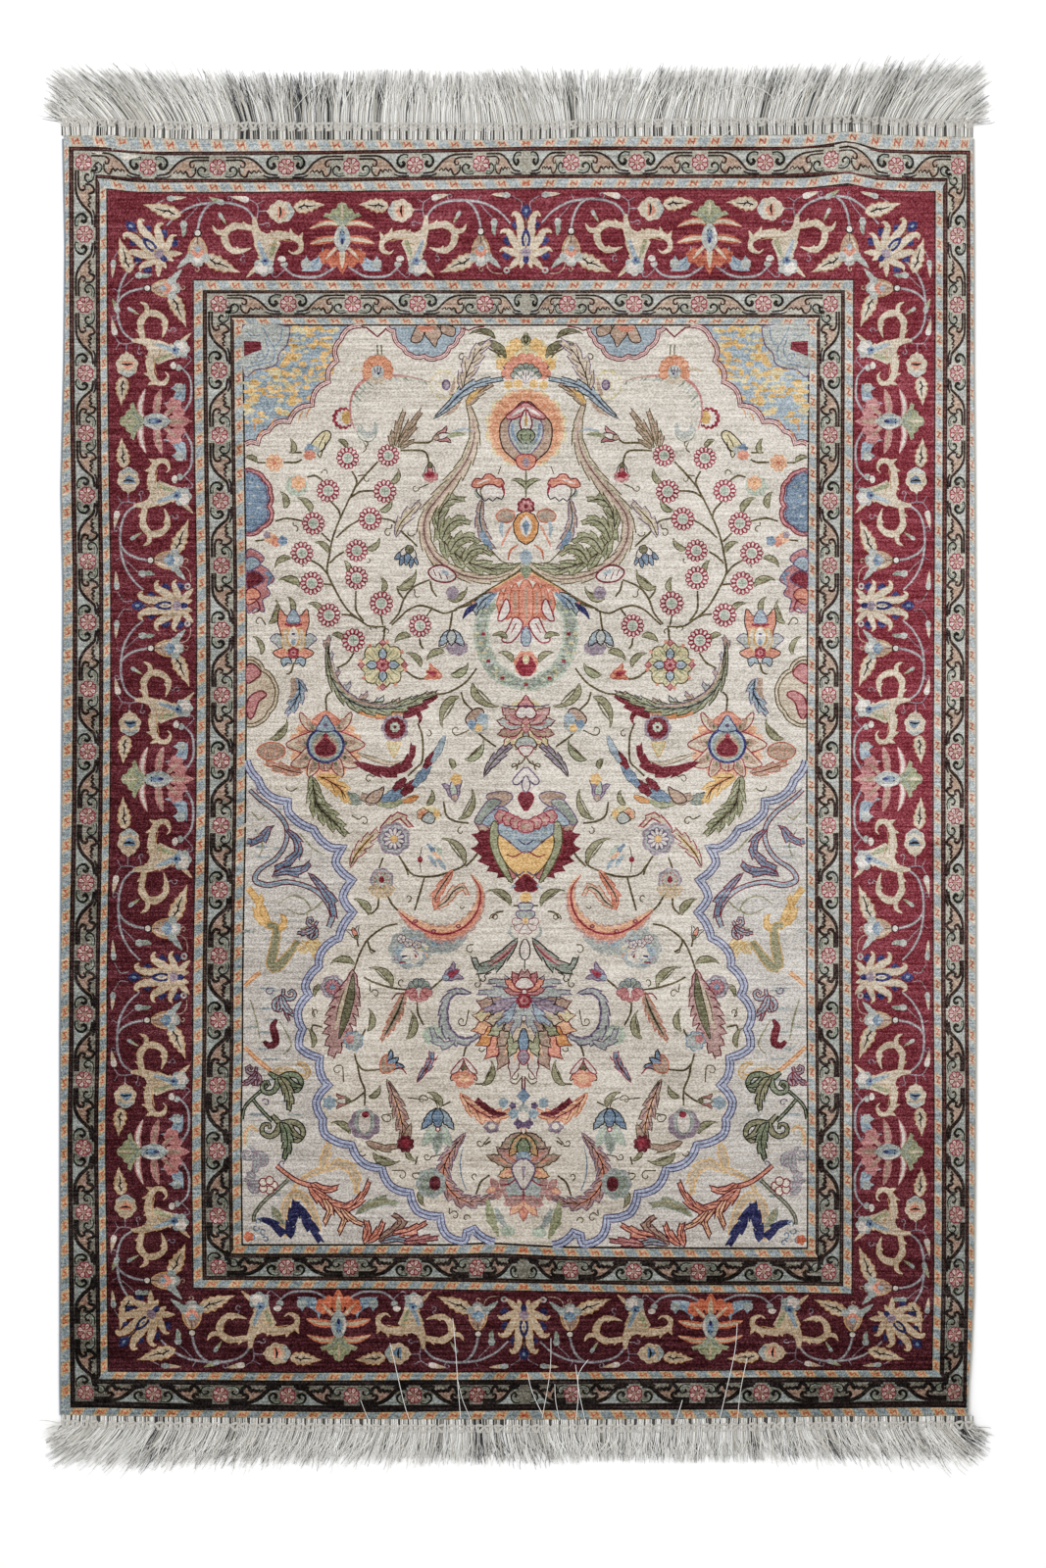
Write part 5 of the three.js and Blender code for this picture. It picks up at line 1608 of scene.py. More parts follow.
def featherLeaf():
    # the tall serrated leaf in the lower left, rose with a green stripe
    plume([(361, 990), (358, 1008), (352, 1030), (346, 1052), (340, 1077)], (2, 24, 30, 26, 2), "blush",
          "crimson", 11, 0.26, None, 1.0)
    stroke("cream", [(357, 1003), (350, 1026), (343, 1050)], (2, 7, 2))
    stroke("darkLine", [(361, 993), (359, 1014), (354, 1036), (347, 1060)], (2, 9.4, 9.4, 2))
    stroke("olive", [(361, 994), (359, 1014), (354, 1036), (347, 1059)], (0.8, 7.8, 7.8, 0.8))
    stroke("stalk", [(352, 1010), (346, 1028), (344, 1042)], (0.8, 1.3, 0.8))
    outlined(paint, "mist", lobed(362, 1062, 9.6, 7, 0.24), "blue", 0.9, False)
    paint("rose", lobed(358, 1060, 5.0, 5, 0.24))
    stroke("red", [(352, 1054), (357, 1050)], (1.2, 0.8))
    # the blue-crowned flower and its long leaf
    fan(penAt(428.6, 1011), 12.6, 6, 200, "navy", "greyGreen")
    fan(penAt(428.6, 1007, -1), 15, 5, 150, "red", "rose")
    stroke("white", [(428.6, 1008), (428.6, 1018)], (3.4, 1))
    plume([(414, 1013), (408, 1030), (400, 1046), (391, 1061)], (4, 11, 9, 1), "tan", "rust", 7, 0.34,
          shade="olive")
    twig([(414, 1014), (406, 1014), (401, 1020)], 1.6, "crimson")
    # the purple bracket
    ghost(444, 1056, 12, "mint", 0.9)
    plume([(482, 1014), (468, 1011), (458, 1018), (454, 1034), (457, 1050), (467, 1061), (480, 1062),
           (490, 1056)], (1.4, 5, 7, 8, 9, 9, 6, 1), "mist", "purple", 11, 0.36, None, 1.1)
    stroke("purple", [(478, 1015), (463, 1016), (458, 1032), (461, 1048), (472, 1059), (484, 1059)],
           (0.8, 1.7, 1.7, 0.8))
    plume([(467, 1062), (456, 1066), (446, 1060), (442, 1050)], (2, 8, 8, 1), "mist", "purple", 4, 0.34, None)


def greatLotus():
    # the many-petalled lotus on the fold in the lower field
    x = fold
    plume([(x - 7, 958), (x - 19, 972), (x - 33, 985), (x - 47, 988), (x - 52, 978)], (3, 11, 13, 8, 2),
          "greyGreen", "darkLine", 5, 0.3, None, 1.0)
    stroke("red", [(x - 9, 962), (x - 20, 975), (x - 36, 986)], (1, 2.4, 1))
    stroke("rose", [(x - 13, 963), (x - 24, 975), (x - 38, 983)], (0.8, 2.2, 0.8))
    curl(x - 43, 999, 4, -60, 0.8, [(x - 34, 992)], "darkLine")
    petalRing(paint, x, 1036, ((196, 49, 20, "tan"), (179, 51, 21, "sand"), (163, 54, 20, "peach"),
                               (147, 56, 20, "orange"), (131, 58, 20, "coral"), (115, 60, 19, "tan"),
                               (101, 64, 16, "white")), "crimson", shade="peach")
    petalRing(paint, x, 1034, ((208, 38, 16, "tan"), (188, 38, 16, "green"), (168, 39, 16, "cream"),
                               (148, 41, 16, "leafGreen"), (128, 43, 16, "tan"), (108, 46, 15, "leafGreen")),
              "darkLine", shade="sage")
    petalRing(paint, x, 1034, ((138, 26, 12, "tan"), (108, 30, 12, "cream")), "darkLine")
    for y, reach, lift, fill in ((1004, 36, -2, "mist"), (1013, 46, 0, "mist"), (1021, 40, 10, "lilac"),
                                 (1027, 26, 18, "paleBlue"), (1029, 12, 24, "mist")):
        plume([(x - 4, 1021), (x - reach * 0.5, y + lift * 0.4), (x - reach, y + lift)], (7, 11, 1), fill,
              "purple", 4, 0.34, None)
    outlined(paint, "blue", [(x, 1050), (x - 4.6, 1060), (x - 3.6, 1070), (x, 1078)], "darkLine", 0.9)
    outlined(paint, "lilac", [(x, 1072), (x - 5.6, 1078), (x, 1086)], "red", 0.9)
    petalRing(paint, x, 1012,
              ((186, 20, 9, "rose"), (212, 23, 10, "coral"), (238, 23, 10, "rose"), (262, 22, 9, "blush")),
              "crimson", 3)
    outlined(paint, "white", [(x, 998), (x - 6, 1000), (x - 9, 1006), (x, 1008)], "red", 1.0)
    paint("red", lobed(x, 1021, 8.6, 6, 0.18, 30))
    paint("rose", oval(x, 1021, 4.6))
    paint("red", oval(x, 1021, 2.0, count=7))
    twig([(x - 1.4, 1098), (x - 1.4, 1113)], 1.8, "crimson")
    outlined(paint, "blue", [(x, 1110), (x - 6, 1118), (x, 1126)], "purple", 0.9, False)
    twig([(x - 1, 1098), (x - 8, 1106), (x - 14, 1103)], 1.5)


def lowerFlowers():
    blueBloom(475.6, 1090, 0, 1.0, "coral", "white")
    paint("coral", lobed(475.6, 1101, 11.6, 7, 0.2, high=0.84))
    paint("peach", lobed(475.6, 1100, 7.0, 6, 0.3, high=0.8))
    for side in (-1, 1):
        outlined(paint, "white", [(475.6, 1080), (475.6 + side * 7, 1086), (475.6 + side * 13, 1095),
                                  (475.6 + side * 6, 1092)], "red", 0.9)
    tulip(393, 1091, -38, 1.3, "blue", "blue", "darkLine", "honey")
    outlined(paint, "tan", [(390, 1084), (396, 1076), (396, 1086), (404, 1086), (402, 1092), (392, 1094)],
             "rust", 0.9)
    stroke("red", [(407, 1087), (413, 1091), (417, 1096)], (1.2, 1.8, 1))
    plume([(427, 1104), (434, 1094), (441, 1084), (442, 1074)], (1, 6, 8, 2), "blue", "red", 4, 0.34,
          shade="rose")
    for x, y in ((440, 1084), (446, 1082), (436, 1094)):
        stroke("red", [(x, y), (x + 3, y - 5)], (1.8, 0.8))
    paint("paleBlue", lobed(338, 1125, 7.6, 6, 0.24))
    tulip(358, 1123, 178, 0.9, "rose", "white", "stalk", "olive")
    # the grey rosette bud
    ghost(374, 1147, 17, "lilac", 0.95)
    ghost(374, 1144, 11, "mist", 1.3)
    outlined(paint, "white", [(374, 1133), (380, 1140), (379, 1152), (374, 1156), (369, 1152), (368, 1140)],
             "greyGreen", 0.9)
    paint("red", oval(375, 1137, 4, 3.4))
    # the two toothed leaves and the crimson rosette between
    plume([(397, 1101), (403, 1116), (409, 1132), (413, 1150), (414, 1166)], (1, 11, 14, 12, 5), "blush",
          "stalk", 6, 0.42, shade="peach")
    plume([(422, 1146), (419, 1154), (414, 1164)], (1, 8, 4), "tan", "stalk", 3, 0.3, None)
    plume([(376, 1164), (388, 1170), (402, 1171), (412, 1166)], (5, 7, 6, 2), "tan", "stalk", 4, 0.34, None)
    paint("crimson", lobed(416, 1167, 9.4, 8, 0.2))
    paint("red", lobed(416, 1166, 5.2, 6, 0.3))
    plume([(477.6, 1156), (466, 1170), (457, 1186), (455, 1202), (464, 1217), (478, 1226), (495, 1225),
           (511, 1219)], (1, 11, 14, 15, 15, 13, 8, 1), "blush", "purple", 12, 0.4, shade="coral")
    stroke("blue", [(475, 1170), (472, 1184), (473, 1200), (478, 1214)], (1, 1.6, 1.6, 1), 5, 0.4)
    ghost(442, 1207, 16, "mist", 1.0)
    paint("greyGreen", lobed(441, 1207, 12, 6, 0.24))
    paint("crimson", oval(446, 1207, 6.0, 7.4))
    petalRing(paint, 449, 1146, ((60, 27, 10, "mint"), (92, 31, 11, "greyGreen"), (124, 27, 10, "mint")),
              "mist", 2)
    petalRing(paint, 449, 1131, ((128, 26, 9, "blue"), (52, 26, 9, "paleBlue"), (90, 20, 11, "blue")),
              "darkLine", 1)
    paint("red", oval(449, 1152, 3.0, 3.0))
    paint("ivory", oval(449, 1152, 1.6, 1.6))
    twig([(449, 1132), (447, 1124), (440, 1120)], 1.6)
    # the crimson bird-like leaves above the lowest palmette
    plume([(472, 1115), (480, 1126), (494, 1136), (508, 1140), (522, 1134)], (1, 13, 17, 14, 2), "peach",
          "rust", 6, 0.38, "crimson", shade="coral")
    stroke("crimson", [(488, 1122), (497, 1129), (508, 1136), (519, 1136)], (7, 8, 7, 2), 4, 0.3)
    paint("paleBlue", lobed(516, 1125, 5.4, 6, 0.2))
    paint("lilac", lobed(504, 1150, 8.6, 5, 0.24, high=0.8))
    paint("ivory", oval(504, 1149, 3.8, 3.2))
    stroke("leafGreen", [(500, 1224), (503, 1242), (511, 1262)], (4, 13, 2), 4, 0.3)
    stroke("mist", [(508, 1232), (514, 1246), (520, 1252)], (3, 8, 2))


def lowestPalmette():
    x = fold
    for dx, y, r, yarn in ((-10, 1136, 6, "paleBlue"), (0, 1131, 5, "mist"), (-4, 1146, 6.4, "purple"),
                           (-11, 1128, 4, "purple")):
        paint(yarn, lobed(x + dx, y, r, 5, 0.3))
    paint("ivory", lobed(x, 1139, 6, 6, 0.2))
    twig([(x - 2, 1150), (x - 3, 1160)], 1.6, "rust")
    ghost(x, 1206, 25, "blush", 1.1, 9)
    ghost(x, 1212, 18, "mist", 1.1, 9)
    petalRing(paint, x, 1190, ((158, 27, 11, "peach"), (196, 38, 11, "tan"), (215, 33, 11, "blush")), "stalk",
              5, "coral")
    petalRing(paint, x, 1157, ((148, 27, 12, "tan"), (122, 26, 10, "ochre")), "darkLine", 1, "green")
    outlined(paint, "green", [(x, 1162), (x - 5, 1167), (x - 6, 1175), (x, 1174)], "darkLine", 0.9)
    outlined(paint, "paleBlue", [(x, 1176), (x - 6, 1180), (x - 4, 1190), (x, 1194)], "blue", 0.9)
    outlined(paint, "white", [(x, 1184), (x - 9, 1188), (x - 11, 1194), (x - 7, 1203), (x, 1212)], "purple",
             1.3)
    stroke("lilac", [(x, 1190), (x, 1204)], (4, 1))
    stroke("red", [(x - 8, 1203), (x - 15, 1208), (x - 24, 1209)], (1.4, 1.8, 1))
    stroke("red", [(x, 1212), (x, 1226)], (1.8, 1.6))
    stroke("red", [(x, 1218), (x - 6, 1224)], (1.4, 0.8))
    petalRing(paint, x, 1222, ((90, 22, 9, "coral"), (128, 21, 9, "peach"), (162, 20, 9, "blush")), "rose", 2)
    petalRing(paint, x - 26, 1212, ((160, 12, 6, "peach"), (230, 11, 6, "blush"), (90, 11, 6, "blush")),
              "rose", 1)
    ghost(x - 16, 1256, 8, "mint", 0.7)


def scroll(points, widths, fill, rim):
    stroke(rim, points, [w + 2.6 for w in widths], step=3.2)
    stroke(fill, points, widths, step=3.2)


# An arabesque leaf in its own frame: two curls, a spur and a long lobe, from its stalk at 0, 0
arabesqueParts = [
    ([(-12, 0), (0, 0), (7, -9), (16, -13), (24, -9), (25, 0), (19, 3), (16, -2)],
     (2, 4, 5, 4.6, 4, 3.4, 2.6, 1.4)),
    ([(0, 0), (4, 9), (2, 17), (-6, 20), (-11, 14), (-7, 9), (-3, 12)], (4, 5, 4, 3.6, 3, 2.4, 1.2)),
    ([(8, -5), (17, -3), (27, -6)], (5, 4.6, 0.8))]


def arabesque(x, y, turn, size, fill, rim, flip, lobe):
    c, t = math.cos(math.radians(turn)), math.sin(math.radians(turn))

    def placed(points):
        return [(x + size * (a * c - b * flip * t), y + size * (a * t + b * flip * c)) for a, b in points]
    for points, widths in arabesqueParts:
        scroll(placed(points), [w * size for w in widths], fill, rim)
    plume(placed([(0, -2), (11, 2), (21, 10), (29, 22)]), [w * size for w in (6, 11, 9, 1)], lobe or fill,
          rim, 5, 0.3, rim, 1.0)


# Motifs of the lower corners
arabesques = [  # column, row, turn, size, fill, outline, side and the long lobe's own yarn
    (285, 1100, 32, 0.95, "green", "black", 1, "sage"), (288, 1146, 46, 1.0, "sage", "black", 1, "green"),
    (289, 1016, 98, 0.62, "paleBlue", "crimson", -1, None), (262, 1176, 60, 0.6, "mist", "lilac", 1, None),
    (262, 1094, 100, 0.5, "lilac", "crimson", 1, None), (256, 1206, 30, 0.5, "mist", "lilac", -1, None),
    (313, 963, 20, 0.5, "sand", "gold", 1, None), (321, 945, 120, 0.5, "paleBlue", "crimson", 1, None)]
cornerScrolls = [  # points, widths, fill and outline
    ([(252, 806), (264, 817), (280, 829), (290, 843), (290, 860), (280, 876), (264, 887), (259, 898),
      (272, 903), (292, 900), (314, 905), (330, 916), (339, 932), (335, 946)],
     (2, 3, 3, 3, 3, 3, 3, 4, 4, 3, 3, 4, 5, 3), "paleBlue", "crimson"),
    ([(250, 858), (258, 859), (266, 855)], (4, 4, 3), "blue", "crimson"),
    ([(252, 906), (260, 916), (268, 930), (274, 946)], (4, 5, 6, 5), "honey", "gold"),
    ([(272, 944), (281, 946), (281, 960), (277, 984), (284, 986), (296, 972), (304, 960)],
     (5, 7, 8, 9, 8, 6, 4), "sage", "gold"),
    ([(266, 992), (258, 998), (250, 1006)], (2, 2, 1), "peach", "orange"),
    ([(291, 1020), (292, 1032), (296, 1042)], (2, 2.6, 1), "lilac", "crimson"),
    ([(270, 1062), (275, 1067), (282, 1064), (281, 1055), (279, 1047), (283, 1040)], (1, 5, 5, 6, 4, 0.5),
     "crimson", "crimson"),
    ([(250, 1068), (262, 1080), (278, 1093)], (1.4, 1.8, 1.8), "peach", "orange"),
    ([(280, 1100), (284, 1093), (296, 1092), (308, 1099), (316, 1095), (312, 1087), (304, 1084)],
     (3, 4, 4, 4, 3.6, 3, 1.6), "cream", "gold"),
    ([(276, 1106), (262, 1118), (252, 1129), (249, 1142)], (1.2, 1.4, 1.4, 1), "green", "black"),
    ([(260, 1122), (270, 1134), (280, 1144)], (1.4, 1.6, 1.6), "green", "black"),
    ([(252, 1168), (252, 1157), (258, 1149), (265, 1154)], (1.2, 2.4, 2, 1), "peach", "sand"),
    ([(306, 1222), (302, 1212), (310, 1203), (322, 1196), (336, 1192)], (2, 2, 2.4, 4, 4), "cream", "honey"),
    ([(284, 1189), (296, 1199), (308, 1206), (322, 1210)], (2.4, 2.6, 2.8, 4), "coral", "crimson"),
    ([(296, 1203), (284, 1214), (270, 1226), (261, 1238), (260, 1246)], (1.4, 1.6, 1.6, 1.6, 1.2),
     "greyGreen", "stalk"),
    ([(292, 1262), (291, 1240), (295, 1225), (304, 1218), (314, 1223), (322, 1239), (328, 1256)],
     (1, 5, 6, 6, 6, 5, 1), "cream", "honey")]
cornerLeaves = [  # points, widths, fill, outline and lobes
    ([(278, 843), (271, 847), (266, 855), (256, 860)], (1, 8, 7, 2), "blue", "crimson", 3),
    ([(290, 846), (300, 856), (303, 868), (292, 880), (280, 886)], (2, 8, 8, 7, 2), "blue", "crimson", 5),
    ([(276, 893), (290, 889), (305, 889), (314, 881)], (2, 8, 9, 1), "blue", "crimson", 4),
    ([(314, 890), (326, 904), (337, 918), (341, 934)], (2, 7, 9, 2), "blue", "crimson", 4),
    ([(270, 946), (262, 932), (266, 916)], (6, 6, 1), "honey", "gold", 3),
    ([(284, 948), (290, 942), (288, 934)], (6, 5, 1), "honey", "gold", 2),
    ([(330, 1193), (334, 1180), (338, 1164)], (6, 8, 1), "cream", "honey", 4),
    ([(334, 1194), (350, 1187), (364, 1198), (366, 1216)], (4, 9, 9, 1), "cream", "honey", 5),
    ([(320, 1206), (332, 1214), (345, 1211)], (8, 8, 1), "coral", "crimson", 3),
    ([(318, 1210), (334, 1226), (354, 1233), (370, 1222), (378, 1206)], (8, 13, 11, 7, 1), "coral", "crimson",
     6),
    ([(332, 1222), (338, 1234), (333, 1247)], (6, 7, 1), "peach", "crimson", 3),
    ([(343, 1230), (353, 1242), (348, 1256)], (5, 7, 1), "peach", "crimson", 3),
    ([(350, 1232), (360, 1243), (371, 1248)], (4, 6, 1), "peach", "crimson", 3),
    ([(372, 1267), (377, 1256), (375, 1246)], (6, 9, 1), "coral", "crimson", 3),
    ([(377, 1266), (387, 1258), (392, 1247)], (5, 8, 1), "coral", "crimson", 3),
    ([(388, 1264), (401, 1257), (412, 1246), (403, 1239)], (7, 9, 8, 1), "tan", "crimson", 5),
    ([(402, 1258), (419, 1256), (436, 1247)], (5, 9, 1), "coral", "crimson", 4),
    ([(390, 1266), (405, 1263), (421, 1266)], (4, 7, 2), "paleBlue", "crimson", 3),
    ([(414, 1266), (430, 1264), (448, 1262)], (5, 8, 1), "rose", "crimson", 4),
    ([(364, 1238), (376, 1231), (390, 1225), (406, 1227)], (1, 8, 8, 1), "sage", "greyGreen", 4),
    ([(280, 1230), (284, 1240), (289, 1247)], (4, 7, 1), "sage", "greyGreen", 3),
    ([(264, 1242), (278, 1247), (290, 1258)], (1, 7, 6), "navy", "navy", 3),
    ([(296, 1262), (299, 1244), (303, 1226)], (7, 9, 4), "navy", "navy", 4),
    ([(303, 1226), (313, 1242), (328, 1265)], (6, 10, 2), "navy", "navy", 4)]
fadedSprays = [  # the points of a spray
    [(283, 923), (296, 914), (310, 918), (316, 928), (306, 933), (292, 927)],
    [(316, 930), (324, 924), (330, 917)], [(258, 846), (266, 862), (262, 876)],
    [(304, 850), (318, 866), (330, 872)], [(256, 1020), (262, 1040), (266, 1060)],
    [(312, 930), (314, 944), (306, 948)], [(286, 1042), (292, 1052), (298, 1066), (290, 1076)],
    [(254, 828), (262, 836), (268, 832)]]
lowerCusps = [  # where the arcs of the lower corners' line meet
    (249, 776), (261, 795.6), (272.6, 812), (292, 817), (292.4, 829), (318, 846), (337, 865), (349.6, 864),
    (341, 880), (359.6, 898), (349, 915), (360.6, 931), (346, 957), (327.6, 972), (326, 986), (312, 1005),
    (316, 1015), (304.6, 1032), (309.6, 1050), (306, 1068), (328, 1079), (329.4, 1098), (337.6, 1107),
    (324.4, 1124), (331.6, 1142), (333.4, 1157), (361, 1168), (372.6, 1186.6), (392, 1191), (401, 1210),
    (421, 1216), (428, 1235), (452, 1240), (456, 1257), (470, 1265.6), (476, 1266), (478, 1257), (486, 1254),
    (492, 1261), (507, 1268)]


def lowerSpandrel():
    # the ground outside the lower scallops, with blue, gold, black and coral arabesques
    line = scallops(lowerCusps, 0.09, 4.4)
    paint("pearl", line + [(249, 1268.4)])
    draw = random.Random(3)
    for _ in range(110):
        x = draw.uniform(250, 306)
        y = draw.uniform(820, 1262) if x < 284 else draw.uniform(1080, 1262)
        paint(draw.choice(("haze", "mist", "pearlWarm", "pearlWarm")),
              oval(x, y, draw.uniform(3, 10), draw.uniform(0.8, 2), count=6))
    for points in fadedSprays:
        stroke("sage", points, (1.2, 2.4, 1.2), 7, 0.3)
    for points, widths, fill, rim in cornerScrolls:
        scroll(points, widths, fill, rim)
    for points, widths, fill, rim, lobes in cornerLeaves:
        plume(points, widths, fill, rim, lobes, 0.34, rim if rim == "crimson" else None, 1.0)
    for x, y, turn, size, fill, rim, flip, lobe in arabesques:
        arabesque(x, y, turn, size, fill, rim, flip, lobe)
    for x, y, radius, turn in ((275, 1010, 5, 0), (273, 1125, 4.6, 200), (290, 1187, 4, 100),
                               (262, 1252, 4, 0), (270, 1256, 4, 70), (266, 1245, 4, 140),
                               (272, 1264, 3.6, 210), (258, 1262, 3.6, 280), (262, 806, 4, 30)):
        curl(x, y, radius, turn, 0.9, yarn="blue" if y > 1240 else "purple", width=1.4)
    for k in range(5):
        spot = math.tau * k / 5
        outlined(paint, "ivory", lobed(275 + 6 * math.cos(spot), 1209 + 5 * math.sin(spot), 3.6, 5, 0.1),
                 "red", 0.9, False)
    paint("rust", lobed(254.6, 1261, 5.6, 5, 0.24))
    doubleLine(line, "inkViolet", "arcBlue", 9.0, 6.4, "inkViolet")


def paintField():
    spandrels()
    lowerSpandrel()
    pendant()
    edgeMedallions()
    featherCrescent()
    orangeFan()
    middleTop()
    orangePalmette()
    crownBud()
    middleGold()
    horseshoe()
    lyre()
    coralWing()
    for points in fieldTwigs:
        twig(points)
    for x, y, radius, start, turns, tail in fieldCurls:
        curl(x, y, radius, start, turns, tail)
    for base, tip, width, yarn in fieldLeaves:
        leaf(base, tip, width, yarn)
    for x, y, size in ringFlowers:
        ringFlower(x, y, size)
    pomegranate()
    quatrefoil()
    lotusPalmette()
    greatCrescent()
    goldenLeaf()
    haloRosettes()
    middleSmallPalmette()
    vasePalmette()
    coralCrescent()
    sideFlowers()
    featherLeaf()
    greatLotus()
    lowerFlowers()
    lowestPalmette()


# The zones of the chart, from the edge inwards

def paintOuterGuard():
    band("mist", "outerStripe", "outerLines")
    stripeRun("outerStripe", "outerLines")
    lines("outerLines", "outerGuard", middle="maroon")
    band("guardGround", "outerGuard", "guardLines")
    paintGuards()
    lines("guardLines", "wideStripe", middle="maroon")
    band("mist", "wideStripe", "mainLine")
    stripeRun("wideStripe", "mainLine")


def paintMainZone():
    band("darkLine", "mainLine", "mainBorder")
    band("crimson", "mainBorder", "mainInnerLine")
    paintMainBorder()
    band("darkLine", "mainInnerLine", "innerWideStripe")


def paintInnerZone():
    band("mist", "innerWideStripe", "innerOuterLines")
    stripeRun("innerWideStripe", "innerOuterLines")
    lines("innerOuterLines", "innerGuard")
    band("guardGround", "innerGuard", "innerGuardLines")
    paintInnerGuard()
    lines("innerGuardLines", "fieldStripe")
    band("mist", "fieldStripe", "fieldLine")
    stripeRun("fieldStripe", "fieldLine")


def paintFieldZone():
    for yarn, name in (("darkLine", "fieldLine"), ("ivory", "field")):
        zone["shapes"].append((yarn, boxOutline(name)))
    paintField()


def paintBack():
    # the knots' backs show on the underside as plain bands
    for yarn, name in (("mist", "outerStripe"), ("ivory", "outerGuard"), ("mist", "wideStripe"),
                       ("crimson", "mainBorder"), ("mist", "innerWideStripe"), ("ivory", "innerGuard"),
                       ("mist", "fieldStripe"), ("ivory", "field")):
        zone["shapes"].append((yarn, boxOutline(name)))


# The woven cloth: the chart is bent to the rug as it lies, and each zone becomes a layer of pile

cloth = {
    "groundHigh": 0.0010,   # warps and wefts under the pile
    "pileHigh": 0.0024,     # top of the pile off the floor
    "pileGap": 0.00004,
    "gridKnots": 11.0,      # spacing of the extra points that carry the ripples
    "backKnots": 24.0,      # the same on the back
    "cordInset": 0.00235,   # side cord and the seam beside it
    "tileKnots": 56.0,      # the chart is filled in tiles of about this size
    "thin": 0.2,            # how far an outline may move when points are dropped, in knots
    "longest": 11.0,        # the longest stretch that this leaves without a point
    "inline": 0.03,         # how far off a straight run a point may lie and still be dropped
    "lattice": 256,         # parts of a knot, the places that points of neighbouring tiles share
    "smallest": 0.01,       # area in square knots under which a clipped patch is left out
    "merge": 0.0001,        # points nearer than this are one
    "sharp": 50,            # degrees between faces from which an edge is sharp
    "dyeSwing": 0.05,       # how far one patch's dye may differ from its yarn's
    "backTone": 0.9,        # the back and the rim against ivory pile
}

# Outer edges as the rug lies, in millimetres from its middle: the sides with their cords, and the two ends
sideEdges = [  # y, left, right
    (-700, -490.3, 484.2), (-666, -490.9, 484.8), (-629, -490.9, 487.7), (-566, -490.9, 490.9),
    (-440, -490.9, 492.0), (-282, -490.9, 493.0), (-125, -489.8, 493.0), (32, -488.8, 493.0),
    (190, -487.7, 492.4), (295, -489.8, 491.9), (431, -486.7, 490.9), (557, -485.6, 490.9),
    (672, -487.7, 489.8)]
endEdges = [  # x, bottom, top
    (-488, -695.0, 674.5), (-436, -696.5, 674.0), (-370, -697.5, 671.0), (-291, -698.3, 670.0),
    (-165, -699.8, 669.8), (0, -700.4, 669.5), (76, -700.2, 672.6), (171, -699.6, 674.0),
    (286, -697.8, 675.0), (355, -696.8, 677.0), (420, -697.0, 674.0), (490, -696.0, 672.5)]

# Ripples that run inwards from the edge, in millimetres: start, end, height and half width
ripples = [
    (-434, 674, -438, 552, 4.0, 13), (-288, 670, -284, 590, 1.8, 44), (92, 672, 96, 600, 1.6, 52),
    (357, 677, 348, 560, 7.5, 34), (489, -698, 494, -560, 2.6, 24)]

# How the woven bands wander from the chart, in knots
leftWander = [  # row, shift to the right of the bands on the left side
    (142, -0.6), (350, 0), (480, 1.5), (590, 3.3), (710, 3.3), (830, 2.5), (950, 0.3), (1010, -0.5),
    (1070, -0.5), (1130, -1.8), (1190, -1.8), (1310, -0.3), (1430, 1.0)]
rightWander = [(142, 0), (350, 0), (590, -1.0), (770, -2.0), (1010, -2.0), (1130, -1.0), (1300, -1.5),
               (1430, -4.0)]
rightEdge = 824.5       # the field's right side in the chart, from which the borders are woven narrower
rightSqueeze = [  # charted column, shift
    (fold, 0), (rightEdge, 0), (838, -1.5), (862, -4.0), (875, -5.0), (963, -9.5), (976, -8.5), (997, -11.5),
    (1002, -12.5), (1013, -13.5)]
foldWander = [(142, 0), (900, 0), (1065, -2.5), (1290, -2.5), (1446, -1.5)]
topWander = [  # column, shift downwards of the top bands
    (60, -3.0), (100, -3.0), (140, 2.0), (260, 2.0), (340, 1.0), (460, -1.0), (540, -3.0), (820, -3.0),
    (869, -8.0), (900, -1.0), (940, 1.0), (1010, 1.0)]
topFade = (153, 150)    # the top bands' shift fades from this row on, over so many rows
bottomFrom = 1180       # row from which the bottom bands' shift grows
bottomWander = {  # charted row: (column, shift downwards) along it
    1268.4: [(60, 0), (260, 0.6), (460, 0.6), (500, -1.4), (580, 3.0), (740, 4.2), (900, 3.6)],
    1304.0: [(60, -1), (180, -0.7), (420, 0.5), (660, 5.0), (820, 5.0), (940, 8.0)],
    1409.0: [(60, -0.7), (300, 1.0), (540, 0), (780, -2.5), (900, -2.5), (1010, -2.5)],
    1434.0: [(60, -2.5), (100, -2.5), (220, 0.6), (360, 2.3), (540, 0.3), (820, -1.0), (940, -2.7),
             (1010, -2.7)],
}

paintedShadeAcross = (150, 770)  # column at which the left side's painted shade ends, and columns from there to the right's
paintedShadeRows = [  # row, how deep the painted shade of the pile's nap is at the left side and at the right side
    (142, 0.42, 0.24), (240, 0.52, 0.25), (450, 0.60, 0.20), (775, 0.80, 0.15), (960, 0.86, 0.30),
    (1175, 0.92, 0.60), (1290, 0.97, 0.85), (1360, 1.0, 0.95)]


def readTable(table, at, column=1):
    if at <= table[0][0]:
        return table[0][column]
    for low, high in zip(table, table[1:]):
        if at <= high[0]:
            share = (at - low[0]) / (high[0] - low[0])
            return low[column] + (high[column] - low[column]) * share
    return table[-1][column]


def ease(share):
    share = min(1.0, max(0.0, share))
    return share * share * (3 - 2 * share)


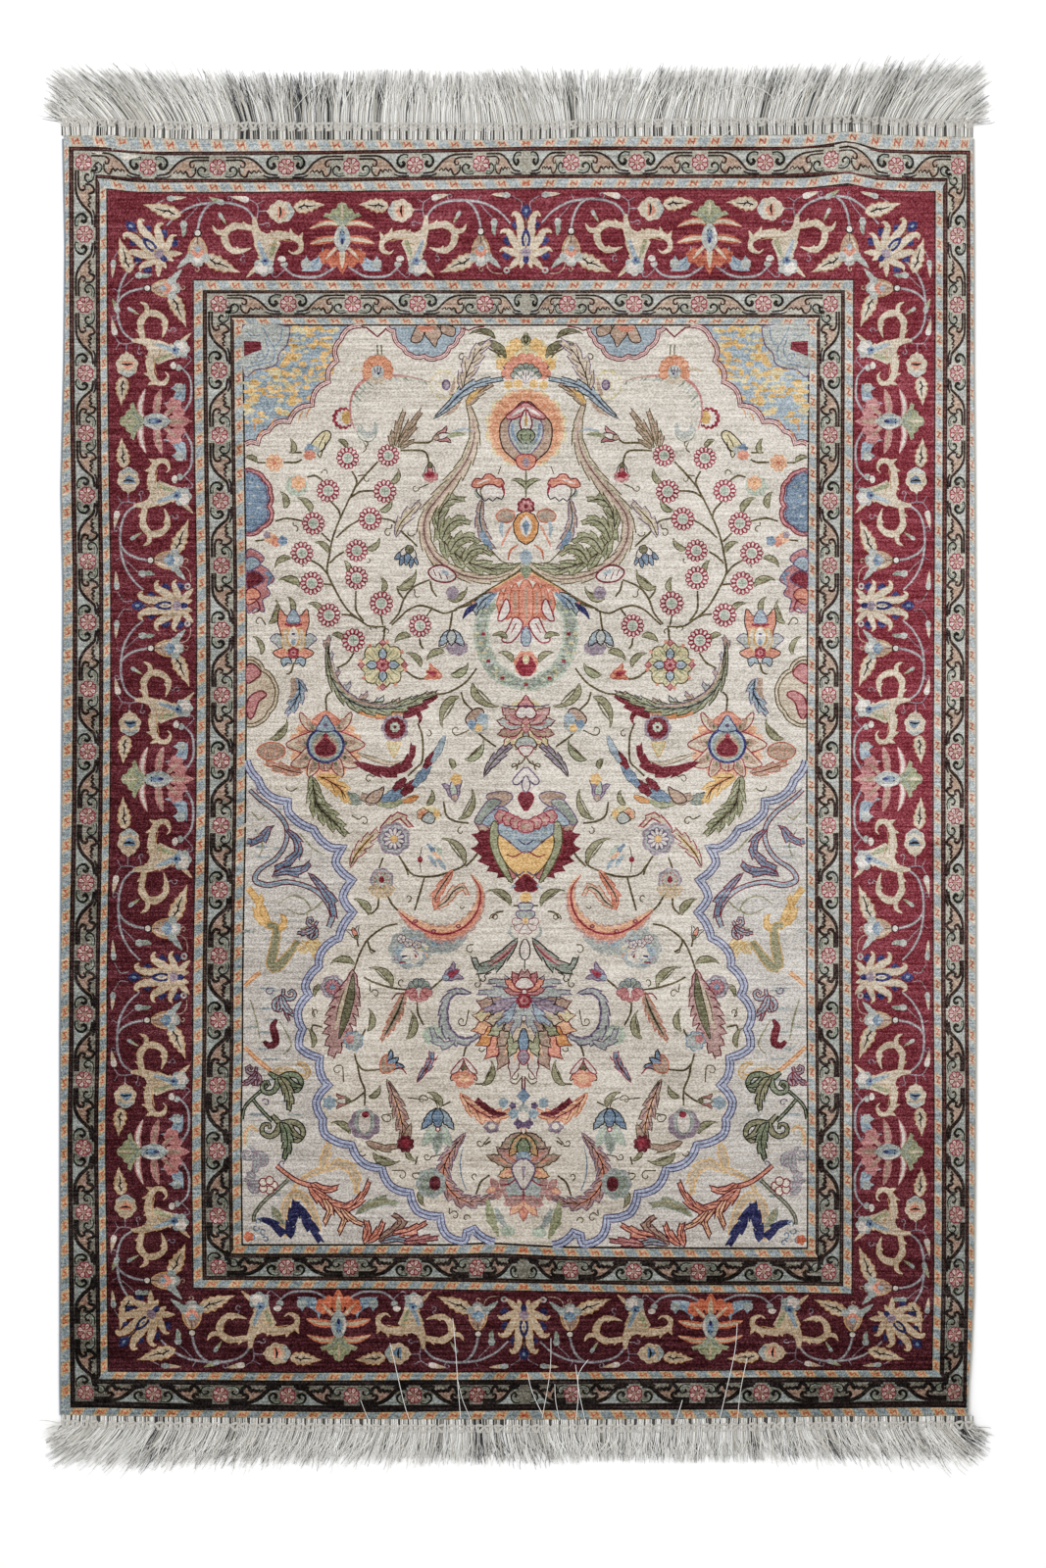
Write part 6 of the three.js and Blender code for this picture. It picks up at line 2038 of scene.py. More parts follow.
def wandered(column, row):
    # where a charted knot lies in the woven rug, still in knots
    drift = readTable(foldWander, row)
    fieldLeft = bands["field"][0]
    if column < fold:
        inward = ease((column - fieldLeft) / (fold - fieldLeft))
        x = column + readTable(leftWander, row) * (1 - inward) + drift * inward
    else:
        inward = ease((rightEdge - column) / (rightEdge - fold))
        squeezed = column + readTable(rightSqueeze, column)
        x = squeezed + readTable(rightWander, row) * (1 - inward) + drift * inward
    y = row + readTable(topWander, column) * (1 - ease((row - topFade[0]) / topFade[1]))
    marks = sorted(bottomWander)
    if row > bottomFrom:
        if row <= marks[0]:
            part = ease((row - bottomFrom) / (marks[0] - bottomFrom))
            y += readTable(bottomWander[marks[0]], column) * part
        elif row >= marks[-1]:
            y += readTable(bottomWander[marks[-1]], column)
        else:
            low = max(m for m in marks if m <= row)
            high = min(m for m in marks if m > row)
            share = (row - low) / (high - low)
            above, below = readTable(bottomWander[low], column), readTable(bottomWander[high], column)
            y += above * (1 - share) + below * share
    return x, y


def paintedShadeAt(column, row):
    # painted shade of the pile's nap at a knot, from 0 where the sheen lights it to 1 in deepest shade
    across = min(1.0, max(0.0, (column - paintedShadeAcross[0]) / paintedShadeAcross[1]))
    left, right = readTable(paintedShadeRows, row, 1), readTable(paintedShadeRows, row, 2)
    return left + (right - left) * across


def onFloor(column, row):
    return (column - chart["middleColumn"]) * chart["knot"], (chart["middleRow"] - row) * chart["knot"]


def edgeX(y, side):
    # side 1 is the left edge of the cloth, 2 the right one, inside the cords
    inset = cloth["cordInset"] if side == 1 else -cloth["cordInset"]
    return readTable(sideEdges, y * 1000, side) / 1000 + inset


def edgeY(x, side):
    return readTable(endEdges, x * 1000, side) / 1000


def laidOut(column, row):
    # a charted knot's place on the floor, with the outermost stripe stretched to the cloth's own edge
    x, y = onFloor(*wandered(column, row))
    left, top, right, bottom = corners("outerLines")
    outLeft, outTop, outRight, outBottom = corners("outerStripe")
    if column < left:
        inner = onFloor(*wandered(left, row))[0]
        x = inner + (edgeX(y, 1) - inner) * (left - column) / (left - outLeft)
    elif column > right:
        inner = onFloor(*wandered(right, row))[0]
        x = inner + (edgeX(y, 2) - inner) * (column - right) / (outRight - right)
    if row < top:
        inner = onFloor(*wandered(column, top))[1]
        y = inner + (edgeY(x, 2) - inner) * (top - row) / (top - outTop)
    elif row > bottom:
        inner = onFloor(*wandered(column, bottom))[1]
        y = inner + (edgeY(x, 1) - inner) * (row - bottom) / (outBottom - bottom)
    return x, y


def liftAt(x, y):
    # how far the cloth stands off the floor
    lift = 0.0
    x, y = x * 1000, y * 1000
    for startX, startY, endX, endY, high, half in ripples:
        run = min(1.0, max(0.0, (y - endY) / (startY - endY)))
        away = abs(x - endX - (startX - endX) * run) / half
        if away < 1:
            lift += high * ease(run) * 0.5 * (1 + math.cos(math.pi * away))
    return lift / 1000


def thinned(outline, reach):
    # drops the points of a closed outline that lie on a straight stretch
    kept = [outline[0]]
    i, last = 0, len(outline)
    while i < last - 1:
        j = i + 1
        while j + 1 < last:
            ax, ay = outline[i]
            bx, by = outline[j + 1]
            run = math.hypot(bx - ax, by - ay)
            if run > cloth["longest"] or run < 1e-6:
                break
            if max(abs((px - ax) * (by - ay) - (py - ay) * (bx - ax))
                   for px, py in outline[i + 1: j + 1]) / run > reach:
                break
            j += 1
        kept.append(outline[j])
        i = j
    return kept


def onNarrowRipple(box):
    # whether a part of the chart crosses a ripple too steep for the common spacing of points
    left, top, right, _ = box
    for startX, _, _, endY, high, half in ripples:
        middle = chart["middleColumn"] + startX / 1000 / chart["knot"]
        reach = (half + 6) / 1000 / chart["knot"]
        end = chart["middleRow"] - endY / 1000 / chart["knot"]
        if (half < 20 or high > 5) and left < middle + reach and right > middle - reach and top < end:
            return True
    return False


def parted(outline, longest):
    # puts points along the long sides of an outline, so that it can follow the cloth
    result = []
    for a, b in zip(outline, outline[1:] + outline[:1]):
        near = onNarrowRipple((min(a[0], b[0]), min(a[1], b[1]), max(a[0], b[0]), max(a[1], b[1])))
        parts = max(1, math.ceil(math.dist(a, b) / longest * (2 if near else 1)))
        result += [(a[0] + (b[0] - a[0]) * k / parts, a[1] + (b[1] - a[1]) * k / parts) for k in range(parts)]
    return result


def boxOutline(name):
    left, top, right, bottom = corners(name)
    return [(left, top), (right, top), (right, bottom), (left, bottom)]


def linear(hexTone):
    channels = (int(hexTone[i:i + 2], 16) / 255 for i in (1, 3, 5))
    return tuple(c / 12.92 if c <= 0.04045 else ((c + 0.055) / 1.055) ** 2.4 for c in channels)


def clipped(outline, box):
    # the part of an outline inside a box, on the fine lattice that neighbouring tiles share
    for axis, limit, sign in ((0, box[0], 1), (0, box[2], -1), (1, box[1], 1), (1, box[3], -1)):
        result = []
        for a, b in zip(outline[-1:] + outline[:-1], outline):
            insideA, insideB = sign * (a[axis] - limit) >= 0, sign * (b[axis] - limit) >= 0
            if insideA != insideB:
                low, high = (a, b) if a < b else (b, a)
                share = (limit - low[axis]) / (high[axis] - low[axis])
                other = snapped(low[1 - axis] + (high[1 - axis] - low[1 - axis]) * share)
                result.append((limit, other) if axis == 0 else (other, limit))
            if insideB:
                result.append(b)
        outline = result
        if len(outline) < 3:
            return []
    kept = [p for p, q in zip(outline, outline[1:] + outline[:1]) if p != q]
    if len(kept) < 3 or abs(area(kept)) < cloth["smallest"]:
        return []
    return kept if area(kept) > 0 else kept[::-1]


def snapped(value):
    return round(value * cloth["lattice"]) / cloth["lattice"]


def lattice(outline):
    return [(snapped(x), snapped(y)) for x, y in outline]


def tileLines(low, high, stops, size):
    # where a zone is cut into tiles: its own limits and even steps between them
    marks = sorted({low, high, *stops})
    result = [marks[0]]
    for a, b in zip(marks, marks[1:]):
        parts = max(1, round((b - a) / size))
        result += [snapped(a + (b - a) * k / parts) for k in range(1, parts)] + [b]
    return result


def zoneTiles(outer, inner):
    left, top, right, bottom = (snapped(value) for value in corners(outer))
    hole = tuple(snapped(value) for value in corners(inner)) if inner else None
    across = tileLines(left, right, (hole[0], hole[2]) if hole else (), cloth["tileKnots"])
    down = tileLines(top, bottom, (hole[1], hole[3]) if hole else (), cloth["tileKnots"])
    for a, b in zip(across, across[1:]):
        for c, d in zip(down, down[1:]):
            if not hole or not (hole[0] <= a and b <= hole[2] and hole[1] <= c and d <= hole[3]):
                yield a, c, b, d


def tileOutline(box, step):
    # a tile's rim with points at even steps, the same from either side
    left, top, right, bottom = box
    columns = max(1, round((right - left) / step)) * (2 if onNarrowRipple(box) else 1)
    rows = max(1, round((bottom - top) / step))
    across = [snapped(left + (right - left) * k / columns) for k in range(columns)] + [right]
    down = [snapped(top + (bottom - top) * k / rows) for k in range(rows)] + [bottom]
    return ([(x, top) for x in across[:-1]] + [(right, y) for y in down[:-1]]
            + [(x, bottom) for x in across[:0:-1]] + [(left, y) for y in down[:0:-1]])


def windsRound(points, x, y):
    # whether an outline, which may cross itself, goes round a place
    turns = 0
    for (ax, ay), (bx, by) in zip(points, points[1:] + points[:1]):
        if (ay <= y) != (by <= y) and ((bx - ax) * (y - ay) - (x - ax) * (by - ay) > 0) == (by > ay):
            turns += 1 if by > ay else -1
    return turns != 0


def topmost(made, faces, vertices):
    # the last painted outline over each triangle, or None outside the tile
    patches = [[made[0][i] for i in tri] for tri in made[2]]
    under = [set(ids) for ids in made[5]]
    covered = [0.0] * len(faces)
    for points, ids in zip(patches, under):
        size = abs(area(points))
        for k in ids:
            covered[k] += size
    for k, face in enumerate(faces):
        outline = [tuple(vertices[i]) for i in face]
        size = abs(area(outline))
        if abs(covered[k] - size) > 0.02 * size + 0.01:
            # the filling went astray, as it does where an outline touches itself: every triangle is tested
            columns, rows = [p[0] for p in outline], [p[1] for p in outline]
            box = min(columns), min(rows), max(columns), max(rows)
            for points, ids in zip(patches, under):
                x, y = sum(p[0] for p in points) / 3, sum(p[1] for p in points) / 3
                ids.discard(k)
                if box[0] < x < box[2] and box[1] < y < box[3] and windsRound(outline, x, y):
                    ids.add(k)
    return [max(ids) if 0 in ids else None for ids in under]


def seenEdges(triangles, tops):
    # the edges where what shows changes, each with what shows on its left and on its right
    leftOf = {}
    for tri, top in zip(triangles, tops):
        for a, b in zip(tri, (*tri[1:], tri[0])):
            leftOf[a, b] = top
    seen = {}
    for (a, b), left in leftOf.items():
        right = leftOf.get((b, a))
        if left != right and (b, a) not in seen:
            seen[a, b] = (left, right)
    return seen


def withoutInline(points, seen):
    # the same edges without the points that lie on a straight run between two others
    meeting = {}
    for a, b in seen:
        meeting.setdefault(a, set()).add(b)
        meeting.setdefault(b, set()).add(a)
    for middle in list(meeting):
        if len(meeting[middle]) != 2:
            continue
        a, b = meeting[middle]
        before = seen.get((a, middle)) or seen[middle, a][::-1]
        if None in before or b in meeting[a] or (points[b] - points[a]).length < 1e-6:
            continue
        run = points[b] - points[a]
        along, off = run.normalized(), points[middle] - points[a]
        if abs(along.x * off.y - along.y * off.x) > cloth["inline"] or not 0 < along.dot(off) < run.length:
            continue
        for end in (a, b):
            seen.pop((end, middle), None)
            seen.pop((middle, end), None)
            meeting[end].discard(middle)
        meeting[a].add(b)
        meeting[b].add(a)
        seen[a, b] = before
        del meeting[middle]
    return seen


def onlySeen(made, tops, grid):
    # a tile filled again from the edges that show, so that hidden outlines leave no points in it
    points = made[0]
    seen = withoutInline(points, seenEdges(made[2], tops))
    order = sorted({i for edge in seen for i in edge})
    placeOf = {i: len(grid) + k for k, i in enumerate(order)}
    edges = [(placeOf[a], placeOf[b]) for a, b in seen]
    sidesOf = list(seen.values())
    vertices = [Vector(p) for p in grid] + [points[i] for i in order]
    again = delaunay_2d_cdt(vertices, edges, [], 0, cloth["merge"], True)
    leftOf = {}
    for (u, v), sources in zip(again[1], again[4]):
        if sources:
            a, b = edges[sources[0]]
            left, right = sidesOf[sources[0]]
            if (again[0][v] - again[0][u]).dot(vertices[b] - vertices[a]) < 0:
                left, right = right, left
            leftOf[u, v], leftOf[v, u] = left, right
    owner, shows, queue = {}, {}, []
    for k, tri in enumerate(again[2]):
        for edge in zip(tri, (*tri[1:], tri[0])):
            owner[edge] = k
            if edge in leftOf and k not in shows:
                shows[k] = leftOf[edge]
                queue.append(k)
    while queue:
        k = queue.pop()
        tri = again[2][k]
        for a, b in zip(tri, (*tri[1:], tri[0])):
            beside = owner.get((b, a))
            if (a, b) not in leftOf and beside is not None and beside not in shows:
                shows[beside] = shows[k]
                queue.append(beside)
    return again, [shows.get(k) for k in range(len(again[2]))]


def tiledFaces(outer, inner, shapes, step):
    # triangles over a zone's painted outlines, and for each the topmost outline over it, counted from 1
    outlines = [lattice(parted(thinned(outline, cloth["thin"]), cloth["gridKnots"])) for _, outline in shapes]
    spans = []
    for outline in outlines:
        columns, rows = [p[0] for p in outline], [p[1] for p in outline]
        spans.append((min(columns), min(rows), max(columns), max(rows)))
    number, knots, triangles, shown = {}, [], [], []
    for box in zoneTiles(outer, inner):
        order, faces = [], []
        grid = gridPoints(box, step)
        vertices = [Vector(p) for p in grid]
        near = [(k + 1, outlines[k]) for k, span in enumerate(spans)
                if span[0] < box[2] and span[2] > box[0] and span[1] < box[3] and span[3] > box[1]]
        for index, outline in [(0, tileOutline(box, step))] + near:
            part = clipped(outline, box)
            if part:
                order.append(index)
                faces.append(list(range(len(vertices), len(vertices) + len(part))))
                vertices += [Vector(p) for p in part]
        made = delaunay_2d_cdt(vertices, [], faces, 0, cloth["merge"], True)
        made, tops = onlySeen(made, topmost(made, faces, vertices), grid)
        for tri, top in zip(made[2], tops):
            if top is None:
                continue
            corner = []
            for i in (tri[0], tri[2], tri[1]):
                knot = tuple(made[0][i])
                if knot not in number:
                    number[knot] = len(knots)
                    knots.append(knot)
                corner.append(number[knot])
            triangles.append(tuple(corner))
            shown.append(order[top])
    return knots, triangles, shown


def gridPoints(box, step):
    left, top, right, bottom = box
    across, down = round((right - left) / step), round((bottom - top) / step)
    if onNarrowRipple(box):
        across *= 2
    return [(left + (right - left) * i / across, top + (bottom - top) * j / down)
            for i in range(1, across) for j in range(1, down)]


def rimOf(triangles):
    # the loose edges round a patch of triangles, in the triangles' own direction
    edges = set()
    for tri in triangles:
        edges.update(zip(tri, tri[1:] + tri[:1]))
    return [(a, b) for a, b in edges if (b, a) not in edges]


def layer(name, outer, inner, low, high, shapes, step):
    # a closed layer between two heights over one zone of the chart, coloured by its painted shapes
    knots, triangles, shown = tiledFaces(outer, inner, shapes, step)
    rim = rimOf(triangles)
    rimKnots = sorted({i for edge in rim for i in edge})
    # the underside is the same zone without its shapes; its rim has the same places
    first = len(knots)
    below = {top: first + k for k, top in enumerate(rimKnots)}
    backKnots = [knots[i] for i in rimKnots]
    placeOf = {knot: k for k, knot in enumerate(backKnots)}
    edges = [(placeOf[knots[a]], placeOf[knots[b]]) for a, b in rim]
    inside = [p for box in zoneTiles(outer, inner) for p in gridPoints(box, cloth["backKnots"])]
    vertices = [Vector(p) for p in backKnots + inside]
    made = delaunay_2d_cdt(vertices, edges, [], 1 if not inner else 0, cloth["merge"], True)
    hole = corners(inner) if inner else (0, 0, 0, 0)
    backTriangles, extra = [], {}
    for tri in made[2]:
        x, y = (sum(made[0][i][axis] for i in tri) / 3 for axis in (0, 1))
        if hole[0] < x < hole[2] and hole[1] < y < hole[3]:
            continue
        corner = []
        for i in tri:
            knot = tuple(made[0][i])
            if knot in placeOf:
                corner.append(first + placeOf[knot])
            else:
                if knot not in extra:
                    extra[knot] = first + len(backKnots) + len(extra)
                corner.append(extra[knot])
        backTriangles.append(tuple(corner))
    backKnots += list(extra)
    walls = [(b, a, below[a], below[b]) for a, b in rim]
    vertices = []
    for knot, height in [(k, high) for k in knots] + [(k, low) for k in backKnots]:
        x, y = laidOut(*knot)
        vertices.append((x, y, liftAt(x, y) + height))
    mesh = bpy.data.meshes.new(name)
    mesh.from_pydata(vertices, [], triangles + walls + backTriangles)
    paintFaces(mesh, shapes, shown, knots + backKnots, len(triangles))
    lookMap(mesh, len(triangles))
    piece = bpy.data.objects.new(name, mesh)
    bpy.context.collection.objects.link(piece)
    mesh.polygons.foreach_set("use_smooth", [True] * len(mesh.polygons))
    mesh.set_sharp_from_angle(angle=math.radians(cloth["sharp"]))
    print(f"{name}: {len(triangles) + 2 * len(walls) + len(backTriangles)} triangles")
    return piece


def paintFaces(mesh, shapes, shown, knots, tops):
    # one dye lot for each painted shape, with painted shade of the pile's nap: lighter towards the upper
    # right, darker to the left and bottom
    tones = {yarn: (linear(sheenLitTone), linear(deep)) for yarn, (sheenLitTone, deep) in yarns.items()}
    draw = random.Random(41)
    lots = [1.0] + [1.0 + draw.uniform(-cloth["dyeSwing"], cloth["dyeSwing"]) for _ in shapes]
    under = shapes[0][0] if shapes else "ivory"
    colours = []
    for index, face in enumerate(mesh.polygons):
        if index < tops:
            top = shown[index]
            yarn = shapes[top - 1][0] if top else under
            lot = lots[top]
        else:
            yarn, lot = "ivory", cloth["backTone"]
        # the yarn where the pile's sheen lights it, and where it lies in deepest painted shade
        sheenLitTone, deep = tones[yarn]
        for vertex in face.vertices:
            paintedShade = paintedShadeAt(*knots[vertex])
            colours += [lot * (sheenLitTone[c] + (deep[c] - sheenLitTone[c]) * paintedShade) for c in range(3)] + [1.0]
    attribute = mesh.color_attributes.new("yarnTone", "FLOAT_COLOR", "CORNER")
    attribute.data.foreach_set("color", colours)


flatMap = {"left": 0.5, "low": 0.71, "span": 1.4, "backAt": 0.73, "backSize": 0.36}


def lookMap(mesh, tops):
    # a flat map: the face of the pile on the left, its back and rim beside it, smaller
    layerMap = mesh.uv_layers.new(name="OFBake")
    coordinates = []
    for index, face in enumerate(mesh.polygons):
        for vertex in face.vertices:
            x, y, _ = mesh.vertices[vertex].co
            u, v = (x + flatMap["left"]) / flatMap["span"], (y + flatMap["low"]) / flatMap["span"]
            if index >= tops:
                u, v = flatMap["backAt"] + u * flatMap["backSize"], v * flatMap["backSize"]
            coordinates += [u, v]
    layerMap.data.foreach_set("uv", coordinates)


def paintedZone(draw):
    zone["shapes"] = []
    draw()
    return zone["shapes"]


def makeCloth():
    pieces = {}
    ground, high = cloth["groundHigh"], cloth["pileHigh"]
    zones = {
        "pileOuterGuard": ("outerStripe", "mainLine", paintOuterGuard),
        "pileMainBorder": ("mainLine", "innerWideStripe", paintMainZone),
        "pileInnerGuard": ("innerWideStripe", "fieldLine", paintInnerZone),
        "pileField": ("fieldLine", None, paintFieldZone),
    }
    for name, (outer, inner, draw) in zones.items():
        shapes = paintedZone(draw)
        pieces[name] = layer(name, outer, inner, ground + cloth["pileGap"], high, shapes, cloth["gridKnots"])
    shapes = paintedZone(paintBack)
    pieces["rugGround"] = layer("rugGround", "outerStripe", None, 0.0, ground, shapes, cloth["backKnots"])
    return pieces


# Side cords, fringes and loose threads, grown by Geometry Nodes along guides laid on the floor

fringe = {
    "locks": 97,
    "pointsPerLock": 9,
    "across": 0.977,        # the row of bundles, from its first to its last edge
    "threadRadius": 0.00045,
    "rootWidth": 0.0042,    # half width of a bundle in the heading
    "tipWidth": 0.0078,     # the same at the tips
    "stack": 0.0016,
    "wave": 0.0030,
    "shorten": 0.22,        # the part of their length by which the shortest threads fall short
    "widest": 0.4985,       # how far out the threads may sweep at the corners
    "shortest": 0.012,      # least reach past the knots there
    "askew": 0.0012,        # how far a bundle's root strays from its place in the row
    "curl": 0.35,
}

# How the fringe lies: place across in millimetres, lean in degrees and reach of the tips, top and then bottom
fringeLie = [
    (-488, -64, 744, -64, 744), (-433, -47, 745, -45, 748), (-375, -36, 744, -34, 752),
    (-297, -22, 742, -26, 749), (-207, 0, 743, -22, 749), (-165, 5, 746, -28, 748), (-71, 1, 744, -6, 749),
    (18, -22, 745, 22, 748), (66, -4, 746, 10, 746), (129, 22, 747, -5, 746), (213, 10, 748, -2, 747),
    (307, 22, 748, 24, 744), (400, 30, 752, 30, 746), (454, 46, 749, 46, 745), (490, 64, 744, 64, 744)]

# For each end: side of the rug and its column in endEdges, depth of heading and of knots, its columns in
# fringeLie, threads in a lock and seed
fringeEnds = {
    "top": {"side": 1, "edge": 2, "heading": 0.0085, "knots": 0.0105, "lean": 1, "tip": 2, "threads": 25,
            "seed": 11},
    "bottom": {"side": -1, "edge": 1, "heading": 0.0050, "knots": 0.0095, "lean": 3, "tip": 4, "threads": 23,
               "seed": 47},
}

heading = {"across": 0.976, "columns": 98, "knotShare": 0.4, "start": 0.0003}
cord = {
    "radius": 0.0010,
    "inward": 0.00115,      # its middle, in from the rug's outer edge
    "high": 0.00116,
    "from": -0.6955,
    "long": 1.3665,
    "points": 120,
}
pulled = {"radius": 0.00042, "overCloth": 0.0029, "overFringe": 0.0030}

# Open places in the fringe, where the threads underneath are painted darker as shadow in the gaps: place
# across in millimetres, half width and strength
shadowGaps = {
    "top": [(-288, 9, 0.9), (-262, 5, 0.6), (-233, 14, 0.75), (-205, 8, 0.7), (-405, 16, 0.55),
            (-150, 5, 0.6), (262, 4, 0.6), (385, 6, 0.8), (6, 6, 0.4), (60, 5, 0.5), (150, 5, 0.5),
            (310, 5, 0.4)],
    "bottom": [(-383, 6, 0.9), (-300, 8, 0.4), (-45, 8, 0.6), (-22, 5, 0.8), (18, 7, 0.5), (92, 5, 0.6),
               (250, 8, 0.5), (330, 8, 0.5), (420, 8, 0.5), (474, 8, 0.85)],
}

# Loose white threads, in knots of the chart, each from its tip to its root
looseThreads = [
    [(398, 1370), (402, 1386), (405, 1400), (412, 1430), (418, 1449)],
    [(368, 1428), (373, 1441), (380, 1457)], [(462, 1345), (465, 1378), (467, 1410), (470, 1447)],
    [(467, 1408), (472, 1428), (480, 1447)], [(538, 1400), (543, 1420), (553, 1442)],
    [(562, 1365), (561, 1400), (553, 1447)], [(566, 1412), (567, 1430), (571, 1449)],
    [(587, 1392), (590, 1420), (587, 1452)], [(600, 1387), (591, 1400), (590, 1415), (597, 1450)],
    [(696, 1428), (690, 1449)], [(752, 1350), (750, 1375), (745, 1400), (733, 1452)],
    [(762, 1385), (755, 1420), (752, 1452)], [(640, 81), (652, 80), (664, 86), (671, 98), (676, 126)],
    [(735, 92), (752, 87), (772, 90), (786, 98), (792, 108)],
    [(716, 126), (722, 137), (736, 140), (747, 131)], [(265, 1482), (284, 1472), (300, 1474), (311, 1486)],
    [(300, 112), (318, 92), (338, 78)]]


def nodeGroup(name, inputs):
    tree = bpy.data.node_groups.new(name, "GeometryNodeTree")
    tree.interface.new_socket(name="Geometry", in_out="INPUT", socket_type="NodeSocketGeometry")
    for label, value in inputs.items():
        kind = "NodeSocketInt" if isinstance(value, int) else "NodeSocketFloat"
        if not isinstance(value, (int, float)):
            kind = "NodeSocketMaterial"
        socket = tree.interface.new_socket(name=label, in_out="INPUT", socket_type=kind)
        if kind != "NodeSocketMaterial":
            socket.default_value = value
    tree.interface.new_socket(name="Geometry", in_out="OUTPUT", socket_type="NodeSocketGeometry")
    return tree, tree.nodes.new("NodeGroupInput"), tree.nodes.new("NodeGroupOutput")


def wired(tree, kind, links=None, **settings):
    # a node with its settings, and its inputs taken from other sockets or plain values
    node = tree.nodes.new(kind)
    for key, value in settings.items():
        setattr(node, key, value)
    for key, value in (links or {}).items():
        if hasattr(value, "is_output"):
            tree.links.new(value, node.inputs[key])
        else:
            node.inputs[key].default_value = value
    return node


def calc(tree, operation, a, b=0.0, c=0.0):
    return wired(tree, "ShaderNodeMath", {0: a, 1: b, 2: c}, operation=operation).outputs[0]


def vector(tree, operation, a, b=None, scale=None):
    links = {0: a}
    if b is not None:
        links[1] = b
    if scale is not None:
        links["Scale"] = scale
    return wired(tree, "ShaderNodeVectorMath", links, operation=operation).outputs[0]


def perThread(tree, seed, low=0.0, high=1.0):
    # one random number for each thread
    index = wired(tree, "GeometryNodeInputIndex")
    draw = wired(tree, "FunctionNodeRandomValue", {"ID": index.outputs[0], "Seed": seed}, data_type="FLOAT")
    draw.inputs[2].default_value, draw.inputs[3].default_value = low, high
    return wired(tree, "GeometryNodeFieldOnDomain", {0: draw.outputs[1]}, domain="CURVE",
                 data_type="FLOAT").outputs[0]


def attribute(tree, name):
    return wired(tree, "GeometryNodeInputNamedAttribute", {"Name": name},
                 data_type="FLOAT").outputs["Attribute"]


def spread(tree, value, fromLow, fromHigh, toLow, toHigh, kind="LINEAR"):
    return wired(tree, "ShaderNodeMapRange", {
        "Value": value, "From Min": fromLow, "From Max": fromHigh, "To Min": toLow, "To Max": toHigh},
        interpolation_type=kind).outputs[0]


def threadTree():
    # many fine threads along each guide, fanned out towards the tips
    tree, start, end = nodeGroup("silkThreads", {
        "Threads": 20, "Radius": 0.0004, "Root Width": 0.003, "Tip Width": 0.008, "Stack": 0.0015,
        "Wave": 0.003, "Shorten": 0.25, "Seed": 1, "Material": None})
    given = start.outputs
    curves = wired(tree, "GeometryNodeMeshToCurve", {"Mesh": given["Geometry"]}).outputs[0]
    copies = wired(tree, "GeometryNodeDuplicateElements", {"Geometry": curves, "Amount": given["Threads"]},
                   domain="SPLINE")
    share = attribute(tree, "share")
    side = perThread(tree, calc(tree, "ADD", given["Seed"], 0.0), -1.0, 1.0)
    high = perThread(tree, calc(tree, "ADD", given["Seed"], 1.0))
    phase = perThread(tree, calc(tree, "ADD", given["Seed"], 2.0), 0.0, 60.0)
    cut = perThread(tree, calc(tree, "ADD", given["Seed"], 3.0))
    stray = perThread(tree, calc(tree, "ADD", given["Seed"], 4.0), -1.0, 1.0)
    tangent = wired(tree, "GeometryNodeInputTangent").outputs[0]
    across = vector(tree, "NORMALIZE", vector(tree, "CROSS_PRODUCT", tangent, (0.0, 0.0, 1.0)))
    width = spread(tree, share, 0.36, 0.85, given["Root Width"], given["Tip Width"], "SMOOTHSTEP")
    reach = calc(tree, "MULTIPLY", side, width)
    loose = calc(tree, "MULTIPLY", calc(tree, "POWER", stray, 3.0),
                 calc(tree, "MULTIPLY", given["Tip Width"], 2.2))
    loose = calc(tree, "MULTIPLY", loose, spread(tree, share, 0.4, 1.0, 0.0, 1.0, "SMOOTHSTEP"))
    offset = vector(tree, "SCALE", across, scale=calc(tree, "ADD", reach, loose))
    place = wired(tree, "GeometryNodeInputPosition").outputs[0]
    wobble = wired(tree, "ShaderNodeTexNoise", {"Vector": place, "W": phase, "Scale": 26.0, "Detail": 1.0},
                   noise_dimensions="4D").outputs["Color"]
    shake = vector(tree, "SUBTRACT", wobble, (0.5, 0.5, 0.5))
    shake = vector(tree, "MULTIPLY", shake, (2.0, 2.0, 0.0))
    shake = vector(tree, "SCALE", shake,
                   scale=calc(tree, "MULTIPLY", given["Wave"], spread(tree, share, 0.3, 1.0, 0.0, 1.0)))
    rise = calc(tree, "MULTIPLY", calc(tree, "MULTIPLY", high, given["Stack"]),
                spread(tree, share, 0.3, 1.0, 1.0, 0.55))
    lift = wired(tree, "ShaderNodeCombineXYZ", {"Z": rise}).outputs[0]
    offset = vector(tree, "ADD", vector(tree, "ADD", offset, shake), lift)
    moved = wired(tree, "GeometryNodeSetPosition",
                  {"Geometry": copies.outputs["Geometry"], "Offset": offset}).outputs[0]
    ends = calc(tree, "SUBTRACT", 1.0,
                calc(tree, "MULTIPLY", calc(tree, "MULTIPLY", cut, cut), given["Shorten"]))
    trimmed = wired(tree, "GeometryNodeTrimCurve", {"Curve": moved, "End": ends}, mode="FACTOR").outputs[0]
    # threads that lie low in the stack are painted dark as shade, and more of them are where the fringe is
    # open and painted shadow shows in the gaps
    shade = calc(tree, "SUBTRACT", high, calc(tree, "MULTIPLY", attribute(tree, "gapShadow"), 0.62))
    toned = wired(tree, "GeometryNodeStoreNamedAttribute",
                  {"Geometry": trimmed, "Name": "threadPaintedShade", "Value": shade}, data_type="FLOAT",
                  domain="POINT").outputs[0]
    thick = calc(tree, "MULTIPLY", given["Radius"], spread(tree, share, 0.55, 1.0, 1.0, 0.3))
    ring = wired(tree, "GeometryNodeCurvePrimitiveCircle", {"Resolution": 3, "Radius": 1.0}).outputs[0]
    made = wired(tree, "GeometryNodeCurveToMesh",
                 {"Curve": toned, "Profile Curve": ring, "Scale": thick, "Fill Caps": True})
    return finishedTree(tree, made.outputs[0], given["Material"], end)


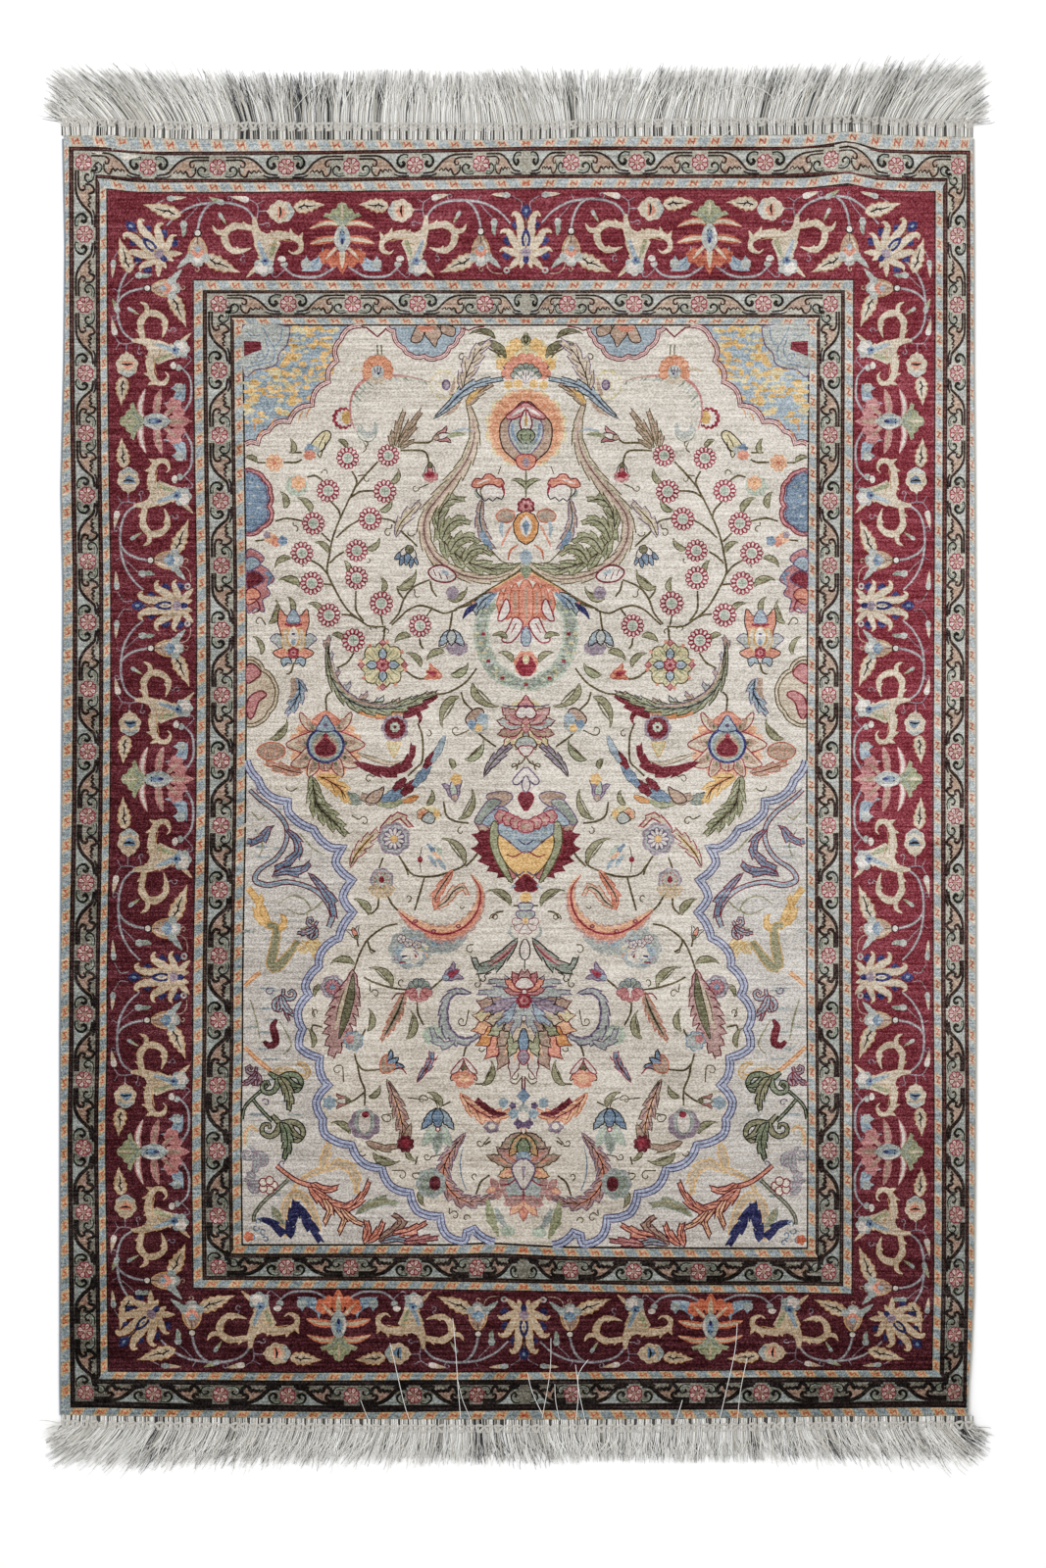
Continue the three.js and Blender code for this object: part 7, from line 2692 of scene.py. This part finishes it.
def finishedTree(tree, geometry, material, end):
    smooth = wired(tree, "GeometryNodeSetShadeSmooth", {"Geometry": geometry}).outputs[0]
    real = wired(tree, "GeometryNodeRealizeInstances", {"Geometry": smooth}).outputs[0]
    finished = wired(tree, "GeometryNodeSetMaterial", {"Geometry": real, "Material": material}).outputs[0]
    tree.links.new(finished, end.inputs[0])
    return tree


def knotTree():
    # a row of knots: each is two crossed bundles under a wrap
    tree, start, end = nodeGroup("knotRow", {
        "Knot Width": 0.0094, "Knot Depth": 0.0100, "Knot Height": 0.0014, "Material": None})
    given = start.outputs
    width, depth, height = given["Knot Width"], given["Knot Depth"], given["Knot Height"]
    parts = []
    for x, y, turn, wide, deep, high in ((-0.26, 0.10, 0.55, 0.17, 0.52, 0.9),
                                         (0.26, 0.10, -0.55, 0.17, 0.52, 0.9),
                                         (0.0, 0.34, 0.0, 0.40, 0.15, 1.1),
                                         (0.0, -0.30, 0.1, 0.52, 0.16, 1.0)):
        ball = wired(tree, "GeometryNodeMeshUVSphere", {"Segments": 9, "Rings": 5, "Radius": 1.0}).outputs[0]
        size = wired(tree, "ShaderNodeCombineXYZ", {
            "X": calc(tree, "MULTIPLY", width, wide), "Y": calc(tree, "MULTIPLY", depth, deep),
            "Z": calc(tree, "MULTIPLY", height, high)}).outputs[0]
        spot = wired(tree, "ShaderNodeCombineXYZ", {
            "X": calc(tree, "MULTIPLY", width, x), "Y": calc(tree, "MULTIPLY", depth, y)}).outputs[0]
        parts.append(wired(tree, "GeometryNodeTransform", {
            "Geometry": ball, "Translation": spot, "Rotation": (0.0, 0.0, turn), "Scale": size}).outputs[0])
    joined = wired(tree, "GeometryNodeJoinGeometry")
    for part in parts:
        tree.links.new(part, joined.inputs[0])
    jitter = wired(tree, "FunctionNodeRandomValue", {"Seed": 5}, data_type="FLOAT_VECTOR")
    jitter.inputs[0].default_value, jitter.inputs[1].default_value = (-0.12, -0.12, -0.25), (0.12, 0.12, 0.25)
    row = wired(tree, "GeometryNodeInstanceOnPoints", {
        "Points": given["Geometry"], "Instance": joined.outputs[0], "Rotation": jitter.outputs[0]}).outputs[0]
    return finishedTree(tree, row, given["Material"], end)


def cordTree():
    # a cord wound with thread, as ribs along it
    tree, start, end = nodeGroup("overcastCord",
                                 {"Radius": 0.001, "Rib": 0.0014, "Depth": 0.16, "Material": None})
    given = start.outputs
    curves = wired(tree, "GeometryNodeMeshToCurve", {"Mesh": given["Geometry"]}).outputs[0]
    step = calc(tree, "DIVIDE", given["Rib"], 3.0)
    fine = wired(tree, "GeometryNodeResampleCurve", {"Curve": curves, "Length": step},
                 mode="LENGTH").outputs[0]
    index = wired(tree, "GeometryNodeInputIndex").outputs[0]
    wind = calc(tree, "SINE", calc(tree, "MULTIPLY", index, math.tau / 3))
    radius = calc(tree, "MULTIPLY", given["Radius"], calc(tree, "MULTIPLY_ADD", wind, given["Depth"], 1.0))
    ring = wired(tree, "GeometryNodeCurvePrimitiveCircle", {"Resolution": 7, "Radius": 1.0}).outputs[0]
    made = wired(tree, "GeometryNodeCurveToMesh",
                 {"Curve": fine, "Profile Curve": ring, "Scale": radius, "Fill Caps": True})
    return finishedTree(tree, made.outputs[0], given["Material"], end)


def grown(name, lines, values, tree, settings):
    # guides as a mesh of bare lines, run through a tree and kept as a plain mesh
    vertices, edges = [], []
    for line in lines:
        first = len(vertices)
        vertices += line
        edges += [(first + i, first + i + 1) for i in range(len(line) - 1)]
    guide = bpy.data.meshes.new(name + "Guide")
    guide.from_pydata(vertices, edges, [])
    for label, numbers in values.items():
        layerOfValues = guide.attributes.new(label, "FLOAT", "POINT")
        layerOfValues.data.foreach_set("value", numbers)
    piece = bpy.data.objects.new(name, guide)
    bpy.context.collection.objects.link(piece)
    modifier = piece.modifiers.new(name, "NODES")
    modifier.node_group = tree
    for item in tree.interface.items_tree:
        if item.in_out == "INPUT" and item.name in settings:
            modifier[item.identifier] = settings[item.name]
    made = bpy.data.meshes.new_from_object(piece.evaluated_get(bpy.context.evaluated_depsgraph_get()))
    piece.modifiers.clear()
    made.name = name
    piece.data = made
    bpy.data.meshes.remove(guide)
    made.materials.clear()
    made.materials.append(settings["Material"])
    print(f"{name}: {sum(len(face.vertices) - 2 for face in made.polygons)} triangles")
    return piece


def lockGuide(end, share, askew):
    # from the cloth's edge through heading and knot to the tip, sweeping more and more sideways
    rootX = fringe["across"] * share - fringe["across"] / 2
    rootY = edgeY(rootX, end["edge"])
    lean = math.tan(math.radians(readTable(fringeLie, rootX * 1000, end["lean"])))
    deep = end["heading"] + end["knots"]
    tip = readTable(fringeLie, rootX * 1000, end["tip"]) / 1000 - abs(rootY) - deep
    straight, points = 1 - fringe["curl"], []
    last = fringe["pointsPerLock"] - 1
    lift = liftAt(rootX, rootY)
    reach = tip
    while (reach > fringe["shortest"]
           and abs(rootX + lean * reach * (straight + fringe["curl"] * reach / tip)) > fringe["widest"]):
        reach -= 0.001
    for i in range(last + 1):
        run = i / last
        out = run * (deep + reach)
        past = max(0.0, out - deep * 0.8)
        sweep = lean * past * (straight + fringe["curl"] * past / max(tip, 0.001))
        x = rootX + sweep + askew * max(0.0, 1 - out / deep)
        high = 0.0006 + 0.0009 * math.exp(-((out - deep * 0.7) / (deep * 0.6)) ** 2) + lift * (1 - run) ** 2
        points.append((x, rootY + end["side"] * (0.0002 + out), high))
    return points


def makeFringe(where, end, trees, materials):
    draw = random.Random(23)
    lines = [lockGuide(end, (k + 0.5) / fringe["locks"], draw.uniform(-fringe["askew"], fringe["askew"]))
             for k in range(fringe["locks"])]
    shares, gapShadow = [], []
    for line in lines:
        root = line[0][0] * 1000
        # how much painted shadow the threads of this lock get
        gapShadowHere = max(strength * (1 - ease(abs(root - x) / half / 1.6))
                       for x, half, strength in shadowGaps[where])
        shares += [i / (len(line) - 1) for i in range(len(line))]
        gapShadow += [gapShadowHere] * len(line)
    title = where.capitalize()
    threads = grown("fringe" + title, lines, {"share": shares, "gapShadow": gapShadow}, trees["threads"], {
        "Threads": end["threads"], "Radius": fringe["threadRadius"],
        "Root Width": fringe["rootWidth"], "Tip Width": fringe["tipWidth"],
        "Stack": fringe["stack"], "Wave": fringe["wave"], "Shorten": fringe["shorten"],
        "Seed": end["seed"], "Material": materials["threads"]})
    spots = []
    for k in range(fringe["locks"]):
        x = fringe["across"] * (k + 0.5) / fringe["locks"] - fringe["across"] / 2
        y = edgeY(x, end["edge"])
        spots.append([(x, y + end["side"] * (end["heading"] + end["knots"] * 0.5), liftAt(x, y) + 0.0024)])
    knots = grown("knots" + title, spots, {}, trees["knots"], {
        "Knot Depth": 0.0105 * end["side"], "Material": materials["knots"]})
    return threads, knots, makeHeading("heading" + title, end, materials["heading"])


def makeHeading(name, end, material):
    # the plain-woven strip between cloth and knots, coloured dark all over as painted shadow that shows
    # between the bundles that lie over it
    vertices, faces = [], []
    columns, start = heading["columns"], heading["start"]
    deep = end["heading"] + end["knots"] * heading["knotShare"]
    for i in range(columns + 1):
        x = heading["across"] * i / columns - heading["across"] / 2
        y = edgeY(x, end["edge"])
        for out, high in ((start, 0.0002), (deep, 0.0002), (deep - 0.001, 0.0005), (start, 0.0007)):
            vertices.append((x, y + end["side"] * out, liftAt(x, y) + high))
    for i in range(columns):
        for k in range(4):
            a, b = i * 4 + k, i * 4 + (k + 1) % 4
            face = (a, b, b + 4, a + 4)
            faces.append(face if end["side"] < 0 else face[::-1])
    caps = [(3, 2, 1, 0), tuple(columns * 4 + k for k in range(4))]
    faces += caps if end["side"] < 0 else [cap[::-1] for cap in caps]
    mesh = bpy.data.meshes.new(name)
    mesh.from_pydata(vertices, [], faces)
    mesh.materials.append(material)
    piece = bpy.data.objects.new(name, mesh)
    bpy.context.collection.objects.link(piece)
    return piece


def makeCords(tree, materials):
    cords = {}
    for name, side, material in (("selvedgeLeft", 1, "cordLeft"), ("selvedgeRight", 2, "cordRight")):
        outward = -1 if side == 1 else 1
        line = []
        for k in range(cord["points"]):
            y = cord["from"] + cord["long"] * k / (cord["points"] - 1)
            x = readTable(sideEdges, y * 1000, side) / 1000 - outward * cord["inward"]
            line.append((x, y, cord["high"] + liftAt(x, y)))
        cords[name] = grown(name, [line], {}, tree,
                            {"Radius": cord["radius"], "Material": materials[material]})
    return cords


def makeLooseThreads(tree, material):
    lines, shares = [], []
    for points in looseThreads:
        knots = smoothLine(points, step=6)
        line = []
        for k, (column, row) in enumerate(knots):
            x, y = onFloor(column, row)
            overCloth = edgeY(x, 1) < y < edgeY(x, 2)
            line.append((x, y, liftAt(x, y) + pulled["overCloth" if overCloth else "overFringe"]))
            shares.append(0.6 - 0.6 * k / (len(knots) - 1))
        lines.append(line)
    # no gap shadow here: -1 lifts the loose threads to the pale end of the painted shade
    return grown("looseThreads", lines, {"share": shares, "gapShadow": [-1.0] * len(shares)}, tree, {
        "Threads": 1, "Radius": pulled["radius"], "Root Width": 0.0, "Tip Width": 0.0,
        "Stack": 0.0, "Wave": 0.0, "Shorten": 0.0, "Seed": 3, "Material": material})


# Finishes

silkLook = {
    "roughness": 0.62,
    "specular": 0.03,
    "knotDepth": 0.35,      # how much one knot is lighter or darker than the next
    "rowDepth": 0.14,       # the same for whole rows
    "rowScale": 420,
    "cloudDepth": 0.46,     # slow changes of tone over the rug
    "cloudScale": 7,
    "smallCloudScale": 46,
    "deepSwing": 1.5,       # how much more than pale yarns the deep dyes vary in tone
    "bumpScale": 60,
    "bumpHeight": 0.00035,
    "bumpStrength": 0.5,
}


def newGroup(name, inputs, outputs):
    group = bpy.data.node_groups.new(name, "ShaderNodeTree")
    for kind, way in ((inputs, "INPUT"), (outputs, "OUTPUT")):
        for label, socketType, value in kind:
            socket = group.interface.new_socket(name=label, in_out=way, socket_type=socketType)
            if value is not None:
                socket.default_value = value
    start = group.nodes.new("NodeGroupInput")
    end = group.nodes.new("NodeGroupOutput")
    return group, start, end


def link(tree, source, target):
    tree.links.new(source, target)


def noise(tree, place, scale, detail, stretch=(1, 1, 1), roughness=0.5):
    stretched = wired(tree, "ShaderNodeMapping", {"Vector": place, "Scale": stretch}).outputs["Vector"]
    return wired(tree, "ShaderNodeTexNoise", {
        "Vector": stretched, "Scale": scale, "Detail": detail, "Roughness": roughness}).outputs[0]


def pileGroup():
    # tone and height of short silk pile: single knots, woven rows and slow clouds of lighter and darker tone
    group, start, end = newGroup("silkPile", (
        ("Position", "NodeSocketVector", None), ("Knot Depth", "NodeSocketFloat", 0.3),
        ("Row Depth", "NodeSocketFloat", 0.05), ("Cloud Depth", "NodeSocketFloat", 0.1)),
        (("Tone", "NodeSocketFloat", None), ("Height", "NodeSocketFloat", None)))
    given = start.outputs
    place = given["Position"]
    knot = vector(group, "FLOOR", vector(group, "SCALE", place, scale=1 / chart["knot"]))
    cell = wired(group, "ShaderNodeTexWhiteNoise", {"Vector": knot}, noise_dimensions="2D").outputs["Value"]
    knots = calc(group, "MULTIPLY", calc(group, "SUBTRACT", cell, 0.5), given["Knot Depth"])
    rows = noise(group, place, silkLook["rowScale"], 2.0, (0.035, 1.0, 1.0))
    rows = calc(group, "MULTIPLY", calc(group, "SUBTRACT", rows, 0.5),
                calc(group, "MULTIPLY", given["Row Depth"], 4.0))
    large = noise(group, place, silkLook["cloudScale"], 3.0, (1.0, 1.6, 1.0), 0.6)
    small = noise(group, place, silkLook["smallCloudScale"], 3.0, (0.35, 1.4, 1.0), 0.6)
    clouds = calc(group, "MULTIPLY", calc(group, "ADD", large, small), 0.5)
    clouds = calc(group, "MULTIPLY", calc(group, "SUBTRACT", clouds, 0.5), given["Cloud Depth"])
    tone = calc(group, "ADD", calc(group, "ADD", knots, rows), calc(group, "ADD", clouds, 1.0))
    link(group, tone, end.inputs["Tone"])
    height = calc(group, "ADD", calc(group, "MULTIPLY", cell, 0.5),
                  noise(group, place, silkLook["bumpScale"], 3.0))
    link(group, height, end.inputs["Height"])
    return group


def silkMaterial(group):
    material = bpy.data.materials.new("silkPileDyed")
    material.use_nodes = True
    tree = material.node_tree
    surface = tree.nodes["Principled BSDF"]
    yarn = wired(tree, "ShaderNodeAttribute", attribute_name="yarnTone").outputs["Color"]
    place = wired(tree, "ShaderNodeTexCoord").outputs["Object"]
    pile = wired(tree, "ShaderNodeGroup", {
        "Knot Depth": silkLook["knotDepth"], "Row Depth": silkLook["rowDepth"],
        "Cloud Depth": silkLook["cloudDepth"], "Position": place}, node_tree=group).outputs
    swing = silkLook["deepSwing"]
    shade = vector(tree, "SCALE", yarn, scale=pile["Tone"])
    contrast = calc(tree, "MULTIPLY_ADD", pile["Tone"], -swing, 1 + swing)
    deepened = wired(tree, "ShaderNodeGamma", {"Color": shade, "Gamma": contrast}).outputs["Color"]
    bump = wired(tree, "ShaderNodeBump", {
        "Distance": silkLook["bumpHeight"], "Strength": silkLook["bumpStrength"], "Height": pile["Height"]})
    link(tree, deepened, surface.inputs["Base Color"])
    link(tree, bump.outputs["Normal"], surface.inputs["Normal"])
    surface.inputs["Roughness"].default_value = silkLook["roughness"]
    surface.inputs["Specular IOR Level"].default_value = silkLook["specular"]
    return material


def threadMaterial():
    # ivory warps, with painted shade: darker and greyer where a thread lies low
    material = plainSilk("warpSilk", "#cfcdc8")
    tree = material.node_tree
    tone = wired(tree, "ShaderNodeAttribute", attribute_name="threadPaintedShade")
    ramp = tree.nodes.new("ShaderNodeValToRGB")
    # the dark low stops are painted shade, the pale high ones the ivory silk
    stops = ((0.0, "#2c2d32"), (0.15, "#45464b"), (0.25, "#9c9a91"), (0.42, "#c8c5bb"), (0.7, "#e9e7e0"),
             (1.0, "#fdfdfb"))
    while len(ramp.color_ramp.elements) < len(stops):
        ramp.color_ramp.elements.new(0.5)
    for element, (place, shade) in zip(ramp.color_ramp.elements, stops):
        element.position = place
        element.color = (*linear(shade), 1.0)
    link(tree, tone.outputs["Fac"], ramp.inputs["Fac"])
    link(tree, ramp.outputs["Color"], tree.nodes["Principled BSDF"].inputs["Base Color"])
    return material


def plainSilk(name, tone, roughness=0.5):
    material = bpy.data.materials.new(name)
    material.use_nodes = True
    surface = material.node_tree.nodes["Principled BSDF"]
    surface.inputs["Base Color"].default_value = (*linear(tone), 1.0)
    surface.inputs["Roughness"].default_value = roughness
    surface.inputs["Specular IOR Level"].default_value = 0.3
    return material


# Floor, light and camera

studio = {
    "cameraHigh": 3.6,
    "seenHigh": 1.680,      # metres of floor from the top of the picture to its foot
    "middle": (0.0063, -0.01995),
    "floorTone": "#ffffff",
    "skyTone": (1.0, 1.0, 1.0),
    "skyStrength": 0.82,
    "floorHalf": 6.0,
    "floorLow": 0.0004,     # how far the floor lies under the rug
    "lampPower": 36.0,
    "lampSize": 2.6,
    "lampPlace": (-0.7, 1.1, 2.7),
}


def makeStage():
    scene = bpy.context.scene
    scene.view_settings.view_transform = "Standard"
    floor = bpy.data.meshes.new("floor")
    half, low = studio["floorHalf"], -studio["floorLow"]
    floor.from_pydata([(-half, -half, low), (half, -half, low), (half, half, low), (-half, half, low)], [],
                      [(0, 1, 2, 3)])
    floorPiece = bpy.data.objects.new("floor", floor)
    bpy.context.collection.objects.link(floorPiece)
    floor.materials.append(plainSilk("paleFloor", studio["floorTone"], 0.8))
    world = bpy.data.worlds.new("softStudio")
    world.use_nodes = True
    sky = world.node_tree.nodes["Background"]
    sky.inputs["Color"].default_value = (*studio["skyTone"], 1.0)
    sky.inputs["Strength"].default_value = studio["skyStrength"]
    scene.world = world
    lamp = bpy.data.lights.new("softLamp", "AREA")
    lamp.energy = studio["lampPower"]
    lamp.size = studio["lampSize"]
    lampPiece = bpy.data.objects.new("softLamp", lamp)
    lampPiece.location = studio["lampPlace"]
    lampPiece.rotation_euler = (-Vector(studio["lampPlace"])).to_track_quat("-Z", "Y").to_euler()
    bpy.context.collection.objects.link(lampPiece)
    camera = bpy.data.cameras.new("camera")
    camera.sensor_fit = "VERTICAL"
    camera.sensor_height = 36.0
    camera.lens = camera.sensor_height * studio["cameraHigh"] / studio["seenHigh"]
    cameraPiece = bpy.data.objects.new("camera", camera)
    cameraPiece.location = (*studio["middle"], studio["cameraHigh"])
    bpy.context.collection.objects.link(cameraPiece)
    scene.camera = cameraPiece


makeStage()
print("stage made")
pile = makeCloth()
print("cloth made")
silk = silkMaterial(pileGroup())
for piece in pile.values():
    piece.data.materials.append(silk)
materials = {
    "threads": threadMaterial(),
    "knots": plainSilk("knotSilk", "#b8b5ae"),
    # the heading's dark colour is painted shadow under the fringe bundles
    "heading": plainSilk("headingPaintedShadow", "#4e4b47", 0.7),
    "cordLeft": plainSilk("overcastSilkLeft", "#8d97a3"),
    "cordRight": plainSilk("overcastSilkRight", "#b9b8b2"),
}
trees = {"threads": threadTree(), "knots": knotTree()}
edging = {}
for where, end in fringeEnds.items():
    for piece in makeFringe(where, end, trees, materials):
        edging[piece.name] = ("fringe_" + where, "warp_silk", piece)
edging["looseThreads"] = ("fringe_bottom", "warp_silk",
                          makeLooseThreads(trees["threads"], materials["threads"]))
for name, piece in makeCords(cordTree(), materials).items():
    edging[name] = (name.replace("selvedge", "selvedge_").lower(), "silk_overcast", piece)
print("edges made")
for piece in pile.values():
    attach(piece, "root")
    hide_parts("rug")
for node, finish, piece in edging.values():
    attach(piece, "root")
    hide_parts(node)
